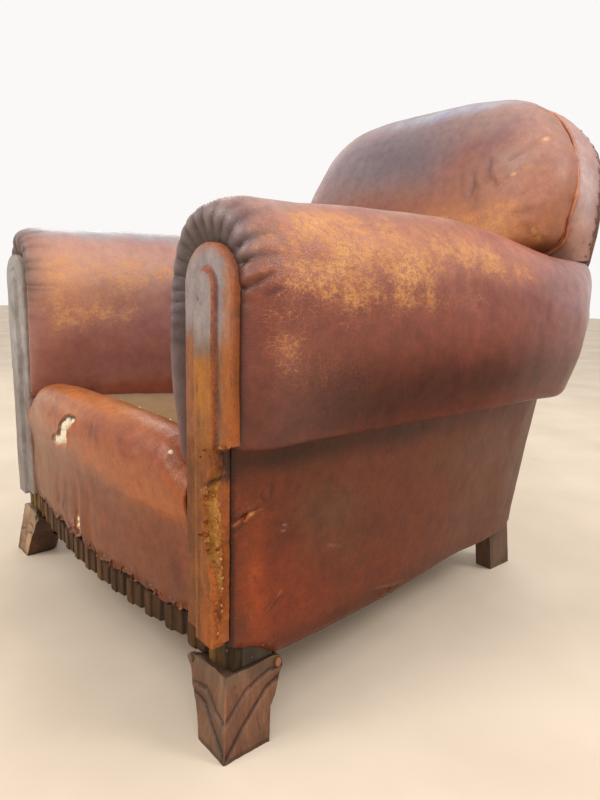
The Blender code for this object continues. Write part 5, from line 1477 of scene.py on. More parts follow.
    # brown band along the front of the nose, orange below it and again over the crown
    col = mixc(col, lin(148, 74, 46), 0.60 * np.exp(-((Z - 0.332) / 0.010) ** 2) * smooth(0.02, 0.08, X))
    col = mixc(col, lin(182, 96, 40), 0.70 * np.exp(-((Z - 0.290 + 0.02 * smooth(0.05, 0.25, X)) / 0.018) ** 2) * smooth(-0.06, 0.1, X))
    col = mixc(col, lin(192, 120, 66), 0.75 * smooth(0.350, 0.365, Z) * smooth(-0.22, -0.02, X))
    col = mixc(col, lin(196, 128, 74), 0.50 * np.exp(-((Z - 0.345) / 0.008) ** 2) * smooth(0.08, -0.02, X))
    col = mixc(col, lin(190, 134, 106), 0.7 * blob(P, (-0.19, 0.0, 0.325), (0.06, 0.03, 0.030), 0.4, 72))
    col = mixc(col, lin(160, 88, 66), 0.6 * blob(P, (0.19, 0.0, 0.335), (0.05, 0.03, 0.024), 0.4, 73))
    col = mixc(col, lin(150, 82, 62), 0.6 * blob(P, (0.225, 0.0, 0.318), (0.03, 0.03, 0.024), 0.4, 77))
    streak = smooth(0.1, 0.6, fbm(P * np.array([1, 0, 0.16]), 60.0, 3, 74)) * apron
    col = mixc(col, lin(112, 58, 38), 0.28 * streak)
    col = mixc(col, lin(168, 92, 50), 0.65 * np.exp(-((X + 0.006 - 0.02 * (Z - 0.16)) / 0.007) ** 2) * apron)
    col = mixc(col, lin(124, 62, 42), 0.55 * np.exp(-((X - 0.016 - 0.02 * (Z - 0.16)) / 0.008) ** 2) * apron)
    col = mixc(col, lin(160, 86, 50), 0.45 * np.exp(-((X - 0.040 - 0.02 * (Z - 0.16)) / 0.010) ** 2) * apron)
    col = mixc(col, lin(92, 46, 30), 0.65 * smooth(0.156, 0.140, Z) * smooth(-0.3, 0.4, fbm(P, 60.0, 3, 75)))
    # painted shade in the creases, and where the nosing meets the near arm
    col = mixc(col, lin(60, 34, 28), 0.75 * fold)
    col = mixc(col, lin(48, 30, 26), 0.85 * smooth(0.262, 0.280, np.abs(X)) * smooth(0.30, 0.33, Z) * (X > 0))
    behind = smooth(0.058, 0.078, P[..., 1])
    col = mixc(col, lin(120, 66, 46), 0.8 * behind)
    col = col * np.where(P[..., 2:3] < 0.262, np.array([0.70, 0.66, 0.50]), np.array([0.78, 0.80, 0.70]))
    col = mixc(col, lin(206, 194, 166), 0.9 * inside)
    col = mixc(col, lin(188, 112, 72), 0.75 * rim * (1 - inside))
    # painted shadow along the upper edge of the hole
    col = mixc(col, lin(92, 52, 36), 0.85 * np.exp(-((hole - 0.0004) / 0.0011) ** 2) * smooth(0.0, 0.010, Z - 0.308 - 0.45 * (X + 0.040)))
    col = mixc(col, lin(206, 152, 84), 0.9 * tin)
    # painted shadow over the upper part of the wadding, under the torn lip
    col = mixc(col, lin(84, 62, 56), 0.85 * inside * smooth(0.322, 0.330, Z - 0.25 * (X + 0.026)))
    col = mixc(col, lin(206, 152, 70), 0.55 * tin * smooth(-0.016, -0.008, X - 0.10 * (Z - 0.17)))
    wear = 0.05 + 0.16 * top * smooth(0.6, 0.0, np.abs(X) / 0.4) + 0.30 * blob(P, (0.06, 0.0, 0.362), (0.14, 0.03, 0.012), 0.5, 76) + 0.15 * blob(P, (0.14, 0.0, 0.285), (0.12, 0.03, 0.016), 0.5, 78)
    wear = wear + 0.35 * rim + 0.20 * smooth(0.150, 0.136, Z)
    dull = 0.25 * apron - 0.25 * top + 0.7 * inside
    ob = plate("seat_front_hide", P, 0.0060, 8, HIDE_SEAT,
               {"col": col, "wear": np.clip(wear, 0, 1), "dull": dull}, 1, ("seat_front_roll", "seat_front_apron"), N)
    return P, N, tacks


SEAT_P, SEAT_N, TACKS = seat_front()


def on_seat(x, z):
    """Place and normal on the seat front at x and height z, in front."""
    q = (SEAT_P[..., 0] - x) ** 2 + (SEAT_P[..., 2] - z) ** 2 + 4 * np.maximum(0, SEAT_P[..., 1] - 0.03) ** 2
    i, j = np.unravel_index(int(np.argmin(q)), q.shape)
    return SEAT_P[i, j], SEAT_N[i, j]


# white wadding pushing out of the hole
parts = []
for k, (x, z, r, h) in enumerate(((-0.011, 0.3265, 0.0075, 0.0028), (-0.029, 0.3235, 0.0095, 0.0050), (-0.041, 0.3155, 0.0100, 0.0062), (-0.035, 0.3035, 0.0110, 0.0066), (-0.049, 0.2995, 0.0115, 0.0066),
                                  (-0.057, 0.2945, 0.0095, 0.0056), (-0.073, 0.2895, 0.0088, 0.0054), (-0.087, 0.2865, 0.0084, 0.0048), (-0.037, 0.2925, 0.0066, 0.0040), (-0.095, 0.2825, 0.0050, 0.0030))):
    c, n = on_seat(x, z)
    sides, rings = 36, 12
    a = np.cross(n, (0, 0, 1.0)); a /= np.linalg.norm(a)
    b = np.cross(n, a)
    V = []
    for i in range(rings + 1):
        ang = (i / rings) * math.pi * 0.5
        for s in range(sides):
            t = 2 * math.pi * s / sides
            rad = r * math.cos(ang) if i else r
            V.append(c + (a * math.cos(t) + b * math.sin(t)) * rad + n * (h * math.sin(ang) + (0.0 if i else -0.0045)))
    V = np.array(V)
    rel = V - c
    fluff = 1 + 0.20 * fbm(V, 140.0, 4, 300 + k)
    V = c + rel * fluff[:, None] + n * (0.0010 * fbm(V, 420.0, 3, 320 + k))[:, None]
    V = np.concatenate([V, [c + n * h * 1.02]])
    faces = tube_faces(rings + 1, sides, caps=False)
    top = len(V) - 1
    faces += [[rings * sides + s, rings * sides + (s + 1) % sides, top] for s in range(sides)]
    faces.append(list(reversed(range(sides))))
    parts.append((V, faces))
# yellowed wadding in the tear at the lower edge, and loose tufts
for k, (x, z, r, h) in enumerate(((-0.0135, 0.176, 0.0052, 0.0030), (-0.0140, 0.164, 0.0060, 0.0036), (-0.0150, 0.152, 0.0050, 0.0032))):
    c, n = on_seat(x, z)
    V, F = dome(c, n, r, h, 14, 4, 0.35, 40 + k)
    parts.append((V, F))
merged("seat_wadding", parts, WADDING)

# tack heads along the lower edge of the seat hide
parts = []
for k, (x, z) in enumerate(TACKS):
    c, n = on_seat(x, z)
    parts.append(dome(c + n * 0.0002, n, 0.0036, 0.0018, 12, 3, 0.10, k))
c = np.array([0.3585, 0.0085, 0.1290])
parts.append(dome(c, (0.5, -1, 0), 0.0011, 0.0006, 8, 2, 0.2, 31))
parts.append(dome((0.3566, 0.045, 0.1050), (1, 0, 0), 0.0012, 0.0006, 8, 2, 0.2, 32))
merged("seat_tacks", parts, TACK)

# hide torn and curled along the lower edge
parts = []
for k, (x, z, w, hgt, curl, way) in enumerate((
        (-0.022, 0.168, 0.009, 0.012, 0.8, -1), (-0.028, 0.157, 0.010, 0.010, 0.7, -1), (-0.020, 0.150, 0.009, 0.009, 0.7, -1), (-0.004, 0.158, 0.005, 0.014, 0.5, 1),
        (0.092, 0.1430, 0.006, 0.009, 0.5, 1), (0.108, 0.1425, 0.005, 0.008, 0.5, -1), (0.122, 0.1440, 0.006, 0.008, 0.4, 1), (0.150, 0.1440, 0.007, 0.009, 0.5, 1),
        (0.165, 0.1450, 0.005, 0.008, 0.5, -1), (0.205, 0.1430, 0.006, 0.009, 0.5, 1), (0.222, 0.1430, 0.005, 0.008, 0.5, -1), (0.250, 0.1440, 0.006, 0.008, 0.5, 1),
        (0.264, 0.1450, 0.006, 0.008, 0.5, -1), (-0.120, 0.1450, 0.006, 0.008, 0.5, 1), (-0.165, 0.1450, 0.005, 0.008, 0.5, -1), (0.040, 0.1440, 0.005, 0.008, 0.5, 1),
        (0.056, 0.1440, 0.005, 0.007, 0.5, -1), (-0.215, 0.1450, 0.005, 0.008, 0.5, 1), (-0.045, 0.1470, 0.005, 0.007, 0.5, -1))):
    c, n = on_seat(x, z)
    V, F = flake(c + n * 0.0006, (way, 0, -0.9), (0.6 * way, 0, 1.0), n, w, hgt, curl, 170 + k)
    tone = (lin(150, 104, 84) if k < 3 else lin(204, 148, 74)) if k < 4 else (lin(122, 66, 42) if k % 3 else lin(150, 84, 46))
    parts.append((V, F, {"col": np.tile(tone, (len(V), 1)), "wear": np.full(len(V), 0.15), "dull": np.full(len(V), 0.5)}))
merged("seat_scraps", parts, HIDE_SEAT)

# specks of wadding along the edge of the platform cloth and on the nosing
parts = []
for k, (x, d, z, r) in enumerate(((0.241, 0.0060, 0.3350, 0.0030), (-0.2790, 0.0035, 0.3190, 0.0034), (-0.2740, 0.0060, 0.3230, 0.0022), (0.020, 0.0720, 0.3550, 0.0022),
                                  (0.075, 0.0740, 0.3540, 0.0018), (0.115, 0.0740, 0.3500, 0.0024), (0.150, 0.0760, 0.3470, 0.0016), (0.190, 0.0760, 0.3420, 0.0018))):
    c, n = on_seat(x, z) if d < 0.02 else (np.array([x, d, z]), np.array([0, -0.2, 1.0]))
    if d > 0.02:
        q = (SEAT_P[..., 0] - x) ** 2 + (SEAT_P[..., 1] - d) ** 2 + 9 * np.minimum(0, SEAT_P[..., 2] - 0.33) ** 2
        i, j = np.unravel_index(int(np.argmin(q)), q.shape)
        c, n = SEAT_P[i, j], SEAT_N[i, j]
    parts.append(dome(c, n, r, r * 0.8, 9, 3, 0.5, 60 + k))
merged("seat_specks", parts, WADDING)


# ---------------------------------------------------------------- platform cloth over the springs
def deck():
    nx, nd = 129, 129
    xs = np.linspace(-0.2660, 0.2660, nx)
    ds = np.linspace(0.0900, 0.6400, nd)
    X, D = np.meshgrid(xs, ds)
    f = (D - 0.1126) / (0.64 - 0.1126)
    Z = 0.3205 + (0.2700 - 0.3180) * f + 0.004 * np.sin(np.pi * np.clip(f, 0, 1))
    p = np.stack([X, D, X * 0], -1)
    Z = Z + 0.0030 * fbm(p, 7.0, 3, 90) + 0.0010 * fbm(p, 40.0, 3, 91)
    for cx in (-0.15, 0.0, 0.15):
        for cd in (0.19, 0.35, 0.51):
            Z = Z + 0.0030 * np.exp(-(((X - cx) / 0.055) ** 2 + ((D - cd) / 0.055) ** 2))
    Z = Z - 0.010 * smooth(0.252, 0.266, np.abs(X))
    P = np.stack([X, D, Z], -1)
    N = normals(P)
    if N[60, 60, 2] < 0:
        N = -N
    P, _ = crease(P, N, [(-0.2, 0.15, 0.32), (0.0, 0.17, 0.32), (0.2, 0.16, 0.32)], 0.0016, 0.006, 0.001, 0.01, 0.01, 0.8, (0, 1, 0))
    ob = plate("platform_cloth_top", P, 0.0300, 16, CLOTH, {}, 1, ("seat_deck",), N)


deck()


# ---------------------------------------------------------------- back pad
def back_pad():
    right = [(0.222, 0.284), (0.2300, 0.340), (0.2330, 0.440), (0.2345, 0.540), (0.2365, 0.575), (0.2440, 0.5940), (0.2620, 0.6010),
             (0.2880, 0.6080), (0.3130, 0.6290), (0.3255, 0.6610), (0.3315, 0.6900), (0.3310, 0.7165), (0.3225, 0.7500), (0.3010, 0.7890),
             (0.2820, 0.8180), (0.2590, 0.8460), (0.2300, 0.8670), (0.1970, 0.8810), (0.1480, 0.8900), (0.0880, 0.8945)]
    loop = right + [(0.0, 0.8955)] + [(-x, z) for x, z in reversed(right)] + [(-0.110, 0.278), (0.0, 0.277), (0.110, 0.278)]
    n = 380
    O = along(np.array(loop), n, closed=True)
    prof = np.array([(0.0550, 0.985, 0.0), (0.0650, 0.992, 0.0), (0.0735, 0.996, 0.0), (0.0790, 0.994, 0.001), (0.0860, 1.002, 0.002), (0.1000, 1.008, 0.005), (0.1180, 1.010, 0.0065), (0.1360, 1.004, 0.0065),
                     (0.1500, 0.990, 0.006), (0.1660, 0.960, 0.0055), (0.1790, 0.915, 0.005), (0.1900, 0.855, 0.004), (0.1970, 0.785, 0.003),
                     (0.2030, 0.680, 0.001), (0.2065, 0.520, 0.0), (0.2080, 0.340, 0.0), (0.2085, 0.160, 0.0), (0.2086, 0.030, 0.0)])
    scale_len = prof * np.array([1.0, 0.30, 1.0])
    t = chord(scale_len, 1.0)
    k = 118
    dense = hermite(t, prof, np.linspace(0, t[-1], k))
    rows = []
    for off, sx, dz in dense:
        x, z = O[:, 0], O[:, 1]
        cz = 0.600
        grow = np.where(z > 0.62, sx, np.minimum(sx, 1.0))
        grow = grow * smooth(0.60, 0.64, z) + np.minimum(sx, 1.0) * (1 - smooth(0.60, 0.64, z))
        zz = cz + (z - cz) * grow + dz * smooth(0.64, 0.78, z)
        xx = x * grow
        rows.append(np.stack([xx, back_depth(zz) - off, zz], -1))
    P = np.array(rows)
    N = normals(P, True)
    if N[k // 2, 90, 1] > 0:
        N = -N
    # sit the middle back a little, as a used back does
    X, Z = P[..., 0].copy(), P[..., 2].copy()
    front = smooth(20, 60, np.arange(k))[:, None]
    sink = -0.010 * np.exp(-((X / 0.16) ** 2 + ((Z - 0.52) / 0.13) ** 2)) * front
    lump = 0.0030 * fbm(P, 7.0, 3, 110) + 0.0009 * fbm(P, 22.0, 3, 111)
    fine = 0.0004 * fbm(P, 70.0, 3, 112)
    P = P + N * (sink + lump * smooth(4, 16, np.arange(k))[:, None] + fine)[..., None]
    fold = np.zeros(P.shape[:2])
    folds = (
        (((0.206, 0.668, 0.776), (0.212, 0.663, 0.750), (0.218, 0.663, 0.722)), 0.0040, 0.0060, 0.0030, 0.012, 0.010, 0.6, (1, 0, 0)),
        (((0.216, 0.663, 0.738), (0.230, 0.660, 0.722), (0.242, 0.660, 0.710)), 0.0022, 0.0060, 0.0014, 0.010, 0.009, 0.6, (1, 0, 0)),
        (((0.180, 0.660, 0.752), (0.187, 0.655, 0.722), (0.185, 0.650, 0.696)), 0.0030, 0.0050, 0.0022, 0.010, 0.009, 0.6, (1, 0, 0)),
        (((0.196, 0.655, 0.728), (0.201, 0.652, 0.712), (0.194, 0.650, 0.690)), 0.0022, 0.0046, 0.0012, 0.008, 0.008, 0.6, (1, 0, 0)),
        (((0.150, 0.662, 0.762), (0.158, 0.655, 0.730), (0.161, 0.650, 0.700)), 0.0014, 0.0066, 0.0012, 0.011, 0.009, 0.7, (1, 0, 0)),
        (((0.118, 0.665, 0.752), (0.124, 0.655, 0.725), (0.122, 0.650, 0.700)), 0.0010, 0.0070, 0.0008, 0.012, 0.010, 0.7, (1, 0, 0)),
        (((0.240, 0.676, 0.760), (0.252, 0.680, 0.768), (0.266, 0.686, 0.780)), 0.0022, 0.0034, 0.0022, 0.007, 0.006, 0.5, (0, 0, 1)),
        (((0.266, 0.686, 0.780), (0.282, 0.700, 0.797), (0.300, 0.715, 0.806)), 0.0010, 0.0034, 0.0014, 0.007, 0.006, 0.7, (0, 0, 1)),
        (((0.240, 0.664, 0.716), (0.254, 0.668, 0.733), (0.268, 0.676, 0.745), (0.284, 0.684, 0.752)), 0.0018, 0.0032, 0.0020, 0.007, 0.006, 0.6, (0, 0, 1)),
        (((0.284, 0.684, 0.752), (0.305, 0.694, 0.757), (0.322, 0.710, 0.756)), 0.0008, 0.0080, 0.0010, 0.010, 0.010, 0.8, (0, 0, 1)),
        (((0.262, 0.666, 0.690), (0.290, 0.676, 0.702), (0.318, 0.700, 0.712)), 0.0010, 0.0080, 0.0010, 0.012, 0.011, 0.8, (0, 0, 1)),
        (((0.268, 0.666, 0.664), (0.294, 0.680, 0.672), (0.320, 0.700, 0.676)), 0.0014, 0.0070, 0.0012, 0.011, 0.010, 0.8, (0, 0, 1)),
        (((0.274, 0.668, 0.640), (0.296, 0.682, 0.644), (0.316, 0.700, 0.642)), 0.0012, 0.0065, 0.0012, 0.010, 0.009, 0.8, (0, 0, 1)),
        (((0.296, 0.690, 0.642), (0.308, 0.700, 0.634), (0.312, 0.706, 0.622)), 0.0022, 0.0040, 0.0018, 0.007, 0.006, 0.7, (0, 0, 1)),
        (((0.262, 0.700, 0.826), (0.280, 0.712, 0.808), (0.296, 0.722, 0.796)), 0.0010, 0.0080, 0.0010, 0.011, 0.010, 0.8, (0, 0, 1)),
        (((-0.240, 0.662, 0.712), (-0.270, 0.668, 0.724), (-0.300, 0.684, 0.728)), 0.0012, 0.0070, 0.0012, 0.010, 0.009, 0.8, (0, 0, 1)),
        (((-0.250, 0.664, 0.670), (-0.280, 0.676, 0.678), (-0.312, 0.695, 0.682)), 0.0014, 0.0070, 0.0012, 0.010, 0.009, 0.8, (0, 0, 1)),
        (((-0.20, 0.60, 0.40), (-0.10, 0.57, 0.372), (0.0, 0.56, 0.366), (0.10, 0.57, 0.374), (0.20, 0.60, 0.40)), 0.0030, 0.0120, 0.0020, 0.02, 0.015, 0.6, (0, 0, 1)),
        (((-0.16, 0.60, 0.50), (0.0, 0.575, 0.486), (0.16, 0.60, 0.50)), 0.0014, 0.0140, 0.0, 0.02, 0.015, 0.8, (0, 0, 1)),
    )
    # bring each fold line onto the surface before using it
    flat = P.reshape(-1, 3)
    for pts, dep, wid, roll, off, rw, ends, up in folds:
        snapped = []
        for q in pts:
            q = np.asarray(q)
            dd = (flat[:, 0] - q[0]) ** 2 + (flat[:, 2] - q[2]) ** 2 + 0.02 * (flat[:, 1] - q[1] + 0.03) ** 2
            snapped.append(flat[int(np.argmin(dd))])
        P, w = crease(P, N, snapped, dep, wid, roll, off, rw, ends, up)
        if wid < 0.0065:
            fold = np.maximum(fold, w * min(1.0, dep / 0.003))
    # puckers where the hide is sewn to the piping
    row = np.arange(k)[:, None]
    s = np.arange(n)[None, :] / n
    pucker = np.abs(np.sin(np.pi * (s * 74 + 0.35 * line3(s[0] * 9, 3.0, 121)[None, :])))
    P = P + N * (-0.0016 * (1 - pucker) ** 2 * smooth(24, 10, row) * smooth(2, 7, row) * (P[..., 2] > 0.6))[..., None]
    X, D, Z = P[..., 0], P[..., 1], P[..., 2]
    # the grey-mauve strokes over the upper left and middle are painted shade over the hide's own greyer tone; the pale
    # band along the top is painted sheen
    col = paint(P, lin(160, 82, 50), (
        ((-0.10, 0.68, 0.80), (0.22, 0.10, 0.085), lin(138, 108, 100), 0.95, 0.3),
        ((-0.05, 0.68, 0.81), (0.28, 0.10, 0.070), lin(124, 92, 88), 0.75, 0.3),
        ((0.02, 0.68, 0.80), (0.16, 0.10, 0.065), lin(112, 80, 76), 0.80, 0.3),
        ((-0.22, 0.68, 0.70), (0.12, 0.10, 0.10), lin(150, 100, 84), 0.8, 0.3),
        ((0.05, 0.70, 0.885), (0.25, 0.10, 0.022), lin(168, 148, 142), 0.85, 0.3),
        ((-0.02, 0.66, 0.69), (0.16, 0.10, 0.05), lin(150, 72, 44), 0.8, 0.3),
        ((0.14, 0.66, 0.66), (0.10, 0.10, 0.05), lin(184, 94, 48), 0.85, 0.3),
        ((0.25, 0.66, 0.64), (0.09, 0.10, 0.05), lin(196, 106, 50), 0.9, 0.3),
        ((0.28, 0.68, 0.72), (0.06, 0.10, 0.07), lin(184, 106, 74), 0.8, 0.3),
        ((0.25, 0.68, 0.765), (0.045, 0.10, 0.022), lin(176, 128, 108), 0.60, 0.4),
        ((0.16, 0.68, 0.76), (0.06, 0.10, 0.06), lin(160, 80, 50), 0.7, 0.3),
        ((0.18, 0.68, 0.84), (0.12, 0.10, 0.035), lin(158, 106, 88), 0.75, 0.3),
        ((0.28, 0.70, 0.81), (0.05, 0.10, 0.04), lin(186, 116, 88), 0.7, 0.3),
        ((0.0, 0.60, 0.40), (0.20, 0.10, 0.12), lin(136, 72, 48), 0.6),
    ), 130)
    # greyer all over; painted haze: lighter and greyer towards the top; painted shade in the folds
    col = col * np.array([0.76, 1.03, 1.28])
    col = col * (1 + np.array([0.08, 0.20, 0.22]) * smooth(0.80, 0.88, P[..., 2:3]))
    col = mixc(col, lin(84, 48, 56), 0.50 * fold)
    vlines = (
        (((0.266, 0, 0.780), (0.282, 0, 0.797), (0.302, 0, 0.808)), 0.0007, lin(198, 122, 72), 0.45),
        (((0.284, 0, 0.7985), (0.288, 0, 0.8015)), 0.0012, lin(224, 176, 118), 0.7),
        (((0.240, 0, 0.716), (0.254, 0, 0.733), (0.268, 0, 0.745), (0.296, 0, 0.755)), 0.0008, lin(198, 130, 74), 0.55),
        (((0.256, 0, 0.735), (0.260, 0, 0.739)), 0.0012, lin(222, 178, 124), 0.6),
        (((0.304, 0, 0.640), (0.309, 0, 0.633), (0.307, 0, 0.626)), 0.0022, lin(218, 168, 96), 0.8),
    )
    front_only = (D < back_depth(Z) - 0.09)
    for pts, wd, c, a in vlines:
        q = np.stack([X, X * 0, Z], -1)
        dd, _, _ = to_line(q, pts)
        dd = dd * (1 + 0.5 * line3(s[0] * 40, 4.0, 7)[None, :])
        col = mixc(col, c, a * np.exp(-(dd / wd) ** 2) * front_only)
    wear = 0.05 + 0 * X
    for c, r, a in (((0.25, 0.66, 0.64), (0.10, 0.15, 0.05), 0.42), ((0.14, 0.66, 0.66), (0.10, 0.15, 0.05), 0.30), ((0.24, 0.68, 0.72), (0.06, 0.15, 0.06), 0.22),
                    ((0.0, 0.66, 0.66), (0.12, 0.15, 0.04), 0.15), ((0.0, 0.6, 0.5), (0.2, 0.2, 0.1), 0.18)):
        wear = wear + a * blob(P, c, r, 0.4, 140)
    dull = 0.10 + 0.15 * smooth(0.70, 0.80, Z) - 0.2 * blob(P, (0.25, 0.66, 0.74), (0.06, 0.1, 0.06))
    ob = make("back_cushion", P.reshape(-1, 3), tube_faces(k, n), HIDE_BACK,
              {"col": col.reshape(-1, 3), "wear": np.clip(wear, 0, 1).ravel(), "dull": dull.ravel()}, 1, ("back_pad",))
    return P


BACK_P = back_pad()


# ---------------------------------------------------------------- border and piping round the back
PIPE_Z = (0.5950, 0.6070, 0.6290, 0.6610, 0.6900, 0.7165, 0.7500, 0.7910, 0.8200, 0.8480, 0.8700, 0.8850, 0.8945, 0.8985)
PIPE_X = (0.2660, 0.2930, 0.3184, 0.3298, 0.3359, 0.3352, 0.3262, 0.3040, 0.2850, 0.2626, 0.2340, 0.2010, 0.1500, 0.0900)
REAR_Z = (0.5935, 0.6340, 0.6710, 0.7080, 0.7350, 0.7600, 0.8030, 0.8350, 0.8620, 0.8800, 0.8900, 0.8950)
REAR_X = (0.3350, 0.3345, 0.3330, 0.3290, 0.3250, 0.3190, 0.3000, 0.2720, 0.2345, 0.1890, 0.1335, 0.0700)
# how far in front of the outside back the piping runs, at each height
RUN_Z = (0.5900, 0.6150, 0.6350, 0.6480, 0.6640, 0.6800, 0.7000, 0.7200, 0.7400, 0.7600, 0.7800, 0.8000, 0.8200, 0.9000)
RUN_D = (0.0765, 0.0775, 0.0850, 0.0950, 0.1050, 0.1090, 0.1100, 0.1085, 0.1060, 0.1020, 0.0940, 0.0840, 0.0785, 0.0765)


def outline(zs, xs, top, count):
    """Half an outline mirrored: count points from the left foot over the top to the right foot, with outward directions."""
    right = list(zip(xs, zs))
    loop = right + [(0.0, top)] + [(-x, z) for x, z in reversed(right)]
    E = along(np.array(loop), count)
    T = np.gradient(E, axis=0)
    T /= np.linalg.norm(T, axis=1, keepdims=True)
    return E, np.stack([T[:, 1], -T[:, 0]], -1)


def border():
    m = 420
    A, An = outline(PIPE_Z, PIPE_X, 0.8995, m)         # along the piping
    B, Bn = outline(REAR_Z, REAR_X, 0.8962, m)         # along the rear edge
    n = 26
    u = np.linspace(0, 1, n)                     # from the piping (front) to the rear edge
    run = np.interp(A[:, 1], RUN_Z, RUN_D) - 0.0040
    s = np.linspace(0, 1, m)
    # fuller over the top and low down, where it turns in to the arm
    puff = 0.0058 * np.sin(np.pi * u ** 0.85) - 0.0008
    low = smooth(0.665, 0.610, A[:, 1])
    scal = np.abs(np.sin(np.pi * s * 46 + 1.5 * line3(s * 5, 2.0, 150)))
    rows = []
    for k in range(m):
        ring = []
        for j in range(n):
            rear = float(smooth(0.80, 1.0, u[j]))
            base = A[k] * (1 - u[j]) + B[k] * u[j]
            nn = An[k] * (1 - u[j]) + Bn[k] * u[j]
            nn = nn / np.linalg.norm(nn)
            out = puff[j] * (1 + 0.6 * low[k]) + 0.0022 * rear * (scal[k] ** 0.5 - 0.6)
            x, z = base + nn * out
            off = run[k] - u[j] * (run[k] - 0.0040)
            ring.append((x, float(back_depth(base[1])) - off + 0.0015 * rear * (scal[k] - 0.5), z))
        for j in (1.0, 0.66, 0.33, 0.0):
            q = (A[k] - An[k] * 0.0062) * (1 - j) + (B[k] - Bn[k] * 0.0062) * j
            ring.append((q[0], float(back_depth(q[1])) - (run[k] + 0.001 - (1 - j) * 0.0 - j * (run[k] - 0.0050)) , q[1]))
        rows.append(ring)
    P = np.array(rows)
    N = normals(P, True)
    if N[m // 2, n // 2, 2] < 0:
        N = -N
    fade = np.zeros(n + 4); fade[1:n - 1] = 1
    P = P + N * ((0.0014 * fbm(P, 26.0, 3, 151) + 0.0005 * fbm(P, 80.0, 3, 152)) * fade[None, :])[..., None]
    col = paint(P, lin(150, 100, 84), (
        ((0.32, 0.76, 0.63), (0.05, 0.06, 0.05), lin(170, 112, 86), 0.8),
        ((0.33, 0.79, 0.72), (0.04, 0.04, 0.08), lin(178, 142, 132), 0.8),
        ((0.28, 0.80, 0.83), (0.08, 0.06, 0.06), lin(172, 128, 112), 0.7),
        ((0.0, 0.80, 0.90), (0.25, 0.06, 0.03), lin(140, 120, 116), 0.8),
    ), 153)
    uu = np.concatenate([u, [1, 1, 0, 0]])[None, :]
    col = col * np.array([1.02, 1.22, 1.34])
    col = mixc(col, lin(104, 72, 68), 0.65 * smooth(0.84, 0.98, uu) * np.ones((m, 1)))
    col = mixc(col, lin(140, 74, 50), 0.5 * smooth(0.12, 0.0, uu) * np.ones((m, 1)))
    wear = 0.08 + 0.20 * blob(P, (0.33, 0.76, 0.64), (0.05, 0.05, 0.05), 0.4, 154)
    make("back_boxing", P.reshape(-1, 3), tube_faces(m, n + 4), HIDE_BACK,
         {"col": col.reshape(-1, 3), "wear": wear.ravel(), "dull": np.full(m * (n + 4), 0.15)}, 1, ("back_border",))
    # tacks along the rear edge
    parts = []
    for k in range(4, m - 4, 9):
        j = n - 4
        c = P[k, j]
        parts.append(dome(c, N[k, j], 0.0026 if k % 2 else 0.0022, 0.0013, 9, 3, 0.25, k))
    merged("back_tacks", parts, TACK)
    # a scrap of hide standing out at the sitter's left, on the rear edge
    c = np.array([0.3140, float(back_depth(0.7620)) - 0.004, 0.7620])
    V, F = flake(c, (1, 0.3, 0.1), (0, 0, 1), (0.3, 1, 0), 0.011, 0.010, 0.3, 203, 0.0012)
    merged("back_scrap", [(V, F, {"col": np.tile(lin(120, 84, 76), (len(V), 1)), "wear": np.full(len(V), 0.1), "dull": np.full(len(V), 0.3)})], HIDE_BACK)


border()


def piping():
    m = 700
    E, Nn = outline(PIPE_Z, PIPE_X, 0.8995, m)
    E = E - Nn * 0.0004
    depth = back_depth(E[:, 1]) - np.interp(E[:, 1], RUN_Z, RUN_D)
    s = np.linspace(0, 1, m)
    E = E + Nn * (0.0010 * line3(s * 12, 2.0, 160))[:, None]
    depth = depth + 0.0010 * line3(s * 14, 2.0, 161)
    path = np.stack([E[:, 0], depth, E[:, 1]], -1)
    rad = 0.0027 + 0.0003 * line3(s * 60, 3.0, 162) + 0.0002 * line3(s * 200, 3.0, 163)
    knot = np.exp(-(((path[:, 0] - 0.336) / 0.006) ** 2 + ((path[:, 2] - 0.704) / 0.006) ** 2))
    V, F = sweep(path, rad + 0.0016 * knot, 12)
    col = mixc(np.tile(lin(184, 116, 78), (len(V), 1)), lin(160, 104, 84), 0.6 * smooth(-0.1, 0.5, fbm(V, 30.0, 3, 164)))
    col = mixc(col, lin(140, 108, 98), 0.75 * smooth(0.20, -0.05, V[:, 0]))
    # the cord's seam allowance: a flat welt pressed between cord and boxing
    inner = np.stack([(E - Nn * 0.0026)[:, 0], depth - 0.0044, (E - Nn * 0.0026)[:, 1]], -1)
    V2, F2 = sweep(inner, 0.0011 + 0.0003 * line3(s * 120, 3.0, 165), 8)
    col2 = mixc(np.tile(lin(188, 108, 60), (len(V2), 1)), lin(132, 98, 88), 0.75 * smooth(0.20, -0.05, V2[:, 0]))
    parts = [(V, F, {"col": col, "wear": np.clip(0.20 + 0.3 * fbm(V, 60.0, 2, 166), 0, 1), "dull": np.full(len(V), 0.3)}),
             (V2, F2, {"col": col2, "wear": np.full(len(V2), 0.25), "dull": np.full(len(V2), 0.3)})]
    ob = merged("back_piping_cord", parts, PIPING)
    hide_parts("back_piping")


piping()


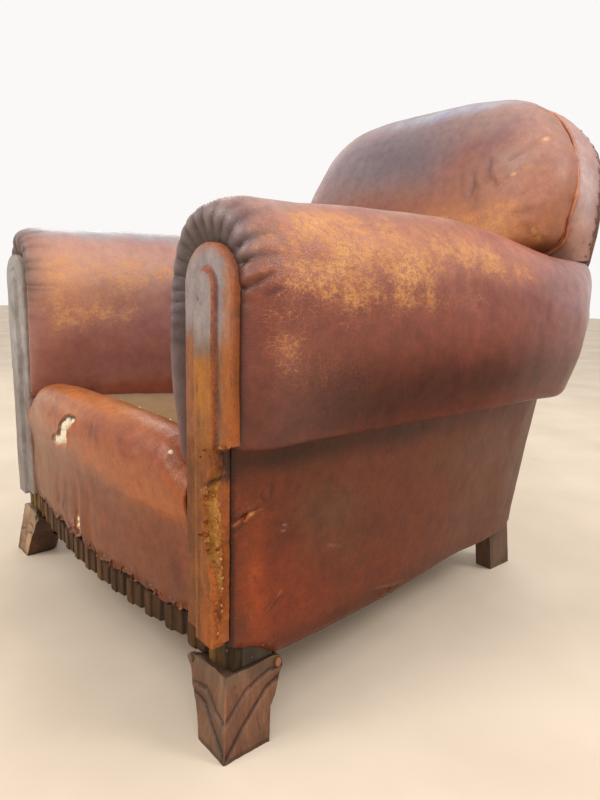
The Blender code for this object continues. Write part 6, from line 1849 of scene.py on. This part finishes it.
# ---------------------------------------------------------------- outside back
def outside_back():
    nc, nr = 161, 193
    t = np.linspace(0, 1, nr)
    zs = 0.1100 + (0.8925 - 0.1100) * (1 - (1 - t) ** 1.15)
    rows = []
    for z in zs:
        hw = float(back_half(z)) - 0.0008
        if z > 0.835:
            hw = float(np.interp(z, (0.835, 0.862, 0.880, 0.8925), (0.2712, 0.2342, 0.1892, 0.092)))
        x = np.linspace(-hw, hw, nc)
        rows.append(np.stack([x, np.full(nc, float(back_depth(z))), np.full(nc, z)], -1))
    P = np.array(rows)
    n0 = np.array([0, 1.0, -0.24]); n0 /= np.linalg.norm(n0)
    N = np.broadcast_to(n0, P.shape).copy()
    X, Z = P[..., 0], P[..., 2]
    hw = np.array([max(0.05, float(back_half(z))) for z in zs])[:, None]
    edge = smooth(1.0, 0.90, np.abs(X) / hw) * smooth(0.11, 0.14, Z) * smooth(0.893, 0.865, Z)
    disp = -0.0012 + 0.0045 * edge * (0.6 + 0.4 * fbm(P, 5.0, 3, 170)) + edge * (0.0010 * fbm(P * np.array([1, 1, 0.6]), 18.0, 3, 171))
    P = P + N * disp[..., None]
    for pts, dep, wid in ((((-0.26, 0.8, 0.60), (-0.12, 0.8, 0.56), (0.05, 0.8, 0.58), (0.22, 0.8, 0.54)), 0.0012, 0.012),
                          (((-0.20, 0.76, 0.36), (-0.02, 0.76, 0.33), (0.20, 0.76, 0.37)), 0.0012, 0.014),
                          (((0.18, 0.88, 0.80), (0.10, 0.86, 0.70), (0.12, 0.84, 0.62)), 0.0010, 0.012)):
        snapped = [(x, float(back_depth(z)) + 0.002, z) for x, _, z in pts]
        P, _ = crease(P, N, snapped, dep, wid, 0.0006, 0.018, 0.014, 0.8)
    col = paint(P, lin(104, 58, 46), (
        ((0.0, 0.8, 0.70), (0.25, 0.2, 0.15), lin(112, 66, 54), 0.7), ((0.0, 0.75, 0.25), (0.25, 0.2, 0.12), lin(92, 52, 42), 0.8),
        ((0.15, 0.8, 0.50), (0.10, 0.2, 0.12), lin(120, 78, 66), 0.6), ((-0.18, 0.8, 0.62), (0.08, 0.2, 0.10), lin(118, 72, 58), 0.6),
    ), 172)
    col = mixc(col, lin(62, 38, 34), 0.6 * (1 - edge))
    wear = 0.06 + 0.25 * (1 - edge) + 0.25 * blob(P, (0.12, 0.8, 0.82), (0.12, 0.2, 0.05), 0.5, 173) + 0.15 * smooth(0.20, 0.12, Z)
    ob = plate("outside_back_hide", P, 0.0035, 16, HIDE_BACK,
               {"col": col, "wear": np.clip(wear, 0, 1), "dull": np.full(P.shape[:2], 0.2)}, 1, ("outside_back",), N)
    parts = []
    k = 0
    for r in range(3, nr - 2, 6):
        for c, sgn in ((1, -1), (nc - 2, 1)):
            k += 1
            parts.append(dome(P[r, c] + N[r, c] * 0.0003, N[r, c], 0.0030, 0.0015, 9, 3, 0.15, k))
    for c in range(8, nc - 6, 8):
        k += 1
        parts.append(dome(P[2, c] + N[2, c] * 0.0003, N[2, c], 0.0030, 0.0015, 9, 3, 0.15, k))
        parts.append(dome(P[-3, c] + N[-3, c] * 0.0003, N[-3, c], 0.0030, 0.0015, 9, 3, 0.15, k))
    merged("outside_back_tacks", parts, TACK)


outside_back()


# ---------------------------------------------------------------- reeded rail
def rail():
    unit, half = 0.0460, 0.3560
    xs = np.arange(-half, half + 1e-9, half * 2 / 712)
    n = len(xs)
    u = ((xs + 0.010) / unit) % 1.0 * unit * 1000            # mm within a unit
    prof = np.interp(u, (0, 1.2, 2.4, 14.5, 16.0, 17.2, 33.0, 34.4, 36.0, 44.5, 46.0),
                     (-3.6, -1.0, 0.0, 0.0, -0.8, -2.4, -2.4, -3.4, -5.6, -5.6, -3.6)) / 1000
    low = np.interp(u, (0, 1.0, 15.0, 16.5, 33.5, 35.5, 45.0, 46.0), (0.6, 0.0, 0.0, 0.9, 1.1, 2.6, 2.6, 0.6)) / 1000
    # painted light and shade across each reed: the proud faces lighter, the steps and the deep grooves darker
    tone = np.interp(u, (0, 1.5, 2.4, 14.0, 16.4, 18.0, 33.0, 35.0, 37.0, 44.0, 46.0), (0.45, 1.30, 1.45, 1.35, 0.60, 0.95, 0.90, 0.40, 0.34, 0.36, 0.45))
    zs = np.linspace(0, 1, 15)
    rows = []
    for k, x in enumerate(xs):
        f = 0.0125 - float(bow(x)) - prof[k]
        b = 0.0310 - float(bow(x))
        z0 = 0.0965 + low[k] * (1 - 0.8 * float(smooth(0.264, 0.272, abs(x)))) - 0.0055 * float(smooth(0.264, 0.272, abs(x)))
        z1 = 0.1325
        ring = []
        for t in zs:
            z = z0 + (z1 - z0) * t
            edge = 0.0012 * (max(0, 1 - t * 12) ** 2 + max(0, 1 - (1 - t) * 12) ** 2)
            ring.append((x, f + edge, z))
        for t in (1.0, 0.5, 0.0):
            ring.append((x, b, 0.0965 + 0.0360 * t))
        rows.append(ring)
    P = np.array(rows)
    nn = P.shape[1]
    wob = 0.0005 * fbm(P * np.array([1, 1, 0.2]), 240.0, 3, 180) + 0.0004 * fbm(P, 90.0, 3, 181)
    P[:, :15, 1] += wob[:, :15]
    nick = smooth(0.45, 0.75, fbm(P, 120.0, 3, 182))
    P[:, :15, 1] += 0.0018 * nick[:, :15] * np.concatenate([smooth(0.25, 0.0, zs)])[None, :]
    col = np.ones(P.shape) * (tone[:, None, None])
    col = col * (0.85 + 0.30 * fbm(P * np.array([1, 1, 0.2]), 60.0, 3, 183))[..., None]
    # painted shade: the top of the rail darker, under the overhang above it
    col = col * np.where(np.concatenate([zs, [1, .5, 0]])[None, :, None] > 0.9, 0.7, 1.0)
    # a warm brown all along; painted light: the ends, under the facings, brighter and paler; the far end brighter still
    col = col * np.array([0.80, 0.58, 0.36])
    col = col * (1 + np.array([0.50, 0.95, 1.10]) * smooth(0.285, 0.305, np.abs(P[..., 0:1])))
    col = col * (1 + 0.9 * smooth(-0.20, -0.34, P[..., 0:1]))
    make("front_reeding", P.reshape(-1, 3), tube_faces(len(P), nn), RAIL, {"col": col.reshape(-1, 3)}, 1, ("reeded_front_rail",))


rail()


# ---------------------------------------------------------------- carved front feet
def foot(side):
    nz, na = 104, 54

    def leaf(A, Z, face):
        """Depth, and painted shade and highlights, of the carving at A along the face and Z up, in mm: two overlapping
        leaves, each cut in below its edge.
        """
        if face == 0:
            l1 = np.interp(A, (0, 2, 30.2, 47.6, 64.1, 79.6), (39.4, 41.8, 69.1, 75.8, 81.1, 80.2))
            l2 = np.interp(A, (0, 6.7, 24.6, 40.7, 60, 79.5), (-1.5, 5.6, 27.1, 42.7, 61.6, 68.7))
        else:
            l1 = np.interp(A, (0, 4.6, 22.7, 40.9, 63.9, 75.5), (36.8, 40.2, 47.4, 64.2, 60.8, 57.3))
            l2 = np.interp(A, (0, 8.5, 31.1, 44.1, 64.8, 74.9), (-1.5, 7.1, 28.3, 45.3, 48.7, 47.0))
        s1, s2 = l1 - Z, l2 - Z                    # below each line when positive
        c1 = float(smooth(-0.7, 0.5, s1))
        c2 = float(smooth(-0.7, 0.5, s2))
        up, gap = max(10.0, 97.0 - l1), max(6.0, l1 - l2)
        # every field sinks towards the line below it, and the next one starts proud; it all runs out at the far end
        edge = 1.0 if face == 0 else float(smooth(0.0, 14.0, 70.0 - A)) * 0.75 + 0.25
        dep = 3.2 * (1 - c1) * (1 - min(1.0, max(0.0, -s1) / min(up, 26.0))) ** 1.3 * float(smooth(0.0, 5.0, A)) * edge
        dep += 3.4 * c1 * (1 - c2) * min(1.0, max(0.0, s1) / gap) ** 1.4 * float(smooth(0.0, 5.0, A)) * edge
        dep += 0.8 * c2 * float(smooth(3.0, 16.0, A)) * float(smooth(2.0, 14.0, s2))
        shade = 1.0 - 0.62 * math.exp(-((s1 + 1.6) / 2.2) ** 2) * float(smooth(1.0, 5.0, A)) - 0.62 * math.exp(-((s2 + 1.6) / 2.2) ** 2) * float(smooth(1.0, 5.0, A))
        shade += 0.34 * math.exp(-((s1 - 1.6) / 1.7) ** 2) + 0.24 * math.exp(-((s2 - 1.4) / 1.4) ** 2)
        shade -= 0.16 * c1 * (1 - c2)
        return dep / 1000, max(0.25, shade)

    def rim_of(face, q, w):
        a = q * w * 1000
        if face == 0:
            return float(np.interp(a, (0, 2, 13.3, 26.2, 46.5, 66.5, 78.1), (0.0936, 0.0944, 0.0945, 0.0954, 0.0966, 0.0985, 0.0962)))
        if face == 3:
            return float(np.interp(a, (0, 1.1, 12.6, 23.3, 43.4, 64.3), (0.0936, 0.0936, 0.0964, 0.0976, 0.0953, 0.0937)))
        if face == 1:
            return float(np.interp(q, (0, 0.27, 0.50, 0.75, 1.0), (0.0962, 0.0955, 0.0900, 0.0640, 0.0340)))
        d = -0.0050 + q * w
        return float(np.interp(d, (-0.0050, 0.0, 0.0145, 0.029, 0.046, 0.066), (0.0937, 0.0900, 0.0790, 0.0640, 0.0400, 0.0320)))

    rows, cols = [], []
    rims = None
    for t in np.linspace(0, 1, nz):
        ring, cc = [], []
        for face in range(4):
            for k in range(na):
                a = k / na
                q = a if face in (0, 1) else 1 - a
                rim = rim_of(face, q, 0.0790 if face in (0, 2) else 0.0700)
                z = t * rim
                ws = float(np.interp(z, (0, 0.019, 0.040, 0.052, 0.075, 0.0825, 0.090, 0.096), (0.0655, 0.0657, 0.0664, 0.0738, 0.0798, 0.0843, 0.0830, 0.0781)))
                wf = float(np.interp(z, (0.0, 0.025, 0.0416, 0.0573, 0.075, 0.0846, 0.0900, 0.0937), (0.0565, 0.0598, 0.0640, 0.0724, 0.0753, 0.0849, 0.0800, 0.0660)))
                # both outer faces lean in towards the rail
                ox, fd = 0.3780 - 0.179 * z, -0.0084 + 0.139 * z
                shade = 1.0
                if face == 0:
                    dep, shade = leaf(q * ws * 1000, z * 1000, 0)
                    x, d = ox - dep, fd + q * ws
                elif face == 1:
                    x, d = ox - q * wf, fd + ws
                elif face == 2:
                    x, d = ox - wf, fd + q * ws
                else:
                    dep, shade = leaf(q * wf * 1000, z * 1000, 3)
                    x, d = ox - q * wf, fd + dep
                # the ridge is a worn edge; the hidden inner rear corner is cut off round
                if face in (0, 3):
                    r = max(0.0, 1 - q * (ws if face == 0 else wf) / 0.0030)
                    x, d = (x - 0.0009 * r * r, d) if face == 0 else (x, d + 0.0009 * r * r)
                cx, cd, rad = ox - wf + 0.024, fd + ws - 0.024, 0.024
                if x < cx and d > cd:
                    m = math.hypot(x - cx, d - cd)
                    if m > rad:
                        x, d = cx + (x - cx) * rad / m, cd + (d - cd) * rad / m
                ring.append((x, d, z))
                # painted shade: the rear and inner faces darker than the front and outer faces
                tint = {0: np.array([1.06, 0.88, 0.78]), 3: np.array([0.96, 0.90, 0.80])}.get(face, np.array([0.62, 0.60, 0.54]))
                if face in (0, 3):
                    # painted sheen: the top of the front and outer faces turns grey-green
                    rim_sheen = float(smooth(0.074, 0.090, z))
                    tint = tint * (1 - rim_sheen) + np.array([0.90, 0.98, 0.92]) * rim_sheen
                    # painted highlight along the ridge between the front and outer faces
                    shade = shade + 0.45 * math.exp(-((q * ws - 0.0006) / 0.0014) ** 2) * float(smooth(0.096, 0.078, z))
                    # darker towards the bottom of the foot
                    worn = float(smooth(0.35, 0.05, z / 0.096)) * 0.18
                    shade = shade * (1 - worn)
                cc.append(tint * shade)
        rows.append(ring)
        cols.append(cc)
    P = np.array(rows)
    C = np.array(cols)
    ctr = np.array([0.3430, 0.0270, 0.0])
    dirn = P - ctr
    dirn[..., 2] = 0
    dirn /= np.linalg.norm(dirn, axis=-1, keepdims=True)
    chip = 0.0006 * fbm(P + side, 70.0, 3, 190) + 0.0003 * fbm(P + side, 300.0, 3, 191)
    P = P + dirn * (chip - 0.0004)[..., None]
    n = P.shape[1]
    # the top: a worn rim, then a flat seat under the rail and the return
    top = P[-1]
    caps, tones = [], []
    for inset in (0.0009, 0.0026, 0.0060, 0.0120, 0.0200, 0.0290, 0.0370):
        ring = ctr + (top - ctr) * np.array([1 - inset / 0.0385, 1 - inset / 0.0385, 0])
        ring[:, 2] = top[:, 2] - 0.0004 if inset < 0.0010 else np.minimum(0.0956, top[:, 2] + 0.55 * inset - 0.0010)
        caps.append(ring)
        # painted shade: the flat seat under the rail much darker than the rim
        tones.append(C[-1] * (0.90 if inset < 0.0010 else 0.45))
    P = np.concatenate([P, np.array(caps)])
    C = np.concatenate([C, np.array(tones)])
    C = C * (0.80 + 0.50 * fbm(P * np.array([1, 1, 0.5]) + side, 35.0, 3, 192))[..., None]
    C = C * (1 - 0.35 * smooth(0.35, 0.65, fbm(P * np.array([1, 1, 0.8]) + side, 110.0, 3, 193)))[..., None]
    C = C * np.where(P[..., 2:3] < 0.005, 0.6, 1.0)
    # painted light: on the far foot the front and outer faces much brighter, the rear and inner faces darker
    if side < 0:
        face_of = np.arange(n) // na
        lit = ((face_of == 0) | (face_of == 3))[None, :, None]
        C = C * np.where(lit, np.array([2.30, 2.80, 2.95]), np.array([0.80, 0.72, 0.62]))
    hand = "left" if side > 0 else "right"
    parts = [(P.reshape(-1, 3), tube_faces(len(P), n), {"col": C.reshape(-1, 3)})]
    # the two scroll ends where the carving stops: rear of the outer face, inner end of the front
    # painted highlight on the outer scroll end, painted shade on the inner one
    for (c, ax, ru, rz, half, tint) in (((0.3626, 0.0798, 0.0883), (1, 0, 0.18), 0.0045, 0.0061, 0.0018, (1.50, 1.25, 1.00)),
                                        ((0.2892, 0.0034, 0.0865), (0, -1, 0.14), 0.0046, 0.0050, 0.0018, (0.62, 0.66, 0.66))):
        c, ax = np.array(c), np.array(ax, float)
        e1 = np.array([0, 0, 1.0]); e2 = np.cross(ax, e1)
        ring_rows, sides = [], 26
        for (h, rr) in ((-1.0, 0.86), (-0.6, 1.0), (0.3, 1.0), (0.75, 0.93), (0.92, 0.70), (0.96, 0.40), (0.90, 0.12)):
            ring = []
            for s in range(sides):
                a = 2 * math.pi * s / sides
                ring.append(c + ax * h * half + e1 * math.cos(a) * rz * rr + e2 * math.sin(a) * ru * rr)
            ring_rows.append(ring)
        V = np.array(ring_rows)
        parts.append((V.reshape(-1, 3), tube_faces(len(V), sides), {"col": np.tile(np.array(tint), (V.shape[0] * sides, 1))}))
    ob = merged("carved_foot_" + hand, parts, FOOT, side)
    ob.data.set_sharp_from_angle(angle=math.radians(38))
    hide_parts("front_foot_" + hand)


for side in (1, -1):
    foot(side)

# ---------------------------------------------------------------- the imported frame's own materials
for name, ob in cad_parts.items():
    if name.startswith("back_post"):
        m = LEG
    elif name.startswith("rail_return"):
        m = timber("stained_return_" + name[-5:].strip("_"), lin(40, 30, 19), lin(74, 58, 38), rough=0.7)
    elif "web" in name:
        m = JUTE
    elif "spring" in name:
        m = STEEL
    else:
        m = BEECH
    for s in range(len(ob.material_slots)):
        ob.material_slots[s].material = m

# ---------------------------------------------------------------- floor, light, camera
def plain_floor():
    g = Graph("pale_floor")
    n = g.noise(3.0, 4.0, 0.5)
    c = g.mix(g.ramp(n, 0.3, 0.7), lin(202, 186, 166), lin(214, 198, 178))
    m = g.done(c, 0.8, None, 0.2)
    me = bpy.data.meshes.new("floor")
    s = 12.0
    me.from_pydata([(-s, -s, 0), (s, -s, 0), (s, s, 0), (-s, s, 0)], [], [(0, 1, 2, 3)])
    me.materials.append(m)
    ob = bpy.data.objects.new("floor", me)
    bpy.context.scene.collection.objects.link(ob)


plain_floor()

scene = bpy.context.scene
world = bpy.data.worlds.new("soft_white")
world.use_nodes = True
bg = world.node_tree.nodes["Background"]
bg.inputs["Color"].default_value = (1.0, 0.985, 0.97, 1)
bg.inputs["Strength"].default_value = 0.96
scene.world = world
scene.view_settings.view_transform = "Standard"


def lamp(name, at, to, size, power, colour=(1, 1, 1)):
    data = bpy.data.lights.new(name, "AREA")
    data.shape = "DISK"
    data.size = size
    data.energy = power
    data.color = colour
    ob = bpy.data.objects.new(name, data)
    ob.location = at
    ob.rotation_euler = (Vector(to) - Vector(at)).to_track_quat("-Z", "Y").to_euler()
    scene.collection.objects.link(ob)


lamp("key", (-0.4, -2.6, 2.6), (0, 0, 0.4), 1.4, 42, (1.0, 0.98, 0.95))
lamp("side", (2.0, 1.10, 2.3), (0.1, 0, 0.4), 0.9, 29, (1.0, 0.98, 0.96))
lamp("rim", (-2.2, 0.6, 1.9), (-0.1, -0.2, 0.5), 1.0, 9, (1.0, 0.99, 0.97))
lamp("top", (0.3, 0.6, 3.0), (0, 0, 0.5), 2.0, 20)
lamp("fill", (1.6, -1.4, 1.9), (-0.25, -0.25, 0.5), 1.4, 12, (1.0, 0.98, 0.96))

cam = bpy.data.cameras.new("camera")
cam.lens = 28.16
cam.sensor_width = 36.0
cam.sensor_fit = "AUTO"
cam.clip_start, cam.clip_end = 0.02, 60.0
view = bpy.data.objects.new("camera", cam)
az, el, ro = math.radians(49.5791), math.radians(10.4956), math.radians(1.4311)
fwd = Vector((-math.sin(az) * math.cos(el), math.cos(az) * math.cos(el), -math.sin(el)))
right = Vector((math.cos(az), math.sin(az), 0))
upv = right.cross(fwd)
r2 = right * math.cos(ro) + upv * math.sin(ro)
u2 = upv * math.cos(ro) - right * math.sin(ro)
M = Matrix((r2, u2, -fwd)).transposed().to_4x4()
M.translation = Vector((0.8989, -0.79112, 0.5394))
view.matrix_world = M
scene.collection.objects.link(view)
scene.camera = view

bpy.context.view_layer.update()
